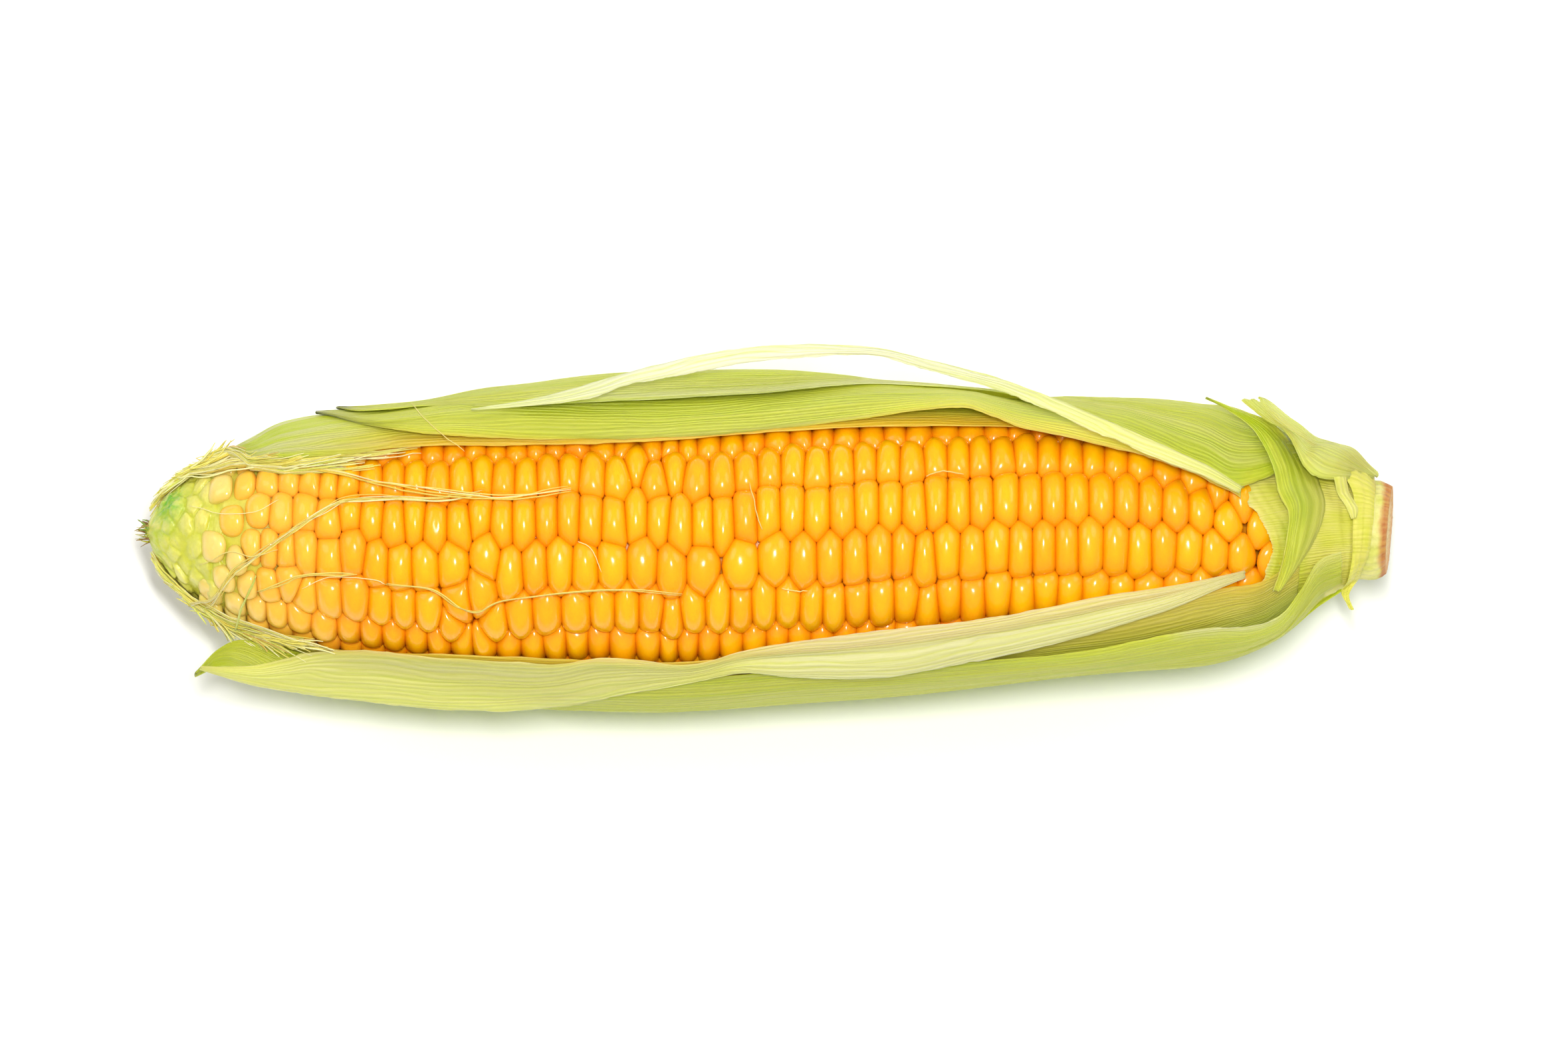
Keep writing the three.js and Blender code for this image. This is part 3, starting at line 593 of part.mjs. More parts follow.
add('cob', cob(), 'cob');
for (let k = 0; k < ROWS; k++) add('kernel_row_' + String(k + 1).padStart(2, '0'), kernelRow(k), 'kernel');
add('stem', stem(), 'stem');
for (const [name, spec] of Object.entries(LEAVES)) add(name, leafShell(spec), spec.look);
for (const [name, spec] of Object.entries(STRANDS)) add(name, strand(spec), 'silk');

export default ear;
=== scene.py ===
import bpy
import math
import numpy as np
from mathutils import Matrix, Vector


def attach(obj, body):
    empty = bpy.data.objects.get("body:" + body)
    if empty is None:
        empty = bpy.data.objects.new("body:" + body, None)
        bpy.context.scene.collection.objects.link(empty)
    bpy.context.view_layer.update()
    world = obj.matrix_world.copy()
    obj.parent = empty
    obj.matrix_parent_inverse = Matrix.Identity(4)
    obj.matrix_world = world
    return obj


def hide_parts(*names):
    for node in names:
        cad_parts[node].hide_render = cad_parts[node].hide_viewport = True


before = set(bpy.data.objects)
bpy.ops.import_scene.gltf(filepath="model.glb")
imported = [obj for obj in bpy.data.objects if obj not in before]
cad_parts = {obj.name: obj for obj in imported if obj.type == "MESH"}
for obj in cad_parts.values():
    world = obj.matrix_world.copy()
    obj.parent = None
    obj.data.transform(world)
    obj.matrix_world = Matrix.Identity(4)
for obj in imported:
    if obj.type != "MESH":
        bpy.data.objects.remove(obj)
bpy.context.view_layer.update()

# ------------------------------------------------------------ the shared shape
# Lengths in millimetres; a point on the ear is x along it, an angle round its
# axis (0 on the open side) and a radius. at() turns that into metres.
AXIS_HEIGHT = 30.4
TILT = math.radians(8.0)
SHIFT_X, SHIFT_Y = -0.36, -1.74
CROWN = np.array([[-103.1,13.4],[-100.6,15.01],[-94.5,17.45],[-87.2,19.52],[-77.5,21.59],[-65.3,23.06],[-53.1,23.91],[-37.2,24.4],[-18.9,24.64],[17.7,24.64],[36.0,24.4],[54.3,23.67],[66.5,22.69],[78.7,21.23],[86.0,19.52],[91.5,17.08],[94.5,14.4]])
BEND = np.array([[-114.3,2.56],[-112.8,2.44],[-108.9,2.07],[-100.6,1.34],[-87.2,0.98],[-65.3,0.49],[-37.2,0.0],[-18.9,-0.24],[1.5,0.24],[20.6,0.85],[36.0,1.22],[54.3,1.95],[72.8,2.44],[82.2,2.68],[115.3,2.68]])
# kernels: x, angle, row
KERNELS = np.array([
    [-97.3,12.4,0], [-92.3,19.2,0], [-88.4,16.3,0], [-84.0,16.2,0], [-79.6,11.3,0], [-75.7,16.6,0], [-71.8,13.2,0], [-67.6,9.6,0],
    [-64.0,12.4,0], [-60.2,9.0,0], [-55.9,9.1,0], [-52.0,14.4,0], [-48.0,10.8,0], [-44.2,11.3,0], [-39.9,13.3,0], [-36.0,14.2,0],
    [-32.1,13.2,0], [-27.7,11.5,0], [-23.8,15.0,0], [-19.7,14.3,0], [-15.7,10.2,0], [-11.7,10.6,0], [-8.1,11.8,0], [-4.1,14.0,0],
    [0.2,15.6,0], [4.3,16.7,0], [9.0,15.4,0], [13.6,15.7,0], [17.9,17.2,0], [22.2,17.2,0], [26.6,16.2,0], [30.5,18.9,0],
    [34.5,17.9,0], [38.7,18.3,0], [43.1,19.0,0], [47.6,17.8,0], [51.9,18.2,0], [55.9,18.0,0], [60.5,18.0,0], [65.1,17.5,0],
    [69.4,16.3,0], [73.9,13.9,0], [78.6,13.5,0], [83.6,6.9,0], [89.6,0.4,0], [-99.4,41.6,1], [-95.1,41.1,1], [-91.0,40.7,1],
    [-86.9,41.5,1], [-83.0,38.2,1], [-79.5,35.8,1], [-76.3,33.4,1], [-72.0,32.0,1], [-67.8,33.7,1], [-64.0,33.2,1], [-59.7,30.8,1],
    [-55.4,32.3,1], [-51.8,35.9,1], [-47.8,33.4,1], [-43.8,33.1,1], [-39.7,35.2,1], [-36.0,37.8,1], [-31.8,34.5,1], [-27.1,33.4,1],
    [-24.0,43.7,1], [-20.3,32.3,1], [-17.0,39.7,1], [-12.8,33.1,1], [-8.2,33.9,1], [-4.0,37.3,1], [0.4,39.9,1], [4.6,40.3,1],
    [8.9,37.3,1], [13.5,39.3,1], [17.6,41.0,1], [22.0,40.2,1], [26.1,38.7,1], [30.5,42.3,1], [34.8,42.5,1], [38.5,42.7,1],
    [42.5,42.9,1], [46.9,46.4,1], [51.2,45.2,1], [55.2,43.8,1], [59.2,44.1,1], [63.3,42.5,1], [67.7,40.7,1], [72.4,36.7,1],
    [77.7,31.7,1], [81.9,24.0,1], [85.7,17.6,1], [-98.7,64.5,2], [-95.0,62.4,2], [-91.1,62.2,2], [-87.0,61.3,2], [-82.8,59.4,2],
    [-78.5,59.6,2], [-74.8,58.4,2], [-69.2,57.9,2], [-65.2,56.1,2], [-60.8,56.4,2], [-57.0,55.8,2], [-53.1,56.4,2], [-49.4,56.0,2],
    [-45.6,55.7,2], [-42.2,58.3,2], [-38.6,58.7,2], [-35.0,58.6,2], [-29.7,58.8,2], [-25.9,57.7,2], [-21.0,57.6,2], [-17.5,57.9,2],
    [-14.8,57.3,2], [-11.0,59.6,2], [-6.2,58.6,2], [-2.8,60.7,2], [1.8,60.2,2], [6.3,62.9,2], [9.8,63.0,2], [14.4,60.9,2],
    [19.0,62.2,2], [23.2,64.8,2], [27.3,63.9,2], [32.5,66.3,2], [37.1,65.2,2], [41.8,64.9,2], [45.8,66.8,2], [50.0,67.4,2],
    [54.2,65.7,2], [58.6,64.3,2], [62.5,64.4,2], [66.6,65.5,2], [70.5,63.4,2], [74.8,59.8,2], [79.1,58.7,2], [83.0,57.0,2],
    [87.5,55.5,2], [-99.6,85.5,3], [-95.6,87.4,3], [-91.4,86.5,3], [-87.3,84.6,3], [-83.3,82.9,3], [-79.0,80.8,3], [-75.0,79.4,3],
    [-70.8,81.0,3], [-66.8,77.5,3], [-62.7,78.9,3], [-58.7,77.4,3], [-54.6,79.2,3], [-50.2,78.8,3], [-45.9,78.1,3], [-41.8,78.0,3],
    [-37.4,80.3,3], [-33.4,78.7,3], [-29.3,79.6,3], [-24.9,80.8,3], [-20.7,82.0,3], [-16.7,81.3,3], [-12.3,80.4,3], [-8.3,82.5,3],
    [-4.2,80.7,3], [0.1,80.9,3], [4.2,82.5,3], [8.2,83.6,3], [12.1,82.9,3], [16.1,83.7,3], [20.3,84.8,3], [24.3,85.8,3],
    [28.5,84.8,3], [32.6,86.1,3], [36.8,88.5,3], [41.2,89.5,3], [45.4,88.6,3], [49.6,88.7,3], [54.0,88.4,3], [57.9,86.3,3],
    [61.9,85.2,3], [66.3,84.3,3], [70.7,85.6,3], [74.7,83.6,3], [78.7,83.1,3], [83.0,78.7,3], [87.4,79.3,3], [-101.9,108.1,4],
    [-97.6,108.7,4], [-93.6,106.7,4], [-89.1,105.8,4], [-85.2,107.1,4], [-81.0,105.2,4], [-76.7,103.3,4], [-72.3,103.5,4], [-67.9,100.4,4],
    [-63.7,101.1,4], [-59.3,99.6,4], [-54.9,100.3,4], [-50.8,101.7,4], [-46.5,102.3,4], [-42.1,102.5,4], [-37.8,101.5,4], [-33.6,102.7,4],
    [-29.3,102.3,4], [-24.9,101.9,4], [-20.7,103.2,4], [-16.5,104.4,4], [-12.4,104.6,4], [-8.1,104.3,4], [-3.9,105.5,4], [0.0,104.0,4],
    [4.3,104.4,4], [8.7,105.8,4], [13.1,105.8,4], [17.4,106.0,4], [21.5,107.0,4], [25.8,108.1,4], [30.1,108.0,4], [34.2,108.1,4],
    [38.6,110.4,4], [42.5,111.3,4], [46.8,109.6,4], [50.7,108.5,4], [54.9,108.1,4], [59.1,110.1,4], [63.1,106.7,4], [67.4,107.9,4],
    [71.6,106.1,4], [75.8,103.9,4], [80.2,104.0,4], [84.2,100.2,4], [88.1,99.6,4], [-99.9,130.8,5], [-96.0,130.6,5], [-91.6,128.5,5],
    [-87.6,129.8,5], [-83.6,129.1,5], [-79.7,128.1,5], [-75.5,125.5,5], [-71.3,125.1,5], [-67.1,122.4,5], [-62.8,124.2,5], [-58.5,124.0,5],
    [-54.0,122.4,5], [-49.8,121.8,5], [-45.8,123.1,5], [-41.6,123.8,5], [-37.6,125.1,5], [-33.7,124.7,5], [-29.6,123.7,5], [-25.3,126.4,5],
    [-21.3,124.1,5], [-17.3,126.6,5], [-13.2,124.8,5], [-8.9,125.5,5], [-4.7,127.3,5], [-0.5,125.8,5], [3.8,126.5,5], [7.9,128.1,5],
    [12.3,129.2,5], [16.7,130.0,5], [20.6,129.8,5], [25.0,130.9,5], [29.3,129.8,5], [33.3,131.8,5], [37.4,129.6,5], [41.7,130.6,5],
    [46.1,131.6,5], [50.2,130.8,5], [54.4,132.0,5], [58.8,131.0,5], [63.1,129.9,5], [67.6,130.0,5], [71.7,127.8,5], [76.0,125.7,5],
    [80.0,124.7,5], [84.3,124.8,5], [88.6,124.0,5], [-102.1,151.7,6], [-97.8,151.1,6], [-93.3,151.7,6], [-89.1,150.8,6], [-84.9,149.6,6],
    [-80.9,148.7,6], [-76.7,148.0,6], [-72.6,145.6,6], [-68.3,144.6,6], [-64.4,145.5,6], [-60.0,145.6,6], [-55.8,145.3,6], [-51.7,146.5,6],
    [-47.4,145.9,6], [-43.2,146.9,6], [-39.0,145.5,6], [-34.7,147.7,6], [-30.8,148.5,6], [-26.6,149.0,6], [-22.5,147.2,6], [-18.0,147.4,6],
    [-13.6,149.5,6], [-9.6,147.5,6], [-5.4,150.2,6], [-1.5,150.4,6], [2.7,148.5,6], [7.0,149.3,6], [11.4,151.2,6], [15.6,150.1,6],
    [19.6,149.8,6], [23.6,152.4,6], [27.9,151.4,6], [32.3,153.0,6], [36.2,151.4,6], [40.6,152.8,6], [44.5,153.8,6], [48.4,151.6,6],
    [52.5,152.2,6], [56.7,153.2,6], [60.8,153.2,6], [64.9,152.8,6], [69.1,148.9,6], [73.1,149.1,6], [77.4,148.7,6], [81.3,146.6,6],
    [85.5,145.8,6], [-100.1,175.0,7], [-96.2,174.8,7], [-92.2,174.5,7], [-88.3,172.5,7], [-84.1,173.1,7], [-79.9,172.1,7], [-75.7,170.4,7],
    [-71.8,169.6,7], [-67.8,168.5,7], [-63.8,167.1,7], [-59.4,168.2,7], [-54.9,166.2,7], [-50.5,167.2,7], [-46.6,167.8,7], [-42.7,166.5,7],
    [-38.2,168.3,7], [-34.1,169.8,7], [-29.8,170.4,7], [-25.7,169.2,7], [-21.6,171.7,7], [-17.4,170.9,7], [-13.2,170.1,7], [-9.0,171.3,7],
    [-5.1,171.3,7], [-0.8,171.6,7], [3.5,171.6,7], [7.5,173.9,7], [11.7,173.0,7], [16.0,173.5,7], [20.1,174.0,7], [24.1,174.9,7],
    [28.0,172.0,7], [32.2,174.3,7], [36.1,175.1,7], [40.5,174.1,7], [44.9,174.6,7], [49.1,173.4,7], [53.5,173.8,7], [57.8,173.7,7],
    [61.9,172.1,7], [66.1,171.9,7], [70.3,172.9,7], [74.7,170.6,7], [79.1,169.3,7], [83.1,169.4,7], [87.5,166.8,7], [-101.5,-162.2,8],
    [-97.3,-163.1,8], [-92.9,-164.1,8], [-89.0,-166.2,8], [-84.8,-165.5,8], [-80.4,-167.0,8], [-76.5,-168.7,8], [-72.1,-170.4,8], [-68.1,-169.9,8],
    [-64.0,-171.5,8], [-60.0,-170.4,8], [-55.8,-169.6,8], [-51.6,-170.1,8], [-47.7,-170.6,8], [-43.3,-169.4,8], [-39.1,-169.4,8], [-35.0,-167.5,8],
    [-30.7,-167.6,8], [-26.6,-166.0,8], [-22.6,-166.0,8], [-18.3,-166.6,8], [-14.1,-167.9,8], [-10.1,-168.1,8], [-5.8,-165.3,8], [-1.7,-165.3,8],
    [2.2,-165.5,8], [6.2,-166.1,8], [10.1,-166.1,8], [14.0,-164.6,8], [18.4,-164.7,8], [22.5,-164.5,8], [26.9,-164.2,8], [31.2,-163.5,8],
    [35.1,-164.9,8], [39.5,-164.3,8], [44.0,-161.8,8], [47.9,-162.2,8], [52.3,-162.4,8], [56.4,-165.5,8], [60.6,-166.1,8], [65.0,-166.1,8],
    [69.1,-166.5,8], [73.2,-166.9,8], [77.7,-169.6,8], [82.0,-169.6,8], [86.1,-172.5,8], [-100.2,-142.4,9], [-95.9,-141.5,9], [-91.7,-142.9,9],
    [-87.4,-144.4,9], [-83.3,-143.4,9], [-79.2,-144.7,9], [-75.2,-144.6,9], [-71.1,-145.6,9], [-66.8,-146.8,9], [-62.4,-148.2,9], [-58.5,-146.9,9],
    [-54.5,-148.3,9], [-50.2,-148.2,9], [-46.0,-147.8,9], [-41.6,-145.8,9], [-37.6,-145.3,9], [-33.5,-146.6,9], [-29.5,-145.7,9], [-25.1,-145.6,9],
    [-21.0,-145.5,9], [-16.8,-145.2,9], [-12.3,-144.9,9], [-8.2,-145.3,9], [-4.0,-143.9,9], [0.3,-142.9,9], [4.7,-143.4,9], [8.8,-142.3,9],
    [12.9,-143.0,9], [16.8,-144.0,9], [21.2,-142.0,9], [25.2,-141.5,9], [29.1,-143.3,9], [33.3,-143.8,9], [37.4,-141.9,9], [41.7,-141.5,9],
    [45.8,-141.5,9], [50.1,-140.4,9], [54.0,-141.6,9], [58.0,-141.7,9], [62.3,-144.7,9], [66.2,-143.8,9], [70.3,-143.9,9], [74.6,-147.0,9],
    [78.9,-148.1,9], [82.9,-147.4,9], [86.9,-148.2,9], [-102.2,-119.1,10], [-98.0,-121.2,10], [-94.0,-121.7,10], [-89.7,-120.8,10], [-85.5,-121.3,10],
    [-81.4,-121.0,10], [-77.4,-124.7,10], [-73.1,-125.5,10], [-68.9,-126.3,10], [-64.6,-126.7,10], [-60.5,-126.4,10], [-56.4,-124.7,10], [-52.0,-125.0,10],
    [-47.7,-126.1,10], [-43.5,-126.2,10], [-39.3,-125.2,10], [-35.0,-124.8,10], [-30.8,-122.1,10], [-26.3,-123.4,10], [-22.2,-122.6,10], [-17.9,-121.5,10],
    [-13.6,-122.3,10], [-9.2,-122.8,10], [-4.9,-120.5,10], [-0.5,-120.2,10], [3.9,-121.9,10], [8.3,-121.1,10], [12.6,-119.6,10], [16.8,-121.0,10],
    [21.1,-121.8,10], [25.4,-122.2,10], [29.5,-119.3,10], [33.7,-119.5,10], [37.6,-120.5,10], [41.9,-119.8,10], [46.4,-120.0,10], [50.5,-120.9,10],
    [54.5,-118.9,10], [58.5,-120.6,10], [62.6,-122.5,10], [66.6,-123.9,10], [71.1,-123.3,10], [75.0,-124.3,10], [79.0,-124.0,10], [83.0,-125.5,10],
    [87.2,-127.3,10], [-100.1,-98.3,11], [-96.1,-96.7,11], [-92.1,-97.3,11], [-88.0,-98.4,11], [-83.6,-101.3,11], [-79.5,-101.0,11], [-75.2,-100.9,11],
    [-70.8,-103.5,11], [-66.7,-103.4,11], [-62.5,-103.5,11], [-58.6,-104.8,11], [-54.2,-101.4,11], [-50.4,-102.0,11], [-46.0,-103.8,11], [-41.6,-102.3,11],
    [-37.3,-102.5,11], [-33.3,-101.5,11], [-29.3,-100.4,11], [-25.0,-101.1,11], [-21.1,-100.8,11], [-16.9,-100.5,11], [-12.8,-99.3,11], [-8.3,-100.3,11],
    [-4.1,-100.3,11], [0.3,-98.5,11], [4.3,-99.7,11], [8.7,-97.7,11], [12.8,-98.8,11], [17.2,-98.2,11], [21.1,-99.5,11], [25.5,-97.8,11],
    [29.5,-100.1,11], [33.7,-99.7,11], [37.9,-99.6,11], [41.8,-97.6,11], [46.2,-97.7,11], [50.3,-99.6,11], [54.3,-99.1,11], [58.2,-98.3,11],
    [62.3,-99.7,11], [66.5,-101.9,11], [70.7,-102.2,11], [74.8,-103.1,11], [79.1,-104.2,11], [83.1,-104.6,11], [87.2,-107.0,11], [-101.6,-76.7,12],
    [-97.4,-74.9,12], [-93.3,-76.8,12], [-89.0,-76.8,12], [-84.7,-78.7,12], [-80.3,-76.8,12], [-76.2,-80.3,12], [-72.2,-78.8,12], [-68.0,-80.9,12],
    [-64.1,-81.0,12], [-60.0,-80.8,12], [-55.7,-81.5,12], [-51.3,-79.3,12], [-47.0,-79.0,12], [-42.7,-79.6,12], [-38.5,-79.4,12], [-34.6,-80.2,12],
    [-30.5,-77.1,12], [-26.4,-78.8,12], [-22.2,-76.7,12], [-18.2,-78.7,12], [-14.1,-77.3,12], [-9.9,-76.2,12], [-5.6,-78.0,12], [-1.3,-76.8,12],
    [3.0,-78.3,12], [7.0,-78.5,12], [11.3,-78.0,12], [15.7,-75.4,12], [19.9,-75.5,12], [24.0,-76.4,12], [28.1,-77.6,12], [32.1,-76.3,12],
    [36.4,-75.9,12], [40.8,-76.8,12], [45.0,-76.3,12], [49.3,-75.9,12], [53.7,-78.6,12], [57.7,-78.6,12], [62.1,-78.4,12], [66.4,-80.0,12],
    [70.4,-79.8,12], [74.3,-79.8,12], [78.3,-81.8,12], [82.5,-82.1,12], [86.8,-84.4,12], [-101.4,-53.5,13], [-97.1,-54.3,13], [-92.9,-52.7,13],
    [-89.9,-53.4,13], [-85.2,-54.1,13], [-81.0,-56.3,13], [-76.2,-57.2,13], [-72.1,-57.7,13], [-68.3,-57.4,13], [-63.8,-58.8,13], [-59.9,-58.5,13],
    [-55.6,-58.6,13], [-51.5,-57.0,13], [-47.2,-58.9,13], [-42.6,-59.7,13], [-38.7,-56.8,13], [-34.6,-55.3,13], [-30.7,-55.1,13], [-26.6,-55.4,13],
    [-21.3,-54.8,13], [-18.0,-56.1,13], [-14.6,-54.9,13], [-10.7,-56.3,13], [-6.6,-55.8,13], [-2.4,-54.8,13], [1.9,-54.7,13], [5.7,-55.1,13],
    [9.9,-56.3,13], [14.3,-54.3,13], [17.9,-54.8,13], [21.2,-55.8,13], [25.4,-55.6,13], [29.3,-55.4,13], [33.5,-55.8,13], [37.2,-56.2,13],
    [41.8,-53.4,13], [46.0,-53.5,13], [50.1,-54.7,13], [54.4,-54.4,13], [58.3,-56.3,13], [62.5,-55.7,13], [66.5,-58.1,13], [70.9,-56.9,13],
    [75.2,-58.0,13], [79.3,-57.9,13], [83.4,-61.8,13], [87.7,-60.9,13], [-98.6,-32.1,14], [-94.7,-32.9,14], [-90.8,-30.2,14], [-87.0,-24.2,14],
    [-83.9,-35.5,14], [-79.8,-33.6,14], [-74.8,-31.7,14], [-70.3,-35.8,14], [-66.1,-36.3,14], [-61.5,-36.6,14], [-57.5,-45.1,14], [-51.7,-24.1,14],
    [-49.5,-42.8,14], [-44.9,-37.1,14], [-40.2,-35.3,14], [-34.5,-34.0,14], [-29.8,-31.7,14], [-25.6,-31.8,14], [-21.0,-32.3,14], [-17.3,-37.9,14],
    [-13.6,-32.9,14], [-8.8,-31.0,14], [-4.9,-32.4,14], [-0.7,-30.8,14], [3.7,-30.8,14], [8.1,-33.3,14], [12.0,-33.7,14], [16.2,-31.8,14],
    [20.6,-31.1,14], [25.2,-30.0,14], [29.0,-35.5,14], [32.9,-31.5,14], [37.2,-32.1,14], [41.7,-29.4,14], [46.2,-33.4,14], [50.5,-30.6,14],
    [54.6,-33.1,14], [59.5,-33.7,14], [63.9,-36.9,14], [69.1,-37.0,14], [74.9,-34.7,14], [78.9,-35.2,14], [83.1,-38.0,14], [87.5,-39.5,14],
    [-100.5,-7.9,15], [-96.4,-16.7,15], [-93.5,-6.0,15], [-90.5,-6.4,15], [-87.3,-7.8,15], [-84.1,-5.8,15], [-79.5,-8.3,15], [-75.2,-4.8,15],
    [-70.8,-11.6,15], [-66.7,-13.0,15], [-62.1,-12.1,15], [-57.0,-10.5,15], [-50.8,-6.3,15], [-46.7,-13.8,15], [-42.1,-10.9,15], [-37.6,-8.8,15],
    [-33.0,-11.1,15], [-28.2,-9.4,15], [-22.6,-8.8,15], [-17.4,-12.0,15], [-11.9,-11.3,15], [-4.8,-10.0,15], [1.4,-6.9,15], [6.5,-9.2,15],
    [11.4,-8.2,15], [15.8,-8.3,15], [20.3,-6.2,15], [24.6,-6.2,15], [28.3,-10.4,15], [32.4,-6.4,15], [37.1,-8.3,15], [41.5,-5.2,15],
    [45.9,-6.9,15], [50.1,-6.7,15], [54.1,-6.5,15], [58.4,-5.8,15], [63.0,-6.7,15], [67.5,-9.1,15], [71.8,-8.1,15], [76.3,-10.3,15],
    [81.2,-13.4,15], [85.9,-15.7,15], [91.7,-19.7,15], [-56.2,-30.3,15]])
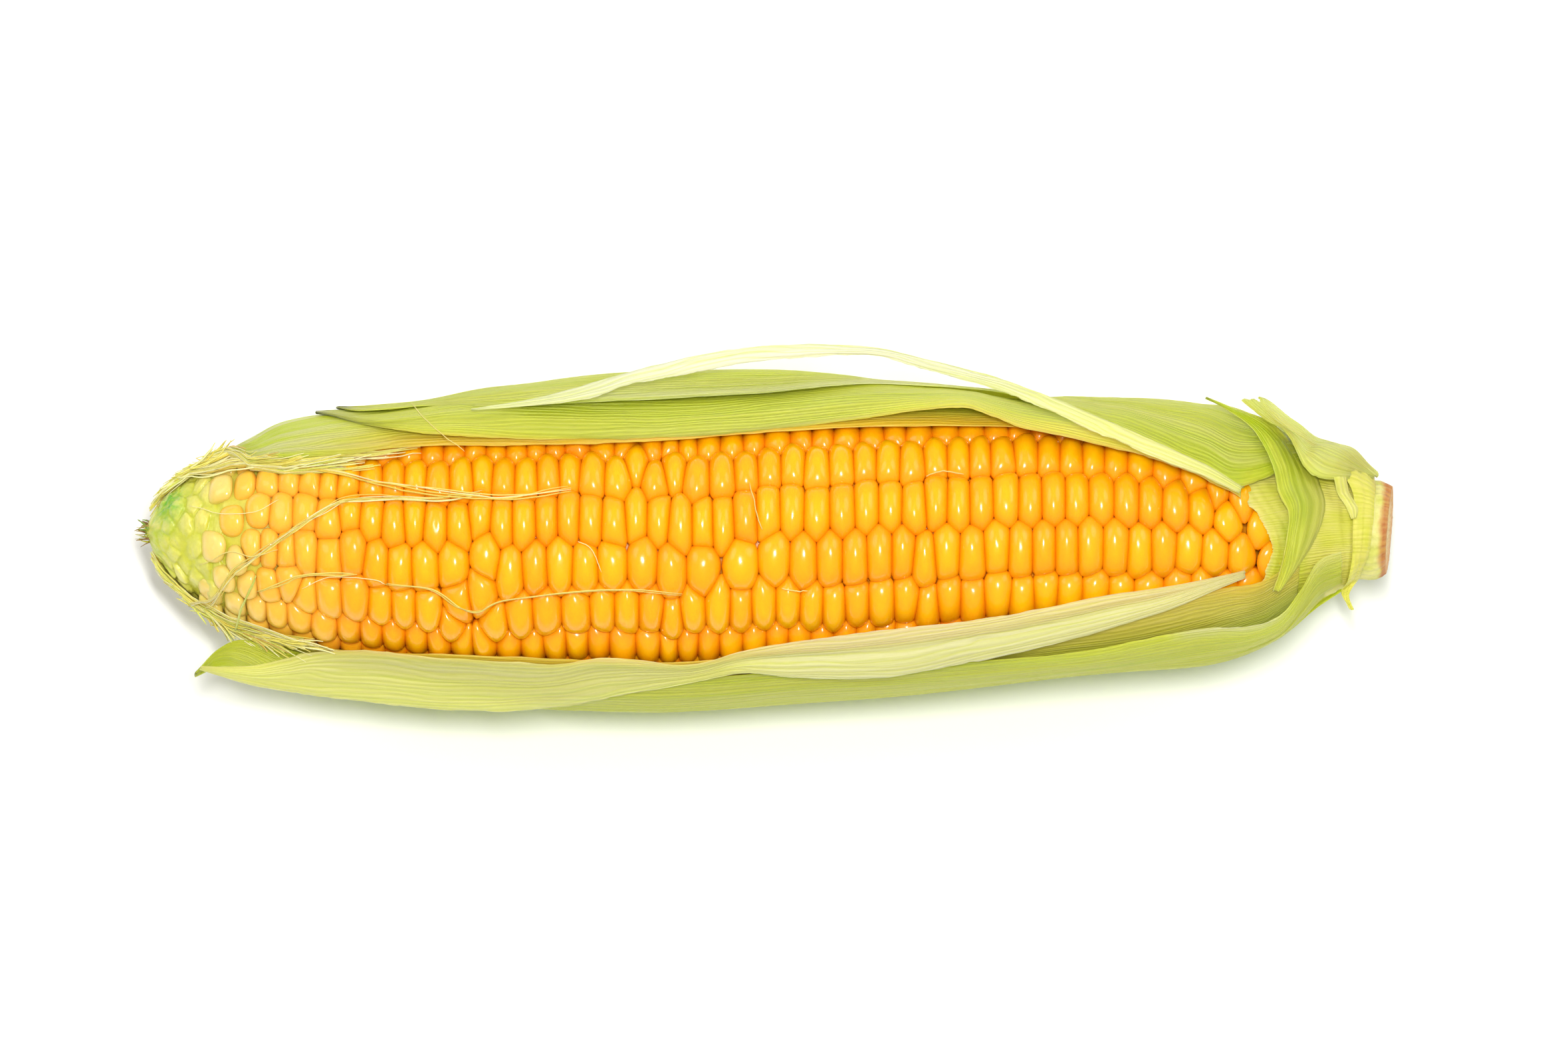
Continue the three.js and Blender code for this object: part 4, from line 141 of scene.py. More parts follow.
LEAVES = {
    "inner_leaf_back": [
        [[-99.5,84.5,15.44],[-99.3,86.8,15.44],[-99.0,89.1,15.85],[-98.8,91.4,15.85],[-98.6,93.7,15.85],[-98.4,96.0,15.85]],
        [[-94.5,55.8,17.6],[-94.7,67.1,18.01],[-94.9,78.3,18.2],[-95.2,89.5,18.06],[-95.4,100.8,17.68],[-95.6,112.0,17.6]],
        [[-87.6,46.1,20.4],[-87.9,64.9,21.22],[-88.3,83.7,21.6],[-88.7,102.4,21.32],[-89.1,121.2,20.55],[-89.4,140.0,20.4]],
        [[-76.6,43.8,22.6],[-77.0,66.7,23.22],[-77.5,89.5,23.5],[-77.9,112.3,23.29],[-78.3,135.2,22.71],[-78.6,158.0,22.6]],
        [[-64.5,45.4,24.2],[-64.9,70.0,24.41],[-65.3,94.5,23.6],[-65.8,119.0,23.6],[-66.1,143.5,23.6],[-66.3,168.0,23.6]],
        [[-47.6,44.8,25.2],[-47.9,69.5,25.41],[-48.2,94.1,25.5],[-48.6,118.7,25.43],[-48.8,143.4,25.24],[-49.0,168.0,25.2]],
        [[-30.7,45.7,25.7],[-30.9,70.2,25.91],[-31.2,94.6,26.0],[-31.4,119.1,25.93],[-31.5,143.5,25.74],[-31.6,168.0,25.7]],
        [[-12.7,48.7,25.8],[-12.7,72.6,26.01],[-12.8,96.4,26.1],[-12.9,120.3,26.03],[-13.0,144.1,25.84],[-13.0,168.0,25.8]],
        [[5.4,51.8,25.8],[5.5,75.0,26.01],[5.5,98.3,26.1],[5.5,121.5,26.03],[5.6,144.8,25.84],[5.6,168.0,25.8]],
        [[23.5,52.4,25.8],[23.7,75.5,26.01],[23.9,98.6,26.1],[24.0,121.8,26.03],[24.1,144.9,25.84],[24.2,168.0,25.8]],
        [[41.6,51.0,25.6],[41.9,74.4,24.65],[42.2,97.8,24.65],[42.4,121.2,24.65],[42.7,144.6,24.65],[42.8,168.0,24.65]],
        [[56.1,46.9,25.0],[56.5,71.1,23.84],[56.8,95.3,23.84],[57.2,119.5,23.76],[57.4,143.8,23.76],[57.6,168.0,23.76]],
        [[68.1,42.2,23.8],[68.5,67.4,24.01],[69.0,92.5,22.77],[69.4,117.7,22.64],[69.7,142.8,22.64],[69.9,168.0,22.64]],
        [[80.1,32.1,22.2],[80.5,59.3,22.41],[81.1,86.5,21.07],[81.6,113.6,21.07],[82.0,140.8,21.07],[82.2,168.0,21.07]],
        [[88.0,25.7,19.4],[88.3,50.6,19.61],[88.8,75.4,19.17],[89.3,100.3,19.17],[89.7,125.1,19.17],[90.0,150.0,19.17]]],
    "middle_leaf_back": [
        [[-82.7,73.4,23.25],[-82.8,77.0,23.34],[-82.9,80.6,23.49],[-83.0,84.2,23.51],[-83.0,87.8,23.59],[-83.1,91.4,23.57]],
        [[-74.1,54.1,26.4],[-74.4,64.1,24.72],[-74.6,74.1,24.16],[-74.8,84.1,24.15],[-75.0,94.0,24.11],[-75.2,104.0,24.06]],
        [[-65.1,44.6,28.4],[-65.5,62.1,26.38],[-65.8,79.6,24.87],[-66.1,97.1,24.21],[-66.4,114.5,24.21],[-66.7,132.0,24.21]],
        [[-55.9,41.8,28.9],[-56.3,65.4,27.43],[-56.7,89.1,26.39],[-57.1,112.7,26.38],[-57.5,136.4,26.36],[-57.7,160.0,26.36]],
        [[-42.6,41.0,28.6],[-42.8,64.8,28.62],[-43.2,88.6,28.62],[-43.5,112.4,27.94],[-43.8,136.2,27.26],[-43.9,160.0,26.92]],
        [[-30.7,43.4,27.6],[-30.9,66.8,28.2],[-31.1,90.1,28.55],[-31.3,113.4,28.0],[-31.5,136.7,27.45],[-31.6,160.0,27.18]],
        [[-20.2,45.0,27.4],[-20.4,68.0,28.01],[-20.5,91.0,28.35],[-20.7,114.0,27.93],[-20.8,137.0,27.52],[-20.8,160.0,27.32]],
        [[-7.3,46.8,27.4],[-7.4,69.4,28.02],[-7.4,92.1,28.33],[-7.5,114.7,27.93],[-7.5,137.4,27.53],[-7.6,160.0,27.34]],
        [[2.4,48.8,27.5],[2.4,71.1,28.14],[2.4,93.3,28.4],[2.5,115.5,27.97],[2.5,137.8,27.54],[2.5,160.0,27.34]],
        [[17.5,50.3,28.6],[17.6,72.3,28.83],[17.7,94.2,28.79],[17.8,116.1,28.2],[17.9,138.1,27.61],[18.0,160.0,27.34]],
        [[27.1,51.2,29.6],[27.3,73.0,28.37],[27.5,94.7,27.67],[27.7,116.5,27.48],[27.8,138.2,27.3],[27.9,160.0,27.21]],
        [[35.5,51.5,30.0],[35.8,73.2,27.71],[36.0,94.9,26.53],[36.3,116.6,26.53],[36.5,138.3,26.53],[36.6,160.0,26.53]],
        [[40.9,47.6,29.2],[41.2,68.1,27.09],[41.5,88.5,25.56],[41.7,109.0,25.56],[41.9,129.5,25.56],[42.1,150.0,25.56]],
        [[46.3,43.9,27.8],[46.6,65.1,26.02],[46.9,86.4,24.9],[47.2,107.6,24.88],[47.5,128.8,24.87],[47.6,150.0,24.88]],
        [[55.9,38.7,27.0],[56.3,60.9,25.1],[56.6,83.2,24.36],[57.0,105.5,24.39],[57.3,127.7,24.26],[57.5,150.0,24.33]],
        [[65.5,33.7,25.8],[65.9,57.0,24.68],[66.3,80.2,24.27],[66.7,103.5,23.56],[67.1,126.7,23.5],[67.4,150.0,23.42]],
        [[73.5,27.8,24.8],[73.8,52.3,24.11],[74.3,76.7,23.47],[74.8,101.1,22.59],[75.2,125.6,22.52],[75.5,150.0,22.52]],
        [[79.5,22.2,23.6],[79.8,47.7,23.26],[80.3,73.3,22.67],[80.8,98.9,21.94],[81.3,124.4,21.94],[81.7,150.0,21.94]],
        [[86.0,15.0,21.2],[86.3,41.2,21.16],[86.8,67.4,20.93],[87.3,93.6,20.77],[87.8,119.8,20.77],[88.2,146.0,20.77]]],
    "outer_leaf_back": [
        [[-79.1,81.4,24.37],[-79.2,84.2,24.38],[-79.2,87.0,24.38],[-79.3,89.8,24.41],[-79.4,92.6,24.41],[-79.4,95.4,24.41]],
        [[-74.6,73.9,24.83],[-74.7,79.9,24.67],[-74.8,85.9,24.67],[-74.9,91.9,24.65],[-75.1,98.0,24.63],[-75.2,104.0,24.6]],
        [[-62.4,65.0,27.51],[-62.6,79.6,26.32],[-62.9,94.2,25.91],[-63.2,108.8,25.91],[-63.4,123.4,25.91],[-63.6,138.0,25.91]],
        [[-52.5,60.3,28.72],[-52.8,79.2,28.22],[-53.1,98.2,28.15],[-53.4,117.1,28.14],[-53.7,136.1,28.12],[-53.8,155.0,28.12]],
        [[-42.7,58.1,29.74],[-43.0,80.5,29.6],[-43.4,102.9,29.3],[-43.7,125.2,28.88],[-43.9,147.6,28.46],[-44.0,170.0,28.42]],
        [[-33.2,55.5,31.24],[-33.4,78.4,31.1],[-33.7,101.3,30.59],[-33.9,124.2,29.68],[-34.1,147.1,28.76],[-34.2,170.0,28.65]],
        [[-20.2,55.5,32.14],[-20.4,78.4,32.01],[-20.6,101.3,31.35],[-20.7,124.2,30.16],[-20.8,147.1,28.97],[-20.9,170.0,28.82]],
        [[-0.8,58.7,31.98],[-0.9,81.0,31.83],[-0.9,103.2,31.13],[-0.9,125.5,30.04],[-0.9,147.7,28.95],[-0.9,170.0,28.84]],
        [[11.5,66.7,30.87],[11.6,87.4,30.69],[11.7,108.0,30.12],[11.7,128.7,29.49],[11.8,149.3,28.86],[11.8,170.0,28.84]],
        [[20.0,74.4,29.74],[20.2,93.6,29.5],[20.3,112.7,29.26],[20.4,131.8,29.03],[20.5,150.9,28.81],[20.5,170.0,28.81]],
        [[32.2,76.2,28.68],[32.4,94.9,28.03],[32.6,113.7,28.03],[32.7,132.5,28.03],[32.9,151.2,28.03],[32.9,170.0,28.03]],
        [[41.9,75.8,27.34],[42.2,94.7,26.35],[42.4,113.5,26.35],[42.6,132.3,26.35],[42.7,151.2,26.35],[42.8,170.0,26.35]],
        [[49.1,65.2,26.5],[49.4,86.2,25.31],[49.7,107.1,25.27],[49.9,128.1,25.29],[50.1,149.0,25.23],[50.2,170.0,25.08]],
        [[55.3,56.6,26.26],[55.6,79.3,25.12],[55.9,101.9,25.02],[56.3,124.6,24.87],[56.5,147.3,24.93],[56.6,170.0,24.4]],
        [[60.3,47.0,26.5],[60.7,71.6,25.07],[61.1,96.2,24.67],[61.5,120.8,24.55],[61.8,145.4,24.53],[62.0,170.0,24.1]],
        [[65.7,41.3,26.18],[66.1,67.0,25.08],[66.5,92.8,24.5],[67.0,118.5,24.12],[67.3,144.3,24.02],[67.5,170.0,23.59]],
        [[72.8,32.6,25.52],[73.2,60.1,24.6],[73.8,87.6,23.94],[74.3,115.0,23.15],[74.7,142.5,23.19],[74.9,170.0,23.15]],
        [[79.4,25.3,24.34],[79.8,54.3,23.98],[80.4,83.2,23.14],[81.0,112.1,22.86],[81.5,141.1,22.86],[81.7,170.0,22.86]],
        [[84.8,19.3,22.61],[85.2,49.5,22.32],[85.8,79.6,22.23],[86.4,109.7,22.2],[87.0,139.9,22.2],[87.3,170.0,22.2]],
        [[91.6,20.2,19.48],[91.9,48.1,19.76],[92.4,76.1,19.32],[93.0,104.1,19.28],[93.5,132.0,19.28],[93.8,160.0,19.28]],
        [[97.9,22.7,16.16],[98.2,50.1,15.81],[98.6,77.6,16.01],[99.1,105.1,16.1],[99.5,132.5,16.1],[99.8,160.0,16.1]],
        [[104.2,22.4,12.47],[104.4,49.9,11.63],[104.7,77.4,11.85],[105.1,105.0,11.96],[105.5,132.5,11.96],[105.7,160.0,11.96]]],
    "torn_leaf_strip": [
        [[-55.0,58.5,29.11],[-54.7,55.9,29.19],[-54.4,53.9,29.18]],
        [[-42.9,60.7,30.38],[-42.7,57.9,30.45],[-42.4,55.3,30.54]],
        [[-33.2,65.3,32.27],[-33.0,60.6,31.92],[-32.7,55.5,31.96]],
        [[-25.5,66.9,34.46],[-25.7,63.6,33.82],[-26.0,61.6,32.82]],
        [[-20.3,67.9,35.87],[-19.5,65.0,34.97],[-18.7,63.6,33.72]],
        [[-12.6,68.8,37.32],[-12.3,66.3,36.19],[-12.1,65.1,34.71]],
        [[-4.1,69.5,38.49],[-3.9,67.3,37.26],[-3.6,66.6,35.69]],
        [[5.6,68.9,38.97],[5.8,67.0,37.9],[6.0,66.4,36.48]],
        [[15.1,68.0,38.63],[15.4,66.3,37.95],[15.7,66.0,36.91]],
        [[21.6,66.4,38.03],[21.1,64.8,37.64],[20.5,64.6,36.86]],
        [[28.0,64.2,36.78],[26.8,62.3,36.54],[25.6,61.7,35.87]],
        [[34.5,61.5,35.68],[33.2,59.3,35.5],[31.9,58.5,34.85]],
        [[40.9,58.0,34.7],[39.6,55.5,34.62],[38.3,54.4,34.03]],
        [[47.3,53.3,33.46],[46.0,50.6,33.58],[44.7,49.3,33.11]],
        [[53.6,47.6,32.65],[52.3,44.8,32.84],[51.0,43.2,32.37]],
        [[60.0,41.6,31.85],[58.8,38.4,32.16],[57.6,36.3,31.76]],
        [[65.4,37.3,30.92],[64.1,34.0,31.36],[62.9,31.8,31.06]],
        [[72.6,31.7,29.14],[71.4,28.4,29.67],[70.4,26.1,29.4]],
        [[79.8,26.1,26.72],[78.9,23.3,27.33],[78.0,21.4,27.06]],
        [[86.2,20.1,23.0],[85.9,17.3,23.67],[85.7,15.4,23.44]]],
    "inner_leaf_front": [
        [[-103.9,-90.0,13.95],[-103.9,-90.4,13.13],[-104.0,-90.8,13.13],[-104.0,-91.2,13.13],[-104.0,-91.6,13.13],[-104.0,-92.0,13.13]],
        [[-98.8,-90.0,16.05],[-98.9,-96.0,16.05],[-99.0,-102.0,16.14],[-99.1,-108.0,16.14],[-99.2,-114.0,16.05],[-99.3,-120.0,15.9]],
        [[-91.9,-78.0,18.8],[-92.1,-91.4,18.95],[-92.4,-104.8,19.04],[-92.7,-118.2,19.04],[-92.9,-131.6,18.95],[-93.1,-145.0,18.8]],
        [[-83.1,-68.7,20.9],[-83.5,-88.5,21.05],[-83.9,-108.4,21.14],[-84.3,-128.3,21.14],[-84.6,-148.1,21.05],[-84.7,-168.0,20.9]],
        [[-72.1,-61.0,22.9],[-72.4,-82.4,23.05],[-72.9,-103.8,23.14],[-73.2,-125.2,23.14],[-73.5,-146.6,23.05],[-73.7,-168.0,22.9]],
        [[-55.0,-54.9,24.6],[-55.3,-77.6,24.75],[-55.7,-100.2,24.84],[-56.0,-122.8,24.84],[-56.3,-145.4,24.75],[-56.4,-168.0,24.6]],
        [[-36.8,-53.6,25.5],[-37.1,-76.5,25.65],[-37.3,-99.4,25.74],[-37.6,-122.2,25.74],[-37.7,-145.1,25.65],[-37.8,-168.0,25.5]],
        [[-18.7,-54.5,25.8],[-18.8,-77.2,25.95],[-19.0,-99.9,26.04],[-19.1,-122.6,26.04],[-19.2,-145.3,25.95],[-19.2,-168.0,25.8]],
        [[-0.6,-51.2,25.8],[-0.6,-74.6,25.95],[-0.6,-97.9,26.04],[-0.6,-121.3,26.04],[-0.6,-144.6,25.95],[-0.6,-168.0,25.8]],
        [[17.5,-46.4,25.7],[17.6,-70.7,25.85],[17.7,-95.0,25.94],[17.8,-119.3,25.94],[17.9,-143.7,25.85],[18.0,-168.0,25.7]],
        [[35.5,-41.2,25.6],[35.7,-66.6,25.75],[36.0,-91.9,25.84],[36.3,-117.3,25.84],[36.5,-142.6,25.75],[36.6,-168.0,25.6]],
        [[53.6,-36.0,24.8],[53.9,-62.4,24.95],[54.3,-88.8,25.04],[54.7,-115.2,25.04],[55.0,-141.6,24.95],[55.2,-168.0,24.8]],
        [[68.0,-32.2,23.6],[68.4,-59.3,23.75],[68.9,-86.5,23.84],[69.4,-113.7,23.84],[69.8,-140.8,23.75],[70.0,-168.0,23.6]],
        [[77.7,-29.8,22.2],[78.1,-57.4,22.35],[78.6,-85.1,22.44],[79.1,-112.7,22.44],[79.6,-140.4,22.35],[79.8,-168.0,22.2]],
        [[85.0,-28.8,20.6],[85.3,-53.0,20.75],[85.7,-77.3,20.84],[86.2,-101.5,20.84],[86.7,-125.8,20.75],[87.0,-150.0,20.6]],
        [[89.7,-29.2,18.6],[90.0,-53.4,18.75],[90.4,-77.5,18.84],[90.9,-101.7,18.84],[91.3,-125.8,18.75],[91.6,-150.0,18.6]]],
    "middle_leaf_front": [
        [[-103.9,-74.8,24.76],[-103.8,-73.0,25.18],[-103.8,-73.4,25.35],[-103.9,-75.8,25.28]],
        [[-100.2,-75.3,24.38],[-100.1,-74.1,25.13],[-100.1,-75.1,25.65],[-100.2,-78.0,25.98]],
        [[-93.6,-73.1,24.06],[-93.5,-74.4,25.32],[-93.4,-77.6,26.41],[-93.3,-82.5,27.43]],
        [[-88.0,-69.6,22.96],[-87.6,-73.0,24.76],[-87.3,-78.1,26.5],[-87.1,-84.3,28.27]],
        [[-82.5,-65.9,22.08],[-82.3,-71.3,24.29],[-82.2,-78.0,26.56],[-82.2,-85.2,28.98]],
        [[-72.1,-57.0,23.45],[-72.1,-70.0,24.46],[-72.1,-77.4,27.06],[-72.2,-85.0,29.87]],
        [[-62.0,-57.1,24.64],[-61.8,-70.0,25.47],[-61.6,-77.2,28.01],[-61.5,-84.8,30.75]],
        [[-49.7,-55.5,25.55],[-49.7,-67.4,26.3],[-49.8,-76.2,28.44],[-49.9,-83.7,31.08]],
        [[-39.0,-55.5,26.04],[-38.7,-64.5,26.76],[-38.5,-71.5,28.43],[-38.3,-81.0,30.07]],
        [[-30.8,-50.1,26.2],[-30.7,-60.0,26.28],[-30.5,-66.3,27.85],[-30.3,-73.5,29.41]],
        [[-23.7,-50.8,26.31],[-23.7,-58.6,26.37],[-23.6,-64.4,27.38],[-23.6,-69.9,28.6]],
        [[-14.0,-54.3,26.37],[-13.8,-58.5,26.47],[-13.5,-61.4,27.07],[-13.3,-63.6,27.85]],
        [[-5.2,-47.0,26.37],[-5.0,-51.6,26.37],[-4.9,-55.0,27.01],[-4.7,-58.2,27.69]],
        [[3.6,-44.3,25.45],[3.8,-49.0,26.49],[4.0,-54.2,27.47],[4.2,-59.6,28.42]],
        [[14.2,-39.5,26.19],[14.3,-46.0,27.05],[14.4,-53.0,28.02],[14.5,-59.9,29.11]],
        [[24.8,-35.9,26.66],[24.8,-43.0,27.32],[24.8,-50.6,28.13],[24.9,-58.1,29.15]],
        [[34.3,-33.9,26.73],[34.3,-40.2,27.21],[34.3,-47.1,27.74],[34.4,-54.2,28.39]],
        [[40.0,-32.7,26.62],[40.2,-38.7,27.12],[40.4,-45.2,27.62],[40.6,-51.9,28.18]],
        [[50.6,-29.7,26.02],[50.8,-35.0,26.58],[51.0,-40.8,27.06],[51.2,-46.8,27.48]],
        [[61.2,-26.3,24.98],[61.3,-30.8,25.67],[61.5,-35.9,26.18],[61.8,-41.1,26.55]],
        [[71.8,-25.2,23.22],[72.0,-28.2,23.95],[72.3,-31.7,24.4],[72.6,-35.5,24.56]],
        [[80.7,-23.5,21.16],[80.9,-25.1,21.75],[81.1,-26.6,22.32],[81.3,-28.9,22.25]],
        [[86.8,-21.7,19.37],[86.9,-22.9,19.5],[87.0,-24.2,19.62],[87.1,-25.5,19.71]]],
    "outer_leaf_front": [
        [[-105.2,-86.4,25.61],[-105.2,-87.9,25.73],[-105.3,-89.4,25.86],[-105.3,-91.0,25.91],[-105.4,-92.5,25.91],[-105.4,-94.0,25.91]],
        [[-100.4,-80.4,20.49],[-100.5,-85.2,22.06],[-100.6,-89.9,23.62],[-100.8,-94.6,23.33],[-100.9,-99.3,22.98],[-101.0,-104.0,22.63]],
        [[-95.5,-76.0,19.04],[-95.7,-85.6,22.88],[-95.9,-95.2,24.33],[-96.2,-104.8,23.78],[-96.4,-114.4,23.22],[-96.6,-124.0,22.66]],
        [[-88.2,-77.7,21.57],[-88.5,-92.2,26.51],[-88.9,-106.6,25.73],[-89.2,-121.1,24.94],[-89.5,-135.5,24.16],[-89.6,-150.0,23.37]],
        [[-82.7,-76.8,22.76],[-83.1,-95.4,27.44],[-83.6,-114.1,26.48],[-83.9,-132.7,25.52],[-84.2,-151.4,24.63],[-84.3,-170.0,24.63]],
        [[-72.3,-74.6,23.53],[-72.7,-93.7,28.11],[-73.1,-112.8,27.52],[-73.5,-131.8,26.94],[-73.7,-150.9,26.38],[-73.8,-170.0,26.38]],
        [[-61.3,-73.5,24.69],[-61.7,-92.8,29.14],[-62.1,-112.1,28.59],[-62.4,-131.4,28.04],[-62.6,-150.7,27.51],[-62.7,-170.0,27.51]],
        [[-49.8,-71.7,25.64],[-50.0,-91.4,29.71],[-50.4,-111.0,29.21],[-50.6,-130.7,28.7],[-50.8,-150.3,28.21],[-50.9,-170.0,28.21]],
        [[-30.9,-65.2,26.27],[-31.1,-86.2,30.03],[-31.3,-107.1,30.27],[-31.5,-128.1,29.49],[-31.6,-149.0,28.72],[-31.7,-170.0,28.68]],
        [[-13.3,-64.3,26.41],[-13.4,-85.5,29.81],[-13.5,-106.6,30.23],[-13.6,-127.7,29.55],[-13.6,-148.9,28.88],[-13.7,-170.0,28.84]],
        [[4.2,-60.7,26.37],[4.3,-82.6,28.82],[4.3,-104.4,29.61],[4.3,-126.3,29.24],[4.3,-148.1,28.88],[4.4,-170.0,28.84]],
        [[21.2,-59.8,26.62],[21.3,-81.8,28.3],[21.4,-103.9,28.9],[21.6,-125.9,28.85],[21.7,-148.0,28.8],[21.8,-170.0,28.8]],
        [[35.6,-56.9,26.71],[35.9,-79.5,27.38],[36.1,-102.1,27.69],[36.4,-124.7,27.69],[36.5,-147.4,27.69],[36.6,-170.0,27.69]],
        [[50.8,-54.7,26.66],[51.2,-77.8,26.38],[51.5,-100.8,26.23],[51.9,-123.9,26.23],[52.1,-146.9,26.23],[52.2,-170.0,26.23]],
        [[59.6,-52.1,26.38],[60.0,-75.7,25.85],[60.4,-99.3,25.53],[60.8,-122.8,25.53],[61.1,-146.4,25.53],[61.3,-170.0,25.53]],
        [[68.5,-49.6,25.28],[69.0,-73.6,25.21],[69.5,-97.7,25.16],[69.9,-121.8,25.16],[70.3,-145.9,25.16],[70.4,-170.0,25.16]],
        [[75.5,-48.2,24.29],[76.0,-72.5,24.69],[76.5,-96.9,24.98],[77.0,-121.3,24.98],[77.4,-145.6,24.98],[77.6,-170.0,24.98]],
        [[81.5,-48.7,23.34],[82.0,-73.0,23.89],[82.5,-97.2,24.28],[83.0,-121.5,24.28],[83.5,-145.7,24.28],[83.7,-170.0,24.28]],
        [[87.6,-51.4,22.14],[88.1,-75.2,22.25],[88.7,-98.9,22.33],[89.2,-122.6,22.33],[89.5,-146.3,22.33],[89.7,-170.0,22.33]],
        [[93.2,-50.7,19.89],[93.6,-74.5,19.66],[94.1,-98.4,19.52],[94.6,-122.3,19.52],[95.0,-146.1,19.52],[95.1,-170.0,19.52]],
        [[97.1,-38.6,16.89],[97.4,-60.9,16.55],[97.8,-83.2,16.21],[98.2,-105.4,16.1],[98.6,-127.7,16.1],[98.9,-150.0,16.1]],
        [[100.3,-21.0,14.89],[100.6,-46.8,13.98],[101.0,-72.6,13.06],[101.4,-98.4,12.44],[101.7,-124.2,12.44],[102.0,-150.0,12.44]],
        [[104.7,-16.5,12.83],[104.9,-43.2,11.86],[105.3,-69.9,10.07],[105.6,-96.6,9.11],[105.9,-123.3,9.11],[106.1,-150.0,9.11]]],
    "bottom_leaf": [
        [[-98.3,176.0,20.1],[-98.3,180.0,20.1],[-98.3,184.0,20.1],[-98.3,188.0,20.1],[-98.3,192.0,20.1],[-98.2,196.0,20.1],[-98.2,200.0,20.1]],
        [[-88.5,154.0,24.4],[-88.6,165.3,24.4],[-88.6,176.7,24.4],[-88.6,188.0,24.4],[-88.6,199.3,24.4],[-88.5,210.7,24.65],[-88.3,222.0,25.21]],
        [[-73.6,140.0,28.0],[-73.8,156.0,28.0],[-73.9,172.0,28.0],[-73.9,188.0,28.0],[-73.8,204.0,28.0],[-73.6,220.0,28.0],[-73.3,236.0,28.0]],
        [[-53.8,134.0,30.4],[-54.0,152.0,30.4],[-54.1,170.0,30.4],[-54.1,188.0,30.4],[-54.0,206.0,30.4],[-53.8,224.0,30.4],[-53.6,242.0,30.4]],
        [[-31.5,132.0,31.2],[-31.7,150.7,31.2],[-31.7,169.3,31.2],[-31.8,188.0,31.2],[-31.7,206.7,31.2],[-31.6,225.3,31.2],[-31.4,244.0,31.2]],
        [[-6.8,132.0,31.4],[-6.8,150.7,31.4],[-6.8,169.3,31.4],[-6.8,188.0,31.4],[-6.8,206.7,31.4],[-6.8,225.3,31.4],[-6.8,244.0,31.4]],
        [[17.9,132.0,31.0],[18.0,150.7,31.0],[18.0,169.3,31.0],[18.1,188.0,31.0],[18.0,206.7,31.0],[17.9,225.3,31.0],[17.9,244.0,31.0]],
        [[42.7,132.0,30.2],[42.8,150.7,30.2],[42.9,169.3,30.2],[42.9,188.0,30.2],[42.8,206.7,30.2],[42.7,225.3,30.2],[42.5,244.0,30.2]],
        [[61.2,132.0,28.6],[61.4,150.7,28.6],[61.5,169.3,28.6],[61.5,188.0,28.6],[61.4,206.7,28.6],[61.2,225.3,28.6],[60.9,244.0,28.6]],
        [[77.1,130.0,27.2],[77.4,149.3,27.2],[77.6,168.7,27.2],[77.6,188.0,27.2],[77.5,207.3,27.2],[77.2,226.7,27.2],[76.8,246.0,27.2]],
        [[86.9,128.0,25.0],[87.2,148.0,25.0],[87.4,168.0,25.0],[87.4,188.0,25.0],[87.3,208.0,25.0],[87.0,228.0,25.0],[86.5,248.0,25.0]],
        [[94.7,124.0,20.6],[95.0,145.3,20.6],[95.2,166.7,20.6],[95.2,188.0,20.89],[95.1,209.3,20.89],[94.8,230.7,20.68],[94.3,252.0,21.09]],
        [[101.3,128.0,16.6],[101.5,148.0,16.06],[101.7,168.0,15.4],[101.7,188.0,15.4],[101.6,208.0,15.4],[101.3,228.0,15.57],[101.0,248.0,15.4]],
        [[106.3,128.0,13.06],[106.5,148.0,13.06],[106.6,168.0,11.6],[106.6,188.0,11.6],[106.5,208.0,11.6],[106.3,228.0,11.6],[106.1,248.0,11.6]]],
    "base_sheath": [
        [[88.1,46,20.74],[94.4,46,16.96],[100.9,46,13.03],[107.3,46,9.32]],
        [[88.5,34,20.62],[94.6,34,16.78],[101.0,34,12.92],[107.2,34,9.32]],
        [[89.6,18,18.91],[95.3,18,16.28],[101.3,18,12.66],[107.1,18,9.32]],
        [[90.7,2,18.24],[96.1,2,15.78],[101.6,2,12.39],[107.1,2,9.32]],
        [[90.8,-12,18.24],[96.1,-12,15.78],[101.7,-12,12.39],[107.1,-12,9.32]],
        [[90.1,-26,19.55],[95.7,-26,16.08],[101.5,-26,12.55],[107.1,-26,9.32]],
        [[89.5,-40,19.77],[95.3,-40,16.38],[101.3,-40,12.71],[107.2,-40,9.32]]],
    "torn_band": [
        [[79.2,56.3,29.03],[79.3,56.1,29.17],[79.6,57.2,28.91]],
        [[83.9,53.9,26.87],[84.3,55.0,26.79],[84.7,57.6,26.31]],
        [[87.8,51.5,24.04],[89.4,55.6,23.28],[91.0,62.8,22.06]],
        [[89.9,42.2,22.6],[92.3,51.4,21.18],[94.8,68.0,19.36]],
        [[91.7,31.5,21.16],[94.1,39.2,19.75],[96.5,51.0,18.09]],
        [[92.4,19.7,20.62],[95.1,26.6,19.13],[97.8,36.6,17.3]],
        [[94.3,10.0,19.18],[96.5,14.4,17.83],[98.7,20.1,16.66]],
        [[94.1,-2.6,19.36],[95.9,-1.8,18.19],[97.8,-0.9,16.62]],
        [[93.1,-18.3,20.08],[94.5,-19.1,19.29],[95.9,-20.4,18.09]],
        [[91.5,-32.6,21.34],[92.4,-34.1,20.91],[93.3,-36.6,20.08]]],
    "folded_stub_leaf": [
        [[89.2,62.4,27.6],[89.2,59.4,27.5],[87.4,55.2,29.35],[85.6,51.1,30.6]],
        [[94.1,81.7,22.2],[94.1,59.7,22.0],[92.4,55.3,24.2],[90.6,50.8,25.8]],
        [[97.6,81.5,19.6],[97.6,59.5,19.4],[95.9,56.5,21.1],[94.3,53.6,22.2]],
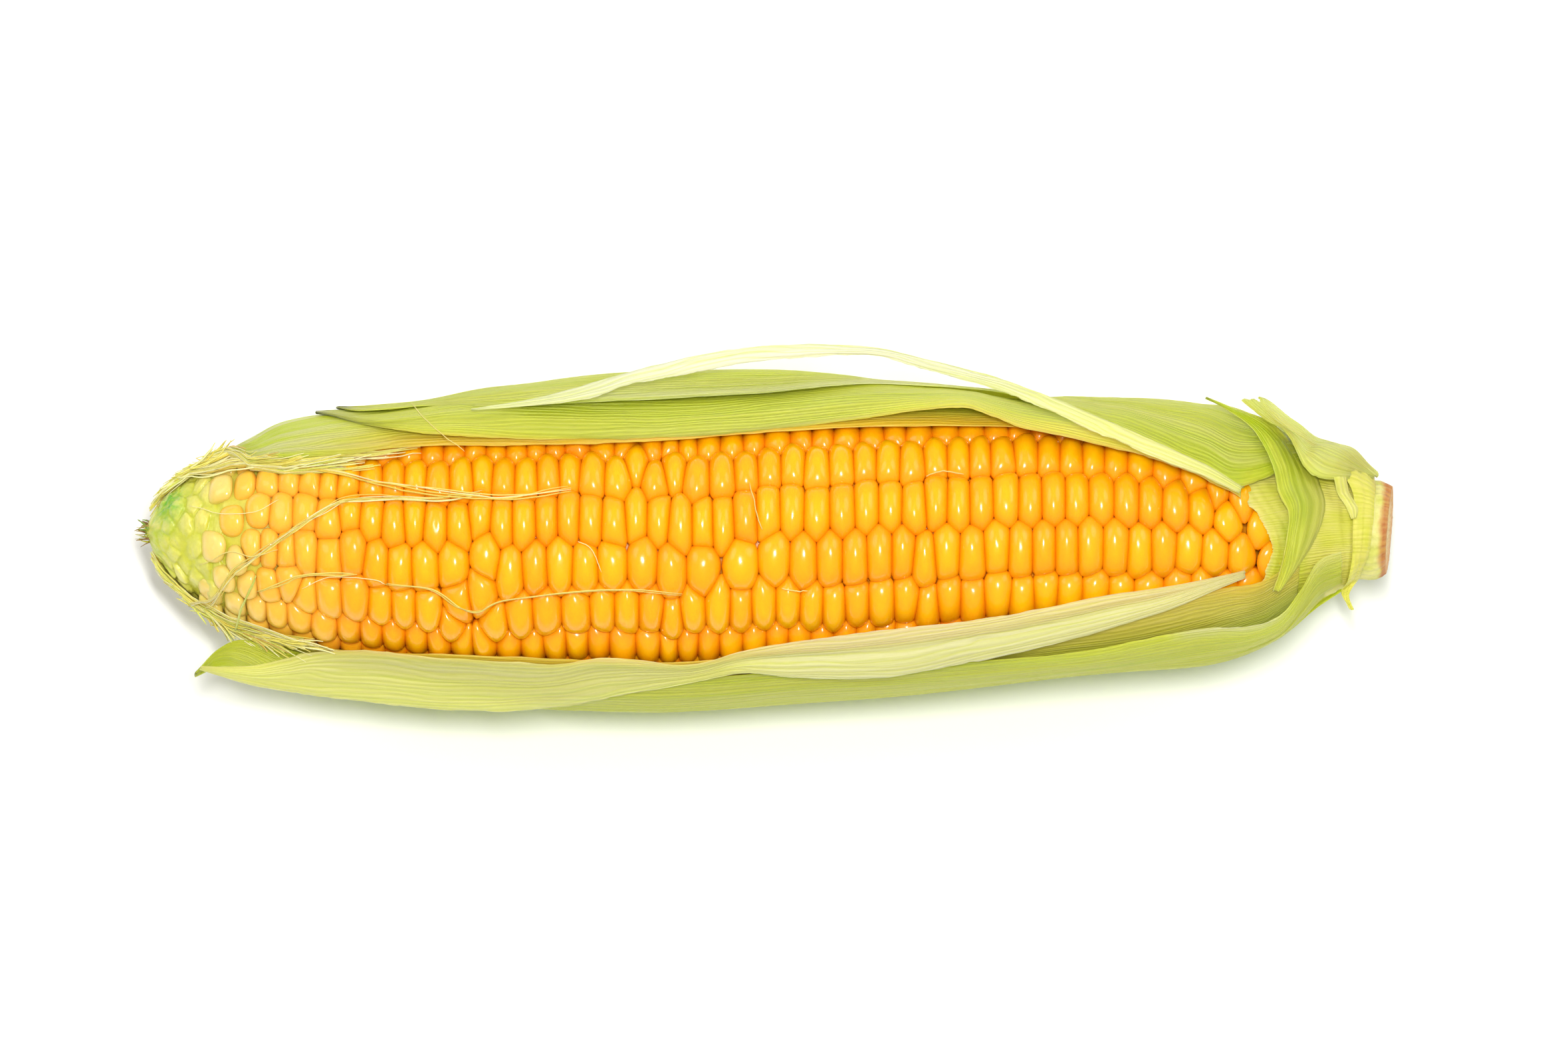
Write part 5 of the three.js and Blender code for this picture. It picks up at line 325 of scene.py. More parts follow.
        [[100.6,86.0,17.2],[100.6,64.0,17.0],[98.5,53.7,18.8],[96.4,43.4,20.0]],
        [[104.1,103.1,16.1],[104.1,81.1,15.9],[100.9,58.6,17.45],[97.7,36.1,18.64]],
        [[107.3,103.5,15.1],[107.3,81.5,14.9],[104.1,58.0,15.85],[101.0,34.5,16.2]],
        [[110.0,99.9,12.4],[110.0,77.9,12.2],[108.1,62.4,12.7],[106.1,46.9,12.6]],
        [[111.9,92.5,10.65],[111.9,70.5,10.45],[111.3,67.7,10.63],[110.8,64.9,10.2]]],
    "stem_ring_leaf": [
        [[108.4,66.7,15.31],[109.9,65.8,13.38],[111.3,64.9,12.62]],
        [[107.4,37.3,10.73],[109.1,37.3,10.15],[110.8,37.3,9.6]],
        [[106.8,15.8,10.65],[108.6,15.0,10.35],[110.4,14.2,9.8]],
        [[106.8,-4.9,10.58],[108.5,-5.3,10.35],[110.2,-5.8,9.8]],
        [[106.8,-24.5,10.63],[108.2,-26.3,10.25],[109.5,-28.2,9.8]],
        [[106.3,-44.3,12.61],[107.5,-46.5,9.75],[108.7,-48.7,9.4]],
        [[105.5,-67.9,11.24],[106.9,-68.9,9.75],[108.2,-69.9,9.6]],
        [[105.0,-76.0,11.63],[106.0,-72.6,11.35],[107.0,-69.2,11.2]],
        [[105.3,-75.2,12.6],[105.9,-73.6,13.05],[106.5,-72.0,12.8]],
        [[106.5,-73.5,14.6],[106.9,-75.2,15.15],[107.4,-77.0,15.0]]],
    "torn_shred": [
        [[102.8,35.9,16.63],[104.1,37.9,16.17],[105.3,39.9,15.16]],
        [[103.5,29.1,14.46],[104.8,30.3,13.7],[106.2,31.6,12.9]],
        [[104.4,22.9,13.77],[105.8,23.3,13.4],[107.1,23.7,12.6]],
        [[105.4,15.9,13.2],[106.5,17.0,13.1],[107.6,18.1,12.4]],
        [[106.3,8.7,12.6],[106.7,9.4,12.75],[107.1,10.1,12.3]]]
}
CT, ST = math.cos(TILT), math.sin(TILT)


def at(x, deg, r):
    x, deg, r = np.broadcast_arrays(*(np.asarray(a, float) for a in (x, deg, r)))
    a = np.radians(deg)
    v = np.interp(x, BEND[:, 0], BEND[:, 1]) + r * np.sin(a)
    w = r * np.cos(a)
    return np.stack([x + SHIFT_X, v * CT - w * ST + SHIFT_Y, v * ST + w * CT + AXIS_HEIGHT], -1) * 1e-3


def crown(x):
    return np.interp(x, CROWN[:, 0], CROWN[:, 1])


rng = np.random.default_rng(7)


def lin(rgb):
    """sRGB 0-255 to linear."""
    c = np.asarray(rgb, float) / 255
    return np.where(c <= 0.04045, c / 12.92, ((c + 0.055) / 1.055) ** 2.4)


def smooth(a, b, x):
    t = np.clip((x - a) / (b - a), 0, 1)
    return t * t * (3 - 2 * t)


def noise(x, y, seed):
    """Smooth value noise from -1 to 1 on any two coordinates."""
    x, y = np.broadcast_arrays(np.asarray(x, float), np.asarray(y, float))
    xi, yi = np.floor(x).astype(np.int64), np.floor(y).astype(np.int64)
    fx, fy = x - xi, y - yi
    fx, fy = fx * fx * (3 - 2 * fx), fy * fy * (3 - 2 * fy)

    def h(a, b):
        n = (a * 374761393 + b * 668265263 + seed * 1442695041) & 0xFFFFFFFF
        n = ((n ^ (n >> 13)) * 1274126177) & 0xFFFFFFFF
        n = n ^ (n >> 16)
        return n / 2147483647.5 - 1

    return ((h(xi, yi) * (1 - fx) + h(xi + 1, yi) * fx) * (1 - fy)
            + (h(xi, yi + 1) * (1 - fx) + h(xi + 1, yi + 1) * fx) * fy)


def fbm(x, y, seed, n=3):
    return sum(noise(x * 2 ** i, y * 2 ** i, seed + i) / 2 ** i for i in range(n)) / 1.75


# ---------------------------------------------------------------- mesh helpers
def make(name, verts, quads=None, tris=None, mat=None, color=None, uv=None, body=True, replaces=()):
    me = bpy.data.meshes.new(name)
    verts = np.asarray(verts, float).reshape(-1, 3)
    quads = np.zeros((0, 4), np.int32) if quads is None else np.asarray(quads, np.int32).reshape(-1, 4)
    tris = np.zeros((0, 3), np.int32) if tris is None else np.asarray(tris, np.int32).reshape(-1, 3)
    me.vertices.add(len(verts))
    me.vertices.foreach_set("co", verts.ravel())
    loops = np.concatenate([quads.ravel(), tris.ravel()])
    me.loops.add(len(loops))
    me.loops.foreach_set("vertex_index", loops)
    total = np.concatenate([np.full(len(quads), 4), np.full(len(tris), 3)]).astype(np.int32)
    start = np.concatenate([[0], np.cumsum(total)[:-1]]).astype(np.int32)
    me.polygons.add(len(total))
    me.polygons.foreach_set("loop_start", start)
    me.polygons.foreach_set("loop_total", total)
    me.polygons.foreach_set("use_smooth", np.ones(len(total), bool))
    if color is not None:
        c = me.color_attributes.new("Col", "FLOAT_COLOR", "POINT")
        rgba = np.ones((len(verts), 4))
        rgba[:, :3] = np.clip(color, 0, 1)
        c.data.foreach_set("color", rgba.ravel())
    if uv is not None:
        layer = me.uv_layers.new(name="UVMap")
        layer.data.foreach_set("uv", np.asarray(uv, float)[loops].ravel())
    me.update()
    me.validate(clean_customdata=False)
    ob = bpy.data.objects.new(name, me)
    bpy.context.scene.collection.objects.link(ob)
    if mat is not None:
        me.materials.append(mat)
    if body:
        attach(ob, "root")
        if replaces:
            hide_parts(*replaces)
    return ob


def grid_quads(nu, nv, off=0, flip=False, wrap=False):
    i, j = np.meshgrid(np.arange(nu - 1), np.arange(nv if wrap else nv - 1), indexing="ij")
    j2 = (j + 1) % nv
    q = np.stack([i * nv + j, (i + 1) * nv + j, (i + 1) * nv + j2, i * nv + j2], -1).reshape(-1, 4) + off
    return q[:, ::-1] if flip else q


def weights(t):
    t2, t3 = t * t, t * t * t
    return np.stack([-0.5 * t + t2 - 0.5 * t3, 1 - 2.5 * t2 + 1.5 * t3, 0.5 * t + 2 * t2 - 1.5 * t3, -0.5 * t2 + 0.5 * t3], -1)


def net(grid, S, T):
    """Bicubic value of a control net at S along and T across, both 0 to 1."""
    g = np.asarray(grid, float)
    g = np.concatenate([2 * g[:1] - g[1:2], g, 2 * g[-1:] - g[-2:-1]], 0)
    g = np.concatenate([2 * g[:, :1] - g[:, 1:2], g, 2 * g[:, -1:] - g[:, -2:-1]], 1)
    n, m = g.shape[0] - 2, g.shape[1] - 2
    s, t = np.clip(S, 0, 1) * (n - 1), np.clip(T, 0, 1) * (m - 1)
    i, j = np.minimum(s.astype(int), n - 2), np.minimum(t.astype(int), m - 2)
    ws, wt = weights(s - i), weights(t - j)
    out = 0
    for a in range(4):
        for b in range(4):
            out = out + (ws[..., a] * wt[..., b])[..., None] * g[i + a, j + b]
    return out


def tubes(name, paths, radii, mat, colors, sides=5, replaces=()):
    """Closed thin tubes along many paths of equal point count, in metres."""
    P = np.asarray(paths)                                  # n, k, 3
    n, k, _ = P.shape
    tan = np.gradient(P, axis=1)
    tan /= np.linalg.norm(tan, axis=-1, keepdims=True) + 1e-12
    up = np.zeros_like(tan)
    up[..., 2] = 1
    side = np.cross(tan, up)
    bad = np.linalg.norm(side, axis=-1) < 0.1
    side[bad] = np.cross(tan[bad], np.array([0, 1.0, 0]))
    side /= np.linalg.norm(side, axis=-1, keepdims=True)
    nor = np.cross(side, tan)
    a = np.arange(sides) / sides * 2 * math.pi
    R = np.asarray(radii)                                  # n, k
    ring = (P[:, :, None] + R[:, :, None, None] * (np.cos(a)[None, None, :, None] * side[:, :, None]
            + np.sin(a)[None, None, :, None] * nor[:, :, None] * 0.75))
    V = np.concatenate([ring.reshape(n, k * sides, 3), P[:, :1], P[:, -1:]], 1)
    q = grid_quads(k, sides, wrap=True, flip=True)
    s, e, last = k * sides, k * sides + 1, (k - 1) * sides
    j = np.arange(sides)
    t = np.concatenate([np.stack([np.full(sides, s), (j + 1) % sides, j], -1),
                        np.stack([np.full(sides, e), last + j, last + (j + 1) % sides], -1)])
    per = k * sides + 2
    off = (np.arange(n) * per)[:, None, None]
    C = np.repeat(np.asarray(colors), per, 0)
    return make(name, V, q[None] + off, t[None] + off, mat, color=C, replaces=replaces)


# ------------------------------------------------------------------- materials
def material(name):
    m = bpy.data.materials.new(name)
    m.use_nodes = True
    nt = m.node_tree
    b = nt.nodes["Principled BSDF"]
    return m, nt, b


def node(nt, kind, **props):
    n = nt.nodes.new(kind)
    ins = props.pop("ins", {})
    for k, v in props.items():
        setattr(n, k, v)
    for k, v in ins.items():
        n.inputs[k].default_value = v
    return n


def link(nt, a, b):
    nt.links.new(a, b)


def mathn(nt, op, a, b=None, c=None):
    n = node(nt, "ShaderNodeMath", operation=op)
    for i, x in enumerate((a, b, c)):
        if x is None:
            continue
        if isinstance(x, (int, float)):
            n.inputs[i].default_value = x
        else:
            link(nt, x, n.inputs[i])
    return n.outputs[0]


def mixc(nt, blend, fac, a, b):
    n = node(nt, "ShaderNodeMix", data_type="RGBA", blend_type=blend)
    for sock, x in ((n.inputs["Factor"], fac), (n.inputs[6], a), (n.inputs[7], b)):
        if isinstance(x, (int, float)):
            sock.default_value = x
        elif isinstance(x, (tuple, list, np.ndarray)):
            sock.default_value = (*x, 1) if len(x) == 3 else x
        else:
            link(nt, x, sock)
    return n.outputs[2]


def ramp(nt, src, stops):
    n = node(nt, "ShaderNodeValToRGB")
    e = n.color_ramp.elements
    while len(e) < len(stops):
        e.new(0.5)
    for el, (p, c) in zip(e, stops):
        el.position = p
        el.color = (c, c, c, 1) if isinstance(c, (int, float)) else (*c, 1)
    link(nt, src, n.inputs[0])
    return n.outputs[0]


def kernel_material():
    m, nt, b = material("kernel_skin")
    col = node(nt, "ShaderNodeAttribute", attribute_name="Col").outputs["Color"]
    tc = node(nt, "ShaderNodeTexCoord").outputs["Object"]
    n1 = node(nt, "ShaderNodeTexNoise", ins={"Scale": 420.0, "Detail": 3.0, "Roughness": 0.6})
    link(nt, tc, n1.inputs["Vector"])
    n2 = node(nt, "ShaderNodeTexNoise", ins={"Scale": 2600.0, "Detail": 2.0})
    link(nt, tc, n2.inputs["Vector"])
    var = ramp(nt, n1.outputs[0], [(0.30, (0.93, 0.87, 0.70)), (0.55, (1, 1, 1)), (0.78, (1.0, 1.0, 1.0))])
    c = mixc(nt, "MULTIPLY", 0.4, col, var)
    spk = ramp(nt, n2.outputs[0], [(0.34, (0.95, 0.9, 0.8)), (0.5, (1, 1, 1))])
    c = mixc(nt, "MULTIPLY", 0.18, c, spk)
    link(nt, c, b.inputs["Base Color"])
    r = ramp(nt, n1.outputs[0], [(0.25, 0.26), (0.7, 0.19)])
    link(nt, r, b.inputs["Roughness"])
    b.inputs["Specular IOR Level"].default_value = 0.42
    b.inputs["Subsurface Weight"].default_value = 0.32
    b.inputs["Subsurface Radius"].default_value = (1.0, 0.42, 0.06)
    b.inputs["Subsurface Scale"].default_value = 0.0026
    b.inputs["Coat Weight"].default_value = 0.22
    b.inputs["Coat Roughness"].default_value = 0.10
    n3 = node(nt, "ShaderNodeTexNoise", ins={"Scale": 750.0, "Detail": 2.0})
    link(nt, tc, n3.inputs["Vector"])
    bp = node(nt, "ShaderNodeBump", ins={"Strength": 0.05, "Distance": 0.0004})
    link(nt, n3.outputs[0], bp.inputs["Height"])
    link(nt, bp.outputs[0], b.inputs["Normal"])
    return m


def leaf_material(name, vein=1.05, rough=0.42, sss=0.25, vein_dark=0.80, bump=1.0, across=False, streak=0.8, depth=(0.94, 0.93, 0.88)):
    """Parallel-veined leaf. UV is in centimetres: along, across."""
    m, nt, b = material(name)
    col = node(nt, "ShaderNodeAttribute", attribute_name="Col").outputs["Color"]
    uv = node(nt, "ShaderNodeUVMap", uv_map="UVMap").outputs[0]
    if across:                                                # net runs round the stem: swap the two axes
        sp = node(nt, "ShaderNodeSeparateXYZ")
        link(nt, uv, sp.inputs[0])
        cb = node(nt, "ShaderNodeCombineXYZ")
        link(nt, sp.outputs[0], cb.inputs[1])
        link(nt, sp.outputs[1], cb.inputs[0])
        uv = cb.outputs[0]
    sep = node(nt, "ShaderNodeSeparateXYZ")
    link(nt, uv, sep.inputs[0])
    # slow wander of the veins
    mp = node(nt, "ShaderNodeMapping", ins={"Scale": (0.35, 1.6, 1.0)})
    link(nt, uv, mp.inputs[0])
    wn = node(nt, "ShaderNodeTexNoise", ins={"Scale": 1.0, "Detail": 2.0})
    link(nt, mp.outputs[0], wn.inputs["Vector"])
    wob = mathn(nt, "MULTIPLY", mathn(nt, "SUBTRACT", wn.outputs[0], 0.5), 0.5)
    vv = mathn(nt, "ADD", sep.outputs[1], wob)
    ph = mathn(nt, "MULTIPLY", vv, 2 * math.pi * 10 / vein)
    sn = mathn(nt, "SINE", ph)
    sn01 = mathn(nt, "MULTIPLY_ADD", sn, 0.5, 0.5)
    line = mathn(nt, "POWER", sn01, 5.0)                      # narrow vein lines
    # broad and fine streaks that run along the leaf
    s1 = node(nt, "ShaderNodeMapping", ins={"Scale": (0.26, 14.0, 1.0)})
    link(nt, uv, s1.inputs[0])
    t1 = node(nt, "ShaderNodeTexNoise", ins={"Scale": 1.0, "Detail": 4.0, "Roughness": 0.65})
    link(nt, s1.outputs[0], t1.inputs["Vector"])
    s2 = node(nt, "ShaderNodeMapping", ins={"Scale": (1.3, 85.0, 1.0)})
    link(nt, uv, s2.inputs[0])
    t2 = node(nt, "ShaderNodeTexNoise", ins={"Scale": 1.0, "Detail": 3.0, "Roughness": 0.7})
    link(nt, s2.outputs[0], t2.inputs["Vector"])
    s3 = node(nt, "ShaderNodeMapping", ins={"Scale": (22.0, 60.0, 1.0)})
    link(nt, uv, s3.inputs[0])
    t3 = node(nt, "ShaderNodeTexNoise", ins={"Scale": 1.0, "Detail": 2.0})
    link(nt, s3.outputs[0], t3.inputs["Vector"])
    c = mixc(nt, "MULTIPLY", streak, col, ramp(nt, t1.outputs[0], [(0.34, (0.80, 0.88, 0.40)), (0.52, (1, 1, 1)), (0.72, (1.0, 1.0, 1.0))]))
    c = mixc(nt, "SCREEN", mathn(nt, "MULTIPLY", ramp(nt, t1.outputs[0], [(0.55, 0.0), (0.78, 1.0)]), 0.35), c, (0.55, 0.55, 0.42))
    c = mixc(nt, "MULTIPLY", mathn(nt, "MULTIPLY", line, 0.85), c, (vein_dark, vein_dark * 1.04, vein_dark * 0.62))
    c = mixc(nt, "MULTIPLY", 0.5, c, ramp(nt, t2.outputs[0], [(0.3, (0.84, 0.88, 0.68)), (0.6, (1, 1, 1))]))
    c = mixc(nt, "MULTIPLY", 1.0, c, depth)
    link(nt, c, b.inputs["Base Color"])
    rr = ramp(nt, t3.outputs[0], [(0.3, rough + 0.12), (0.7, rough - 0.08)])
    link(nt, rr, b.inputs["Roughness"])
    b.inputs["Specular IOR Level"].default_value = 0.45
    b.inputs["Subsurface Weight"].default_value = sss
    b.inputs["Subsurface Radius"].default_value = (0.95, 1.0, 0.45)
    b.inputs["Subsurface Scale"].default_value = 0.003
    hgt = mathn(nt, "ADD", mathn(nt, "MULTIPLY", sn01, -0.55), mathn(nt, "MULTIPLY", t2.outputs[0], 0.6))
    hgt = mathn(nt, "ADD", hgt, mathn(nt, "MULTIPLY", t3.outputs[0], 0.10))
    hgt = mathn(nt, "ADD", hgt, mathn(nt, "MULTIPLY", t1.outputs[0], 0.7))
    bp = node(nt, "ShaderNodeBump", ins={"Strength": 0.9 * bump, "Distance": 0.0003})
    link(nt, hgt, bp.inputs["Height"])
    link(nt, bp.outputs[0], b.inputs["Normal"])
    return m


def fibre_material(name, rough=0.5, scale=900.0, sss=0.2, bumpd=0.0004, strength=0.5, spec=0.4, depth=(0.95, 0.95, 0.9)):
    m, nt, b = material(name)
    col = node(nt, "ShaderNodeAttribute", attribute_name="Col").outputs["Color"]
    tc = node(nt, "ShaderNodeTexCoord").outputs["Object"]
    n1 = node(nt, "ShaderNodeTexNoise", ins={"Scale": scale, "Detail": 4.0, "Roughness": 0.6})
    link(nt, tc, n1.inputs["Vector"])
    c = mixc(nt, "MULTIPLY", 0.6, col, ramp(nt, n1.outputs[0], [(0.32, (0.82, 0.84, 0.62)), (0.6, (1, 1, 1))]))
    c = mixc(nt, "MULTIPLY", 1.0, c, depth)
    link(nt, c, b.inputs["Base Color"])
    link(nt, ramp(nt, n1.outputs[0], [(0.3, rough + 0.1), (0.7, rough - 0.1)]), b.inputs["Roughness"])
    b.inputs["Specular IOR Level"].default_value = spec
    b.inputs["Subsurface Weight"].default_value = sss
    b.inputs["Subsurface Radius"].default_value = (1.0, 0.8, 0.3)
    b.inputs["Subsurface Scale"].default_value = 0.0012
    bp = node(nt, "ShaderNodeBump", ins={"Strength": strength, "Distance": bumpd})
    link(nt, n1.outputs[0], bp.inputs["Height"])
    link(nt, bp.outputs[0], b.inputs["Normal"])
    return m


KERNEL = kernel_material()
LEAF = leaf_material("husk_leaf", sss=0.7, depth=(1.0, 1.0, 0.72))
LEAF_PALE = leaf_material("husk_leaf_pale", vein=0.85, rough=0.40, sss=0.6, vein_dark=0.90, bump=0.7, streak=0.5, depth=(1.0, 0.99, 0.74))
LEAF_STRIP = leaf_material("husk_strip", vein=0.75, rough=0.36, sss=0.35, vein_dark=0.90, bump=0.8, streak=0.6)
LEAF_SHEATH = leaf_material("husk_sheath", vein=0.9, rough=0.42, sss=0.3, vein_dark=0.88, across=True, bump=0.6, streak=0.4, depth=(0.99, 0.96, 0.58))
COBM = fibre_material("cob_tip", rough=0.34, scale=700.0, sss=0.35, strength=0.4, spec=0.5, depth=(0.92, 0.92, 0.52))
STEMM = fibre_material("stem_flesh", rough=0.5, scale=1100.0, sss=0.2, bumpd=0.0005)
SILK = fibre_material("silk_hair", rough=0.38, scale=2500.0, sss=0.2, strength=0.2, spec=0.5)

# --------------------------------------------------------------------- kernels
# kernel colours: the crown is painted lighter, and the rim and groove walls are painted deeper orange, as painted light
# and shade
YELLOW = lin((251, 176, 4))
YELLOW_LIT_CROWN = lin((253, 182, 5))
ORANGE_RIM_SHADE = lin((249, 160, 14))
DEEP_GROOVE_SHADE = lin((236, 120, 8))
PALEK = lin((244, 214, 122))
PALEK_RIM_SHADE = lin((226, 204, 104))


def kernel_rows():
    u, th, row = KERNELS[:, 0], KERNELS[:, 1], KERNELS[:, 2].astype(int)
    n = len(u)
    Rc = crown(u)
    NA = 32
    phi = np.arange(NA) / NA * 2 * math.pi
    T = np.array([0.12, 0.24, 0.36, 0.47, 0.57, 0.66, 0.74, 0.81, 0.87, 0.92, 0.96, 0.99, 1.0])
    r0 = np.random.default_rng(21)
    size = 1 + r0.normal(0, 0.02, n)
    up = r0.normal(0, 0.22, n)
    lean = r0.normal(0, 0.05, (n, 2))
    hue = r0.random(n)
    # neighbours
    dth = (th[None] - th[:, None] + 180) % 360 - 180
    dx = u[None] - u[:, None]
    asp = np.clip(10.62 / Rc, 0.43, 0.85)
    dy = np.radians(dth) * Rc[:, None] * asp[:, None]
    dist = np.hypot(dx, dy)
    near = (dist < 10.5) & (dist > 1e-6)
    tipness = 1 - smooth(-97.0, -86.0, u)
    sharp = 8.5 - 3.5 * tipness - 2.5 * smooth(78, 88, u)
    rho = np.zeros((n, NA))
    cen = np.zeros((n, 2))
    walls = []
    for i in range(n):
        k = np.nonzero(near[i])[0]
        d = dist[i, k] / 2
        nrm = np.stack([dx[i, k], dy[i, k]], -1) / dist[i, k][:, None]
        # the first and last kernels of a row are rounded off at the open end
        tp = tipness[i]
        d = np.concatenate([d, [4.4 - 1.9 * tp, 4.4 - 1.9 * tp, 3.4 - 0.9 * tp, 3.4 - 0.9 * tp]])
        nrm = np.concatenate([nrm, [[1, 0], [-1, 0], [0, 1], [0, -1]]])
        walls.append((d, nrm))

    def solve(i, c):
        d, nrm = walls[i]
        dd = np.maximum(d - nrm @ c, 0.25)
        cs = np.maximum(np.cos(phi)[:, None] * nrm[None, :, 0] + np.sin(phi)[:, None] * nrm[None, :, 1], 0)
        return (((cs / dd[None]) ** sharp[i]).sum(1)) ** (-1 / sharp[i])

    for i in range(n):
        c = np.zeros(2)
        for _ in range(2):
            r = solve(i, c)
            w = (r ** 2).sum()
            c = c + 0.8 * np.array([(r ** 3 * np.cos(phi)).sum(), (r ** 3 * np.sin(phi)).sum()]) / w * (2 / 3)
        cen[i] = c
        rho[i] = solve(i, c)
    rho *= (1.085 - 0.06 * tipness)[:, None]
    # surface rings
    edge_x = np.interp((th + 180) % 360 - 180, [-180, -90, -60, -40, -25, -5, 12, 28, 60, 90, 180], [-97, -97, -96, -94, -94, -98, -104, -99.5, -98.5, -97, -97])
    pale = 1 - smooth(edge_x - 2.0, edge_x + 4.0, u + r0.normal(0, 1.2, n))
    wan = 1 - smooth(-100, -70, u)
    dent = np.where(r0.random(n) < 0.10 + 0.35 * (u < -88), r0.uniform(0.15, 0.6, n), 0.0) * (u < -60)
    dent += np.where(r0.random(n) < 0.04, 0.2, 0.0)
    depth = np.clip(Rc / 24.4, 0.6, 1) * (1 - 0.15 * pale)
    depth = depth[:, None] * (3.0 + 0.35 * (np.abs(np.sin(phi)) ** 2)[None])
    t = T[None, :, None]
    ax = 0.5 * (rho[:, 0] + rho[:, NA // 2])
    ay = 0.5 * (rho[:, NA // 4] + rho[:, 3 * NA // 4])
    oval = (ax * ay)[:, None] / np.sqrt((ay[:, None] * np.cos(phi)[None]) ** 2 + (ax[:, None] * np.sin(phi)[None]) ** 2)
    tr = t * ((1 - t ** 2.5) * oval[:, None, :] + t ** 2.5 * rho[:, None, :])
    px = cen[:, 0][:, None, None] + tr * np.cos(phi)
    py = (cen[:, 1][:, None, None] + tr * np.sin(phi)) / asp[:, None, None]
    drop = depth[:, None, :] * (1 - (1 - np.minimum(t, 1) ** 2.15 * 0.985) ** 0.5)
    drop = drop + dent[:, None, None] * np.exp(-(t / 0.42) ** 2)
    lim3 = lean[:, 0][:, None, None] * px + lean[:, 1][:, None, None] * py
    bumps = 0.045 * noise(px * 0.9 + u[:, None, None] * 3.1, py * 0.5 + th[:, None, None], 3)
    X = u[:, None, None] + px
    TH = th[:, None, None] + np.degrees(py / Rc[:, None, None])
    RR = crown(X) + up[:, None, None] - drop + lim3 * (1 - t ** 2) * 0.7 + bumps * (1 - t)
    seat = np.interp(X, [-103, -94.6, -82.3, -65.3, -37.2, 17.7, 54.3, 72.6, 84.8, 91.5], [7.8, 10.4, 12.4, 14.2, 15.4, 15.6, 15, 13.6, 11.2, 9.5]) - 0.2
    rings_r = [RR]
    rings_x = [X]
    rings_t = [TH]
    tcol = [np.broadcast_to(t, RR.shape)]
    # side walls down towards the cob
    for f, dd in ((0.985, 0.9), (0.93, 2.2)):
        x2 = u[:, None] + cen[:, 0][:, None] + rho * f * np.cos(phi)
        y2 = (cen[:, 1][:, None] + rho * f * np.sin(phi)) / asp[:, None]
        r2 = np.maximum(RR[:, -1] - dd, seat[:, -1])
        rings_x.append(x2[:, None])
        rings_t.append((th[:, None] + np.degrees(y2 / Rc[:, None]))[:, None])
        rings_r.append(r2[:, None])
        tcol.append(np.full((n, 1, NA), 1.25))
    X = np.concatenate(rings_x, 1)
    TH = np.concatenate(rings_t, 1)
    RR = np.concatenate(rings_r, 1)
    TC = np.concatenate(tcol, 1)
    top = np.stack([u + cen[:, 0], th + np.degrees(cen[:, 1] / asp / Rc), Rc + up - dent], -1)
    bot = np.stack([u + cen[:, 0], th + np.degrees(cen[:, 1] / asp / Rc), RR[:, -1].min(1) - 0.2], -1)
    NR = X.shape[1]
    V = np.concatenate([np.stack([X, TH, RR], -1).reshape(n, NR * NA, 3), top[:, None], bot[:, None]], 1)
    TCv = np.concatenate([TC.reshape(n, -1), np.zeros((n, 1)), np.full((n, 1), 1.3)], 1)
    # how far a point lies towards the kernel's long ends: the ends get more of the painted rim shade
    PH = np.concatenate([np.broadcast_to(np.abs(np.sin(phi)) ** 2, (n, NR, NA)).reshape(n, -1), np.zeros((n, 2))], 1)
    P = at(V[..., 0], V[..., 1], V[..., 2])
    # colours: painted light on the crown, painted shade towards the rim, and deeper painted shade down the walls in the
    # grooves
    e = smooth(0.55, 1.0, TCv)
    c = YELLOW_LIT_CROWN + (YELLOW - YELLOW_LIT_CROWN) * smooth(0.0, 0.55, TCv)[..., None]
    c = c + (ORANGE_RIM_SHADE - c) * (e * (0.80 + 0.2 * PH))[..., None]
    c = c + (DEEP_GROOVE_SHADE - c) * smooth(0.95, 1.2, TCv)[..., None]
    h = (hue - 0.5)[:, None, None]
    c = c * (1 + np.array([0.0, 0.14, -0.3]) * h)
    c = c + (lin((248, 204, 84)) - c) * (wan * 0.75)[:, None, None]
    pc = PALEK + (PALEK_RIM_SHADE - PALEK) * e[..., None]
    c = c + (pc - c) * (pale * 0.88)[:, None, None]
    q = grid_quads(NR, NA, wrap=True)
    j = np.arange(NA)
    tt = np.concatenate([np.stack([np.full(NA, NR * NA), j, (j + 1) % NA], -1),
                         np.stack([np.full(NA, NR * NA + 1), (NR - 1) * NA + (j + 1) % NA, (NR - 1) * NA + j], -1)])
    per = NR * NA + 2
    for k in range(16):
        sel = np.nonzero(row == k)[0]
        off = (np.arange(len(sel)) * per)[:, None, None]
        name = "kernel_row_%02d" % (k + 1)
        make("kernels_%02d" % (k + 1), P[sel], q[None] + off, tt[None] + off, KERNEL,
             color=c[sel].reshape(-1, 3), replaces=(name,))


kernel_rows()


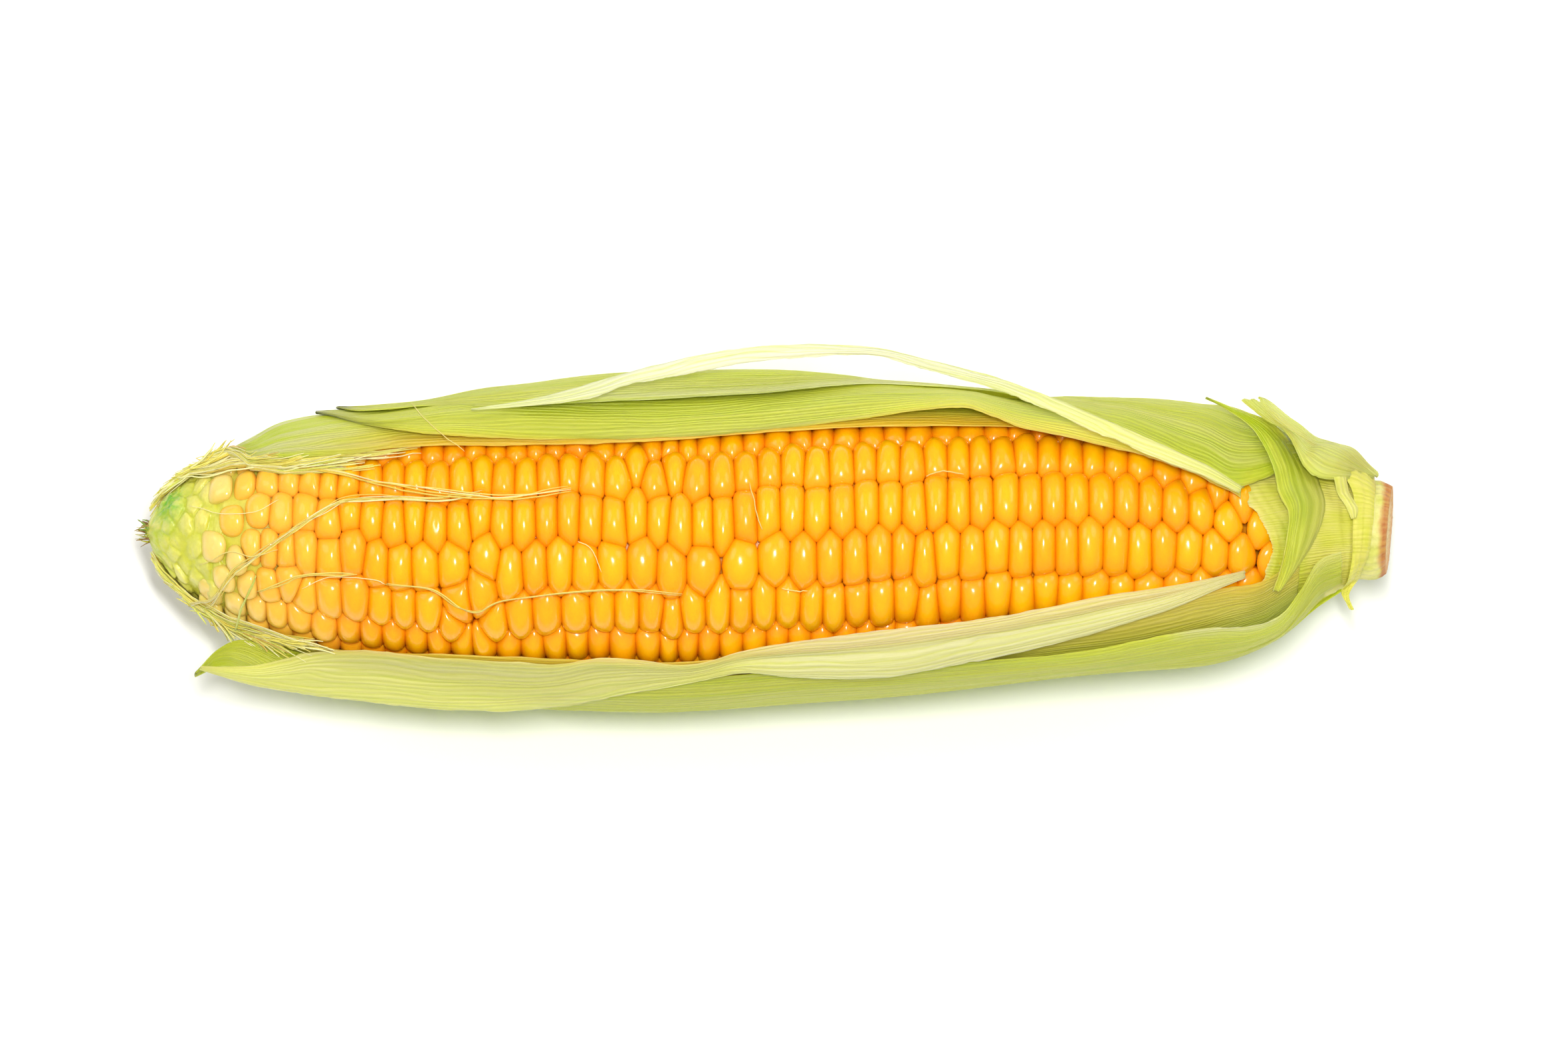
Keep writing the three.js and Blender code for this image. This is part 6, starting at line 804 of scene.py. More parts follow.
# ------------------------------------------------------------------ cob and tip
def cob():
    xs = np.concatenate([np.linspace(-113.9, -112.6, 6), np.linspace(-112.2, -99.0, 74)])
    NA = 300
    th = np.arange(NA) / NA * 360 - 180
    prof_x = [-114.2, -113.4, -112.4, -111.0, -109.0, -105.5, -102.0, -99, -97]
    prof_r = [0.8, 2.6, 4.6, 6.3, 8.4, 11.0, 13.2, 14.0, 14.2]
    X, TH = np.meshgrid(xs, th, indexing="ij")
    R = np.interp(X, prof_x, prof_r)
    # undeveloped kernels: soft cells in the same rows
    cx, ct = [], []
    r0 = np.random.default_rng(5)
    for k in range(16):
        a = 14 + 22.5 * k
        for m, x in enumerate((-99.6, -103.2, -106.6, -109.6, -111.9)):
            cx.append(x + 1.7 * (k % 2) + r0.normal(0, 0.6))
            ct.append(a + r0.normal(0, 4.5))
    cx, ct = np.array(cx), np.array(ct)
    best = np.full(X.shape, 9.0)
    second = np.full(X.shape, 9.0)
    which = np.zeros(X.shape, int)
    for i in range(len(cx)):
        d = np.hypot(X - cx[i], np.radians((TH - ct[i] + 180) % 360 - 180) * R * 0.62)
        better = d < best
        second = np.where(better, best, np.minimum(second, d))
        which = np.where(better, i, which)
        best = np.where(better, d, best)
    rnd = r0.random(len(cx))
    warp = best + 0.35 * fbm(X * 0.9, TH * 0.12, 61)
    cell = np.exp(-(np.maximum(warp, 0) / (1.15 + 0.75 * rnd[which])) ** 2.6) * smooth(0.0, 0.6, second - best)
    amp = (0.25 + 0.75 * smooth(-112.0, -105.0, X)) * (0.35 + 0.9 * rnd[which])
    knob = np.exp(-((X + 109.3) / 2.4) ** 2 - ((TH - 42) / 24) ** 2)
    R = R - 0.75 + 1.15 * cell * amp + 0.30 * fbm(X * 0.8, TH * 0.10, 11) + 0.16 * fbm(X * 2.4, TH * 0.3, 12)
    R = R + knob * (1.3 + 0.9 * fbm(X * 1.1, TH * 0.16, 13))
    R = np.maximum(R, 0.5)
    green = 1 - smooth(-112.6, -106.5, X + 2.2 * fbm(X * 0.3, TH * 0.05, 31))
    pale = lin((236, 230, 160))
    dome = lin((240, 224, 146))
    groove = lin((214, 214, 92))
    lime = lin((170, 200, 44))
    vivid = lin((104, 182, 44))
    cc = cell * (0.45 + 0.55 * rnd[which])
    c = groove + (pale - groove) * np.clip(cc * 1.1 + 0.25 * fbm(X * 0.6, TH * 0.09, 51), 0, 1)[..., None]
    warm = (rnd[which] > 0.45) * smooth(-108.0, -100.5, X) * cell
    c = c + (dome - c) * (warm * 0.9)[..., None]
    c = c + (lime - c) * (green * 0.55 * smooth(-0.5, 0.5, fbm(X * 0.8, TH * 0.1, 8)))[..., None]
    c = c + (vivid - c) * np.clip(knob * 1.5 * (0.55 + 0.6 * fbm(X * 1.2, TH * 0.2, 9)), 0, 0.9)[..., None]
    # core below the kernels
    core = [(-97.0, 14.3), (-95.0, 15.0), (-92.0, 15.8), (-89.5, 15.8), (-82.3, 16.6), (-65.3, 18.8), (-37.2, 20.2), (17.7, 20.4), (54.3, 19.4), (72.6, 17.6), (84.8, 14.8), (92.3, 9.6)]
    rows = [at(X, TH, R)]
    cols = [c]
    for x, r in core:
        rows.append(at(np.full(NA, x), th, r)[None])
        cols.append(np.broadcast_to(lin((222, 214, 104)) if x < -89 else lin((250, 158, 40)), (1, NA, 3)))
    V = np.concatenate(rows, 0)
    C = np.concatenate(cols, 0)
    nr = V.shape[0]
    V = np.concatenate([V.reshape(-1, 3), at(-114.5, 0, 0).reshape(1, 3), at(92.4, 0, 0).reshape(1, 3)])
    C = np.concatenate([C.reshape(-1, 3), lime[None], lime[None]])
    j = np.arange(NA)
    s, e, last = nr * NA, nr * NA + 1, (nr - 1) * NA
    tt = np.concatenate([np.stack([np.full(NA, s), j, (j + 1) % NA], -1), np.stack([np.full(NA, e), last + (j + 1) % NA, last + j], -1)])
    make("cob_body", V, grid_quads(nr, NA, wrap=True), tt, COBM, color=C, replaces=("cob",))


cob()

# ----------------------------------------------------------------- husk leaves
GREEN = lin((206, 232, 50))
YGREEN = lin((236, 246, 84))
LGREEN = lin((242, 248, 134))
PALE = lin((240, 236, 146))
WHITE = lin((240, 238, 196))
YELLOWL = lin((226, 206, 84))
GOLD_SHADE_REFLECTION = lin((232, 190, 52))


def blend(a, b, t):
    return a + (b - a) * np.asarray(t)[..., None]


def leaf(name, mat, paint, length, width, nu=170, nv=70, thick=0.30, ragged=(0, 0, 0, 0), wave=0.25, flat=False,
         seed=1, extra=None, tears=(), grid=None, piece=None, smallwave=0.05):
    """Thin closed leaf on the control net of its node.
    ragged: jitter in mm of the four margins (first across, last across, first along, last along)."""
    s = np.linspace(0, 1, nu)[:, None]
    t = 0.5 - 0.5 * np.cos(np.linspace(0, 1, nv) * math.pi)[None]
    t = 0.35 * t + 0.65 * np.linspace(0, 1, nv)[None]
    sl = s * length
    lo = ragged[0] / width * (0.5 + 0.5 * fbm(sl * 0.35, 0.0, seed)) + 0.25 * ragged[0] / width * np.abs(noise(sl * 1.9, 5.0, seed + 5))
    hi = ragged[1] / width * (0.5 + 0.5 * fbm(sl * 0.35, 9.0, seed + 3)) + 0.25 * ragged[1] / width * np.abs(noise(sl * 1.9, 8.0, seed + 6))
    for (a, b, depth, side) in tears:
        f = np.clip(1 - np.abs((s - a) / b), 0, 1) * depth / width
        if side:
            hi = hi + f
        else:
            lo = lo + f
    T = lo + (1 - lo - hi) * t
    S = np.broadcast_to(s, T.shape).copy()
    if ragged[2] or ragged[3]:
        a = ragged[2] / length * (0.5 + 0.5 * fbm(0.0, t * width * 0.4, seed + 7)) * np.ones_like(s)
        b = ragged[3] / length * (0.5 + 0.5 * fbm(0.0, t * width * 0.4, seed + 8)) * np.ones_like(s)
        S = a + (1 - a - b) * S
    g = net(LEAVES[name] if grid is None else grid, S, T)
    ctl = at(g[..., 0], g[..., 1], g[..., 2])
    du = np.gradient(ctl, axis=0)
    dv = np.gradient(ctl, axis=1)
    nrm = np.cross(du, dv)
    nrm /= np.linalg.norm(nrm, axis=-1, keepdims=True) + 1e-15
    # outward is away from the ear's axis
    ax = at(g[..., 0], 0, 0)
    sign = np.sign(((ctl - ax) * nrm).sum(-1).mean())
    out = nrm * sign
    h = wave * (0.6 * fbm(S * length * 0.035, T * width * 0.16, seed + 20) + 0.4 * fbm(S * length * 0.02, T * width * 0.55, seed + 30))
    h = h + smallwave * np.sin(2 * math.pi * T * width / 1.9 + 2 * noise(S * 4, T * 5, seed + 9))
    if extra is not None:
        h = h + extra(S, T)
    mid = ctl + out * (h * 1e-3)[..., None]
    edge = np.minimum(np.minimum(T - lo, 1 - hi - T) * width / 0.8, 1)
    th = thick * (0.3 + 0.7 * np.clip(edge, 0, 1)) * 0.5e-3
    top, bot = mid + out * th[..., None], mid - out * th[..., None]
    if flat:
        top[..., 2] = np.maximum(top[..., 2], 0.0)
        bot[..., 2] = np.maximum(bot[..., 2], thick * 1e-3)
    col = paint(S, T)
    V = np.concatenate([top.reshape(-1, 3), bot.reshape(-1, 3)])
    C = np.concatenate([col.reshape(-1, 3), col.reshape(-1, 3)])
    UV = np.stack([S * length * 0.1, T * width * 0.1], -1).reshape(-1, 2)
    UV = np.concatenate([UV, UV + [0, 0.013]])
    o = nu * nv
    f = sign < 0
    q = [grid_quads(nu, nv, 0, f), grid_quads(nu, nv, o, not f)]
    i = np.arange(nu - 1)
    j = np.arange(nv - 1)
    w = [np.stack([(i + 1) * nv, i * nv, i * nv + o, (i + 1) * nv + o], -1),
         np.stack([i * nv + nv - 1, (i + 1) * nv + nv - 1, (i + 1) * nv + nv - 1 + o, i * nv + nv - 1 + o], -1),
         np.stack([j, j + 1, j + 1 + o, j + o], -1),
         np.stack([(nu - 1) * nv + j + 1, (nu - 1) * nv + j, (nu - 1) * nv + j + o, (nu - 1) * nv + j + 1 + o], -1)]
    w = np.concatenate(w)
    q.append(w[:, ::-1] if f else w)
    return make(piece or name + "_skin", V, np.concatenate(q), None, mat, color=C, uv=UV, replaces=(name,))


# thin pointed ends
for nm, k in (("middle_leaf_back", 0), ("outer_leaf_back", 0)):
    row = LEAVES[nm][k]
    m = row[len(row) // 2]
    LEAVES[nm][k] = [[a + (b - a) * 0.96 for a, b in zip(p, m)] for p in row]
LEAVES["inner_leaf_front"] = LEAVES["inner_leaf_front"] + [
    [[93.6, -24 - 25 * j, 17.0 + 0.06 * j] for j in range(6)], [[96.8, -18 - 26 * j, 15.5] for j in range(6)]]
SHEATH_R = ([77.5, 84.7, 90.1, 93.1, 96.1, 101.6, 107.1, 108.5], [21.95, 20.15, 17.85, 16.8, 15.45, 12.5, 9.75, 9.3])
SHEATH = []
for x0, t0, t1 in ((76.0, 60, 84), (82.2, 27.5, 60), (85.2, 20.0, 42), (87.9, 9.5, 24), (89.8, 2.0, 8), (90.9, -8.0, -8), (90.9, -15.5, -24), (89.6, -30.0, -45), (88.0, -48.0, -66), (88.0, -70.0, -84)):
    xs_ = [x0 + (107.3 - x0) * f for f in (0, 0.14, 0.3, 0.48, 0.68, 0.86, 1.0)]
    SHEATH.append([[x, t0 + (t1 - t0) * f, float(np.interp(x, *SHEATH_R))] for x, f in zip(xs_, (0, 0.14, 0.3, 0.48, 0.68, 0.86, 1.0))])
LEAVES["base_sheath"] = SHEATH
# the middle back leaf lies close over the inner one near the tip
for nm, last, cuts, over in (("middle_leaf_back", 11, (2.6, 0.2), 1.2),):
    for i in range(1, last):
        for j, cut in enumerate(cuts):
            p = LEAVES[nm][i][j]
            h = p[2] * math.sin(math.radians(p[1]))
            r = max(p[2] - cut * min(1, (last - i) / 3), crown(p[0]) + over)
            if h < r * 0.995:
                p[1], p[2] = math.degrees(math.asin(h / r)), r
for row in LEAVES["outer_leaf_back"][1:13]:
    mid = min(LEAVES["middle_leaf_back"], key=lambda m: abs(m[0][0] - row[0][0]))
    for j, cut in ((0, 9.0), (1, 1.5)):
        p = row[j]
        h = p[2] * math.sin(math.radians(p[1]))
        r = min(p[2], max(p[2] - cut, max(mid[1][2], mid[2][2]) + 0.45, h / 0.985))
        t1 = math.degrees(math.asin(h / r))
        p[1], p[2] = (t1 if p[1] <= 90 else 180 - t1), r
row = LEAVES["torn_leaf_strip"][0]
LEAVES["torn_leaf_strip"][0] = [[a + (b - a) * 0.9 for a, b in zip(p, row[1])] for p in row]
for i, a in ((-3, 30), (-2, 52), (-1, 66)):
    row = LEAVES["outer_leaf_back"][i]
    t0 = row[0][1]
    for p in row:
        p[1] = a + (p[1] - t0) * (160 - a) / (160 - t0)
BAND = [[list(p) for p in r] for r in LEAVES["torn_band"]]
for i, w in enumerate((0, 0, 1.0, 2.6, 3.4, 3.2, 3.0, 2.6, 1.6, 0.6)):
    p = BAND[i][2]
    p[0] += w
    if i >= 3:
        p[2] = float(np.interp(p[0], *SHEATH_R)) + 0.45
        BAND[i][1][2] = max(BAND[i][1][2] - 0.5, float(np.interp(BAND[i][1][0], *SHEATH_R)) + 0.6)
LEAVES["torn_band"] = BAND
LEAVES["stem_ring_leaf"] = [
    [[101.0, 128, 14.6], [104.5, 128, 13.5], [108.0, 128, 11.2], [111.0, 128, 9.3]],
    [[100.8, 97, 15.4], [104.5, 97, 14.6], [108.5, 97, 12.2], [111.3, 97, 9.6]],
    [[101.6, 74, 15.5], [105.0, 74, 14.8], [108.8, 74, 12.4], [111.5, 74, 9.7]],
    [[104.2, 55, 14.0], [106.6, 55, 13.1], [109.2, 55, 11.4], [111.5, 55, 9.6]],
    [[106.6, 37, 11.3], [108.0, 37, 11.1], [109.6, 37, 10.4], [111.0, 37, 9.6]],
    [[106.6, 15, 10.8], [107.9, 15, 10.8], [109.3, 15, 10.4], [110.6, 14, 9.6]],
    [[106.5, -5, 10.7], [107.8, -5, 10.7], [109.1, -5, 10.3], [110.3, -6, 9.6]],
    [[106.5, -25, 10.7], [107.6, -25, 10.6], [108.7, -26, 10.2], [109.7, -28, 9.6]],
    [[106.0, -45, 12.2], [107.0, -46, 10.9], [107.9, -47, 10.0], [108.8, -49, 9.5]],
    [[105.4, -67, 11.4], [106.3, -68, 10.6], [107.2, -69, 10.0], [108.2, -70, 9.7]],
    [[105.0, -76, 11.7], [105.7, -73, 11.6], [106.4, -71, 11.4], [107.0, -69, 11.3]],
    [[105.3, -75.2, 12.6], [105.7, -74, 13.0], [106.1, -73, 13.0], [106.5, -72, 12.8]],
    [[106.5, -73.5, 14.6], [106.8, -75, 15.0], [107.1, -76, 15.1], [107.4, -77, 15.0]]]


# inner back leaf: yellow margin next to the kernels with painted shade and a painted orange reflection of the kernels,
# green tip with pale streaks
def p_inner_back(S, T):
    c = blend(YELLOWL, YGREEN, smooth(0.03, 0.22, T))
    # painted shade and orange reflection of the kernels on the margin
    c = blend(c, GOLD_SHADE_REFLECTION, (1 - smooth(0.0, 0.10, T)) * smooth(0.15, 0.4, S) * 0.8)
    tip = 1 - smooth(0.10, 0.30, S)
    st = smooth(-0.1, 0.5, fbm(S * 3, T * 26, 41))
    c = blend(c, blend(GREEN, WHITE, st * 0.75), tip * 0.85)
    return c


leaf("inner_leaf_back", LEAF_PALE, p_inner_back, 195, 60, ragged=(0.5, 0.5, 1, 1), seed=3)


def p_middle_back(S, T):
    c = blend(YGREEN, GREEN, 0.45 * smooth(-0.2, 0.6, fbm(S * 2.5, T * 14, 51)))
    w = smooth(0.05, 0.55, fbm(S * 2.2 + 3, T * 18, 52)) * (1 - smooth(0.05, 0.3, T) * 0.5)
    c = blend(c, LGREEN, w * 0.8)
    c = blend(c, YELLOWL, (1 - smooth(0.0, 0.035, T)) * 0.75)
    c = blend(c, WHITE, (1 - smooth(0.0, 0.09, S)) * 0.3)
    return c


leaf("middle_leaf_back", LEAF, p_middle_back, 180, 62, ragged=(0.7, 0.5, 1, 1), seed=5, wave=0.4)


def p_outer_back(S, T):
    c = blend(YGREEN, GREEN, 0.55 * smooth(-0.3, 0.7, fbm(S * 2.5, T * 12, 61)) + 0.25 * smooth(0.6, 0.9, S))
    w = (1 - smooth(0.0, 0.16, T)) * smooth(0.16, 0.26, S) * (1 - smooth(0.42, 0.56, S))
    c = blend(c, WHITE, w * 0.75)
    c = blend(c, LGREEN, smooth(0.1, 0.6, fbm(S * 2, T * 22, 62)) * 0.6)
    return c


leaf("outer_leaf_back", LEAF, p_outer_back, 190, 74, nu=190, nv=84, ragged=(0.9, 0.4, 2, 1.5), seed=7, wave=0.35)


def p_strip(S, T):
    c = blend(lin((246, 244, 214)), LGREEN, smooth(0.5, 0.85, S) * 0.8)
    c = blend(c, LGREEN, (1 - smooth(0.0, 0.2, S)) * 0.6)
    return blend(c, YGREEN, smooth(0.0, 0.7, fbm(S * 2, T * 7, 71)) * 0.45)


leaf("torn_leaf_strip", LEAF_STRIP, p_strip, 150, 3.2, nu=200, nv=14, ragged=(0.3, 0.5, 1, 1), seed=9, wave=0.15, thick=0.25)


def p_inner_front(S, T):
    c = blend(YELLOWL, LGREEN, smooth(0.05, 0.3, T))
    # painted shade and orange reflection of the kernels on the margin
    return blend(c, GOLD_SHADE_REFLECTION, (1 - smooth(0.0, 0.06, T)) * 0.35)


leaf("inner_leaf_front", LEAF_PALE, p_inner_front, 195, 60, ragged=(0.5, 0.5, 1, 1), seed=11)


def p_middle_front(S, T):
    c = blend(PALE, LGREEN, 0.5 * smooth(-0.2, 0.6, fbm(S * 2.5, T * 9, 81)))
    c = blend(c, YELLOWL, 0.35 * (1 - smooth(0.0, 0.25, T)) * (1 - smooth(0.35, 0.5, S)))
    c = blend(c, WHITE, smooth(0.5, 0.62, S) * 0.55)
    return c


leaf("middle_leaf_front", LEAF_PALE, p_middle_front, 195, 10, nu=210, nv=34, ragged=(0.35, 0.4, 1, 1), seed=13, wave=0.3,
     extra=lambda S, T: -1.0 * smooth(0.5, 0.58, S) * (1 - smooth(0.86, 0.97, S)) * np.exp(-((T - 0.45) / 0.16) ** 2))


def p_outer_front(S, T):
    c = blend(YGREEN, GREEN, 0.6 * smooth(-0.3, 0.6, fbm(S * 2.5, T * 14, 91)))
    c = blend(c, GREEN, (1 - smooth(0.03, 0.1, S)) * 0.8)
    c = blend(c, WHITE, (1 - smooth(0.0, 0.07, T)) * smooth(0.7, 0.74, S) * (1 - smooth(0.84, 0.9, S)) * 0.7)
    c = blend(c, LGREEN, smooth(0.1, 0.6, fbm(S * 2, T * 22, 92)) * 0.6)
    c = blend(c, PALE, smooth(0.9, 0.97, S) * (1 - smooth(0.02, 0.12, T)) * 0.8)
    return c


leaf("outer_leaf_front", LEAF, p_outer_front, 200, 66, nu=190, nv=80, ragged=(0.6, 0.4, 1, 1), seed=15, wave=0.35)


def p_bottom(S, T):
    c = blend(GREEN, YGREEN, smooth(-0.4, 0.6, fbm(S * 2.5, T * 14, 101)))
    return blend(c, LGREEN, smooth(0.2, 0.7, fbm(S * 2, T * 22, 102)) * 0.5)


leaf("bottom_leaf", LEAF, p_bottom, 205, 62, nu=170, nv=80, ragged=(0.6, 0.6, 1.5, 1.5), flat=True, seed=17, wave=0.3)


def p_sheath(S, T):
    c = blend(lin((238, 232, 142)), lin((228, 228, 104)), smooth(-0.3, 0.5, fbm(S * 7, T * 3, 111)))
    c = blend(c, lin((190, 210, 50)), np.exp(-((T - 0.30) / 0.13) ** 2) * smooth(0.35, 0.5, S) * 0.8)
    return blend(c, lin((240, 236, 190)), (1 - smooth(0.0, 0.10, T)) * 0.8 * smooth(0.1, 0.3, S))


leaf("base_sheath", LEAF_SHEATH, p_sheath, 50, 22, nu=140, nv=70, ragged=(1.6, 0.1, 0.6, 0.6), seed=19, wave=0.3)


def p_band(S, T):
    c = blend(lin((190, 208, 52)), YGREEN, smooth(-0.2, 0.6, fbm(S * 5, T * 3, 121)) * 0.8)
    c = blend(c, lin((222, 220, 108)), smooth(0.55, 0.95, T) * 0.9)
    return blend(c, LGREEN, (1 - smooth(0.0, 0.10, T)) * 0.8)


leaf("torn_band", LEAF, p_band, 42, 9, nu=100, nv=34, ragged=(0.6, 0.2, 0.5, 0.8), seed=21, wave=0.3)


def p_stub(S, T):
    c = blend(LGREEN, YELLOWL, smooth(-0.2, 0.6, fbm(S * 6, T * 3, 131)) * 0.6)
    return blend(c, YGREEN, (1 - smooth(0.0, 0.3, T)) * 0.5)


leaf("folded_stub_leaf", LEAF, p_stub, 32, 20, nu=80, nv=60, ragged=(0.4, 0.5, 0.5, 0.3), seed=23, wave=0.3)


def p_ring(S, T):
    c = blend(lin((236, 230, 128)), lin((226, 226, 98)), smooth(-0.2, 0.6, fbm(S * 8, T * 3, 141)) * 0.8)
    return blend(c, lin((206, 176, 84)), smooth(0.72, 1.0, T) * (1 - smooth(0.2, 0.4, S)) * 0.6)


leaf("stem_ring_leaf", LEAF_SHEATH, p_ring, 42, 6, nu=130, nv=34, ragged=(0.25, 0.3, 0.2, 0.4), seed=25, wave=0.2)
leaf("torn_shred", LEAF_STRIP, p_ring, 9, 2.4, nu=40, nv=14, ragged=(0.2, 0.2, 0.1, 0.3), seed=27, wave=0.15)


# ------------------------------------------------------------------------ stem
def stem():
    NA = 180
    th = np.arange(NA) / NA * 360 - 180
    prof = [(93.7, 8.0), (97, 8.4), (101, 8.5), (106.5, 8.55), (108.5, 8.9), (110.5, 9.1), (112.2, 8.9), (113.3, 8.35), (114.1, 7.9)]
    xs = np.linspace(93.7, 114.1, 52)
    X, TH = np.meshgrid(xs, th, indexing="ij")
    R = np.interp(X, [p[0] for p in prof], [p[1] for p in prof])
    rib = 0.10 * np.sin(np.radians(TH) * 34 + 2 * noise(X * 0.2, TH * 0.03, 4)) + 0.22 * fbm(X * 0.25, TH * 0.06, 6)
    rim = smooth(112.8, 113.4, X + 0.6 * fbm(TH * 0.09, 0, 16)) * (1 - 0.5 * smooth(113.4, 114.0, X))
    R = R + rib + 0.22 * rim * noise(TH * 0.35, X, 17)
    cut = np.clip((X - 108) / 6, 0, None) * 1.15 * np.cos(np.radians(TH - 150))
    flesh = lin((222, 222, 110))
    flesh2 = lin((236, 230, 148))
    brown = lin((186, 96, 48))
    c = blend(flesh, flesh2, smooth(-0.4, 0.5, fbm(X * 0.3, TH * 0.08, 26)))
    c = blend(c, lin((214, 150, 84)), smooth(112.0, 113.3, X + 0.9 * fbm(TH * 0.05, 0, 36)) * 0.85)
    c = blend(c, brown, rim * (0.55 + 0.45 * noise(TH * 0.5, X * 0.5, 18)))
    rows, cols = [at(X + cut, TH, R)], [c]
    # the cut face, fibrous, slightly hollow
    for f in np.linspace(0.965, 0.05, 16):
        rr = R[-1] * f
        x = 114.1 + cut[-1] * f + 0.1 - 0.9 * (1 - f) ** 0.7 + 0.16 * fbm(rr * np.cos(np.radians(th)) * 1.3, rr * np.sin(np.radians(th)) * 1.3, 44)
        rows.append(at(x, th, rr)[None])
        face = blend(lin((222, 158, 92)), lin((236, 206, 140)), smooth(1.0, 0.55, np.full(NA, f)) if False else np.full(NA, smooth(0.98, 0.6, f) if False else np.clip((0.98 - f) / 0.4, 0, 1)))
        face = blend(face, brown, np.clip(0.45 * noise(th * 0.4, f * 30, 19), 0, 1))
        cols.append(face[None])
    V, C = np.concatenate(rows), np.concatenate(cols)
    nr = V.shape[0]
    V = np.concatenate([V.reshape(-1, 3), at(93.8, 0, 0).reshape(1, 3), at(113.3, 0, 0).reshape(1, 3)])
    C = np.concatenate([C.reshape(-1, 3), flesh[None], lin((236, 206, 140))[None]])
    j = np.arange(NA)
    s, e, last = nr * NA, nr * NA + 1, (nr - 1) * NA
    tt = np.concatenate([np.stack([np.full(NA, s), j, (j + 1) % NA], -1), np.stack([np.full(NA, e), last + (j + 1) % NA, last + j], -1)])
    make("stem_body", V, grid_quads(nr, NA, wrap=True), tt, STEMM, color=C, replaces=("stem",))


stem()

# ----------------------------------------------------------------------- silks
def strands(name, curves, count, spread, radius, replaces, seed, k=26, colors=((244, 222, 112), (250, 238, 170), (232, 202, 84)), jitter=0.5, lift=0.25, ends=0.0):
    """Bunches of hair-fine strands that follow guide paths over the kernels.
    curves: lists of (x, angle, height above the crowns)."""
    r0 = np.random.default_rng(seed)
    paths, radii, cols = [], [], []
    for ci, cv in enumerate(curves):
        g = np.array(cv, float)
        for _ in range(count):
            a, b = (r0.uniform(0, ends), 1 - r0.uniform(0, ends)) if ends else (0.0, 1.0)
            q = np.linspace(a, b, k)
            p = net(np.stack([g, g]), np.zeros(k), q) if False else net(np.stack([g, g], 1), q, np.zeros(k))
            off = r0.normal(0, 1, 2) * spread
            wob = [jitter * fbm(q * 5 + r0.uniform(0, 50), 0.0, seed + 9) for _ in range(2)]
            x = p[:, 0] + off[0] + wob[0]
            R = crown_all(x)
            th = p[:, 1] + np.degrees((off[1] + wob[1]) / np.maximum(R, 5))
            h = p[:, 2] + lift * (0.5 + 0.5 * fbm(q * 4 + r0.uniform(0, 50), 3.0, seed + 19))
            paths.append(at(x, th, R + h))
            radii.append(radius * r0.uniform(0.7, 1.25) * (1 - 0.55 * (2 * np.linspace(0, 1, k) - 1) ** 6) * 1e-3)
            cols.append(lin(colors[r0.integers(len(colors))]) * r0.uniform(0.85, 1.1))
    return tubes(name, paths, radii, SILK, cols, replaces=replaces)


def crown_all(x):
    """Crown radius with the bare tip included."""
    return np.interp(x, [-114.4, -113, -111, -109, -105.5, -100.7, -98, -94, -87, -77, -65, -50, -37, 40, 66, 80, 90],
                     [1.0, 3.6, 6.6, 8.6, 11.6, 14.4, 16.0, 17.2, 19.4, 21.5, 23, 23.8, 24.4, 24.6, 22.8, 21, 17.5])


strands("silk_bunch_1", [[[-52.0,22.4,0.55],[-59.2,19.8,0.55],[-67.6,20.7,0.55],[-75.9,19.9,0.55],[-80.9,13.8,0.55],[-86.3,3.4,0.55],[-92.6,-10.1,0.55],[-97.9,-25.8,0.55],[-102.6,-68.3,0.55]]], 7, 0.22, 0.13, ("silk_strand_1",), 101, k=60, jitter=0.7)
strands("silk_bunch_2", [[[-86.9,40.7,1.0],[-74.6,29.7,1.0],[-65.9,24.3,1.0],[-55.9,20.6,1.0],[-45.1,19.5,1.0],[-35.7,23.1,1.0]]], 4, 0.2, 0.13, ("silk_strand_2",), 102, k=50, jitter=0.6)
strands("silk_bunch_3", [[[-92.4,-31.6,0.5],[-87.6,-23.3,0.5],[-84.3,-18.5,0.5],[-78.8,-16.1,0.5],[-74.6,-15.3,0.5]]], 3, 0.15, 0.12, ("silk_strand_3",), 103, k=24, jitter=0.3)
strands("silk_bunch_4", [[[-69.1,-19.3,0.45],[-60.9,-20.9,0.45],[-55.9,-28.9,0.45],[-52.3,-30.3,0.45],[-48.1,-24.6,0.45],[-37.1,-20.1,0.45],[-26.2,-18.4,0.45],[-15.3,-20.6,0.45]]], 2, 0.12, 0.12, ("silk_strand_4",), 104, k=50, jitter=0.4)


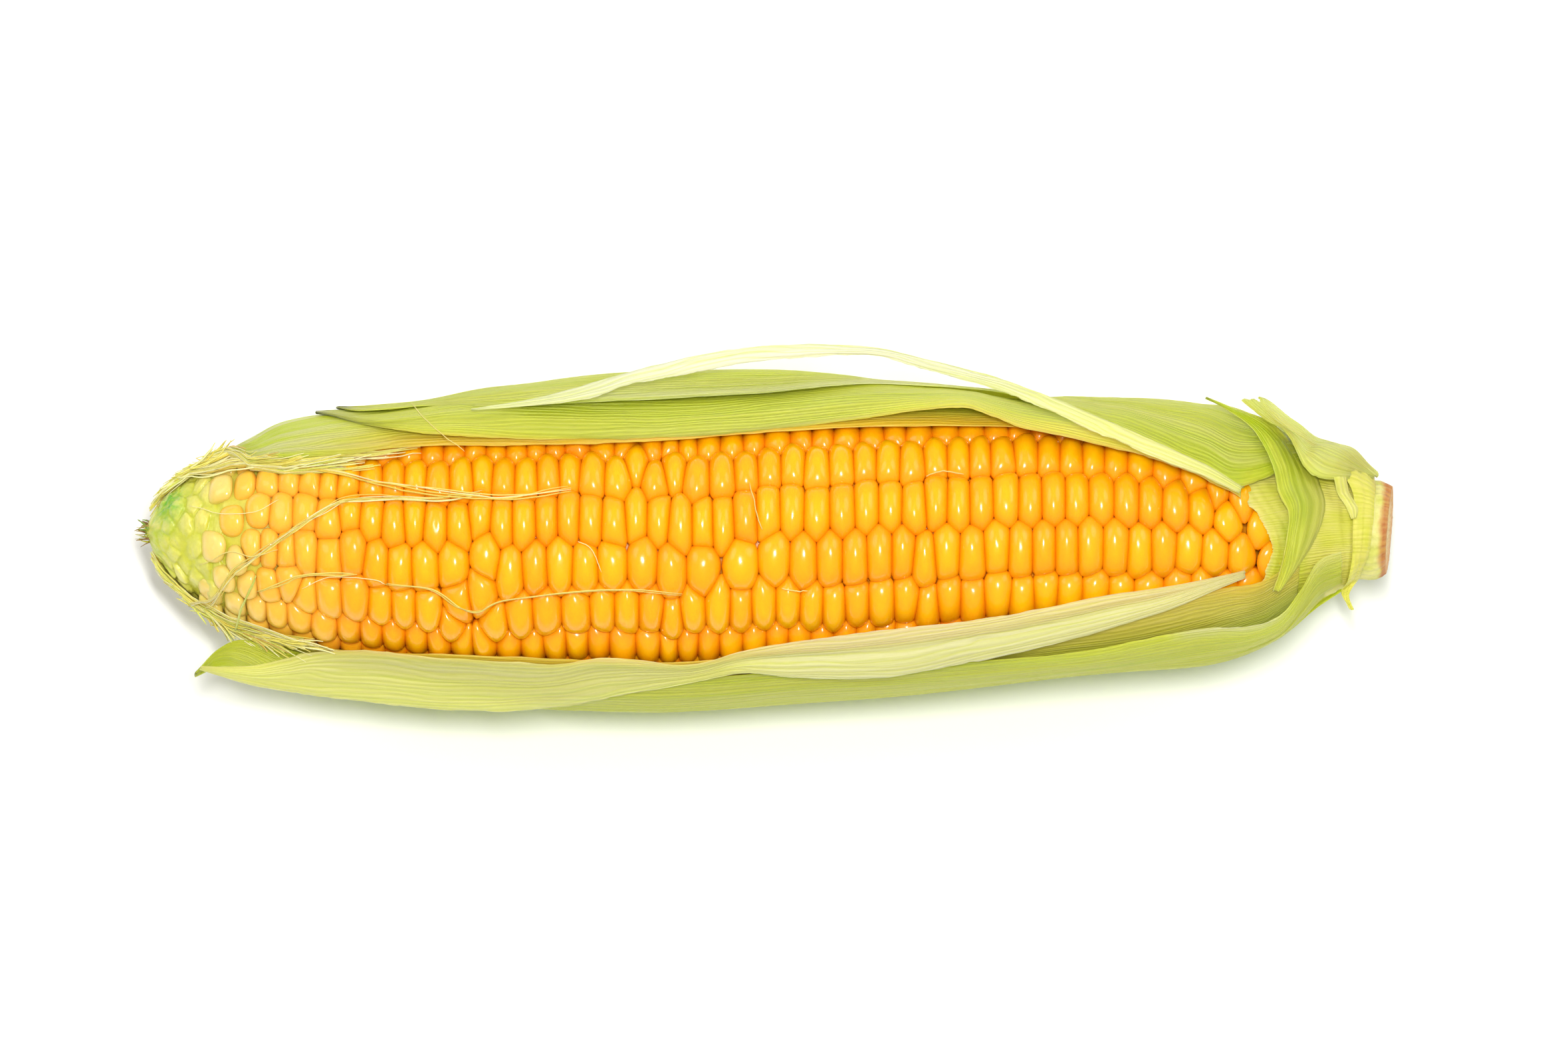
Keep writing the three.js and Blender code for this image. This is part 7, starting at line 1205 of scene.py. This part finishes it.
def silk_mat(name, replaces, seed, n, theta, ends, flow, hmax):
    """Many short strands combed from the tip back along one side of the ear."""
    r0 = np.random.default_rng(seed)
    k = 22
    paths, radii, cols = [], [], []
    for i in range(n):
        f = r0.random()
        th0 = theta[0] + (theta[1] - theta[0]) * r0.random()
        x0 = r0.uniform(-113.5, -102)
        L = r0.uniform(*flow)
        q = np.linspace(0, 1, k)
        x = x0 + L * q
        bend = r0.normal(0, 5)
        drift = (ends[0] + (ends[1] - ends[0]) * r0.random())
        th = th0 + (drift - th0) * q ** 0.8 * min(1.0, L / 30) + bend * np.sin(q * 3.0 + r0.uniform(0, 6)) * 0.5
        rows_ = LEAVES["inner_leaf_back" if theta[0] > 0 else "inner_leaf_front"]
        lim_ = np.interp(x, [r_[0][0] for r_ in rows_], [r_[0][1] for r_ in rows_], left=125 * np.sign(theta[0]))
        th = np.minimum(th, lim_ - r0.uniform(1, 9)) if theta[0] > 0 else np.maximum(th, lim_ + r0.uniform(1, 9))
        R = crown_all(x)
        h = 0.25 + hmax * r0.random() ** 1.5 + 0.35 * fbm(q * 4 + r0.uniform(0, 50), 2.0, seed)
        h = h + (1 - q) ** 6 * r0.uniform(-0.3, 1.6) + (q ** 4 * r0.uniform(0.5, 3.0) if r0.random() < 0.3 else 0)
        paths.append(at(x, th, R + h))
        radii.append(0.135 * r0.uniform(0.7, 1.3) * (1 - 0.5 * (2 * q - 1) ** 6) * 1e-3)
        base = [(240, 226, 112), (250, 242, 176), (230, 206, 84), (222, 224, 104), (214, 170, 84)][r0.choice(5, p=[.34, .28, .16, .18, .04])]
        cols.append(lin(base) * r0.uniform(0.92, 1.12))
    tubes(name, paths, radii, SILK, cols, replaces=replaces)


silk_mat("silk_tip_back", ("silk_mat_back",), 201, 330, (66, 120), (74, 92), (7, 32), 0.9)
silk_mat("silk_tip_front", ("silk_mat_front",), 202, 330, (-130, -72), (-86, -62), (4, 24), 1.0)

# single fine strands that strayed
r1 = np.random.default_rng(77)
SINGLE = [[[-92.8,-20.5,1.2],[-94.2,-31.6,1.2],[-96.0,-48.7,1.2],[-98.2,-90.0,1.2]],[[-99.8,-36.2,1.6],[-102.2,-50.5,1.6],[-104.3,-60.6,1.6],[-105.9,-77.6,1.6]],[[-65.1,68.4,4.2],[-62.2,55.1,4.2],[-58.6,44.8,4.2],[-54.7,36.8,4.2]],[[-34.2,2.0,0.35],[-32.4,0.1,0.35],[-31.0,-4.8,0.35],[-30.0,-10.9,0.35]],[[-3.2,26.8,0.35],[-2.5,19.3,0.35],[-1.7,12.1,0.35],[-0.8,6.5,0.35]],[[2.6,-18.8,0.45],[4.2,-19.8,0.45],[5.8,-20.2,0.45],[7.2,-20.0,0.45]],[[28.7,27.0,0.45],[30.9,28.8,0.45],[33.1,29.0,0.45],[35.5,27.3,0.45]],[[-84.4,-25.4,0.5],[-78.8,-17.8,0.5],[-71.5,-17.7,0.5],[-69.1,-19.2,0.5]],[[-105.3,25.7,0.8],[-99.6,16.4,0.8],[-93.4,15.4,0.8],[-88.6,21.4,0.8]],[[-103.4,-22.7,0.8],[-97.7,-8.7,0.8],[-93.4,-10.6,0.8],[-88.5,-5.2,0.8]]]
for i, cv in enumerate(SINGLE):
    strands("silk_stray_%d" % (i + 1), [cv], 1 if i > 1 else 3, 0.12 if i < 2 else 0.02, 0.10 if i > 1 else 0.13, ("silk_strand_%d" % (1 + i % 4),), 300 + i, k=24, jitter=0.25,
            colors=((214, 218, 92), (226, 226, 120)) if i == 0 else ((240, 220, 130), (248, 236, 170)))

# withered end of the tip: short brown and green fibres
wp, wr, wc = [], [], []
for i in range(34):
    q = np.linspace(0, 1, 10)
    a0, r_0 = r1.uniform(0, 360), r1.uniform(0.2, 2.0)
    L = r1.uniform(1.2, 3.4)
    x = -112.8 - L * q
    th = a0 + 40 * q * r1.normal()
    r = r_0 + 1.2 * q * r1.uniform(-0.3, 1.0)
    wp.append(at(x, th, np.maximum(r, 0.1)) + np.stack([0 * q, 0.0006 * q * r1.uniform(-1, 2), 0.0004 * q * r1.normal() * q], -1))
    wr.append(0.22 * r1.uniform(0.6, 1.4) * (1 - 0.75 * q) * 1e-3)
    wc.append(lin([(120, 84, 36), (150, 120, 50), (110, 150, 48), (176, 176, 70)][r1.integers(4)]))
tubes("cob_withered_end", wp, wr, COBM, wc, replaces=("cob",))

strands("silk_edge_back", [[[-108.9,90.0,0.5],[-103.9,63.0,0.5],[-97.6,53.6,0.5],[-91.4,49.9,0.5],[-82.8,46.4,0.5],[-74.2,44.6,0.5],[-67.0,45.5,0.5],[-62.2,47.2,0.5]]], 24, 0.55, 0.13, ("silk_mat_back",), 401, k=40, jitter=0.8, lift=0.7, ends=0.3,
        colors=((240, 226, 120), (250, 240, 170), (226, 214, 96), (232, 196, 90)))
strands("silk_edge_front", [[[-103.9,-63.5,0.5],[-98.3,-62.5,0.5],[-91.6,-63.2,0.5],[-83.1,-66.6,0.5],[-75.8,-68.9,0.5],[-67.4,-74.4,0.5]]], 16, 0.7, 0.12, ("silk_mat_front",), 402, k=40, jitter=0.7, lift=0.6, ends=0.3,
        colors=((240, 226, 120), (250, 240, 170), (226, 214, 96)))


# --------------------------------------------------------------------- setting
VIEW_W = 2359 * 0.122e-3
DIST = 1.5
cam_data = bpy.data.cameras.new("view")
cam_data.sensor_width = 36.0
cam_data.lens = 36.0 * DIST / VIEW_W
cam_data.clip_end = 20
cam = bpy.data.objects.new("view", cam_data)
bpy.context.scene.collection.objects.link(cam)
uc, vc = 2.99e-3, 4.39e-3
wdir = Vector((0, -ST, CT))
vdir = Vector((0, CT, ST))
origin = Vector((SHIFT_X * 1e-3, SHIFT_Y * 1e-3, AXIS_HEIGHT * 1e-3))
pos = origin + Vector((1, 0, 0)) * uc + vdir * vc + wdir * DIST
m3 = Matrix((Vector((1, 0, 0)), vdir, wdir)).transposed()
cam.matrix_world = Matrix.Translation(pos) @ m3.to_4x4()
bpy.context.scene.camera = cam

fm, fnt, fb = material("floor_plain")
fb.inputs["Base Color"].default_value = (0.95, 0.95, 0.95, 1)
fb.inputs["Roughness"].default_value = 0.9
fb.inputs["Specular IOR Level"].default_value = 0.1
s = 6.0
floor = make("floor", [(-s, -s, -0.0002), (s, -s, -0.0002), (s, s, -0.0002), (-s, s, -0.0002)], [[0, 1, 2, 3]], None, fm, body=False)


def area(name, loc, target, size, energy, color=(1, 1, 1)):
    d = bpy.data.lights.new(name, "AREA")
    d.shape = "DISK"
    d.size = size
    d.energy = energy
    d.color = color
    o = bpy.data.objects.new(name, d)
    bpy.context.scene.collection.objects.link(o)
    loc, target = Vector(loc), Vector(target)
    o.location = loc
    o.rotation_euler = (target - loc).to_track_quat("-Z", "Y").to_euler()
    return o


key = area("key", (0.03, -0.06, 1.2), (0, 0, 0.03), 0.075, 10.8, (1.0, 0.985, 0.96))
key.data.shape = "ELLIPSE"                                     # longer across the ear than along it
key.data.size_y = 0.26
area("fill_left", (-0.9, 0.5, 0.9), (0, 0, 0.03), 0.9, 3.2)
area("fill_right", (0.9, 0.6, 0.9), (0, 0, 0.03), 0.9, 3.2)
world = bpy.data.worlds.new("soft")
bpy.context.scene.world = world
world.use_nodes = True
world.node_tree.nodes["Background"].inputs[0].default_value = (1, 1, 1, 1)
world.node_tree.nodes["Background"].inputs[1].default_value = 0.46
bpy.context.scene.view_settings.view_transform = "Standard"
bpy.context.scene.view_settings.look = "None"
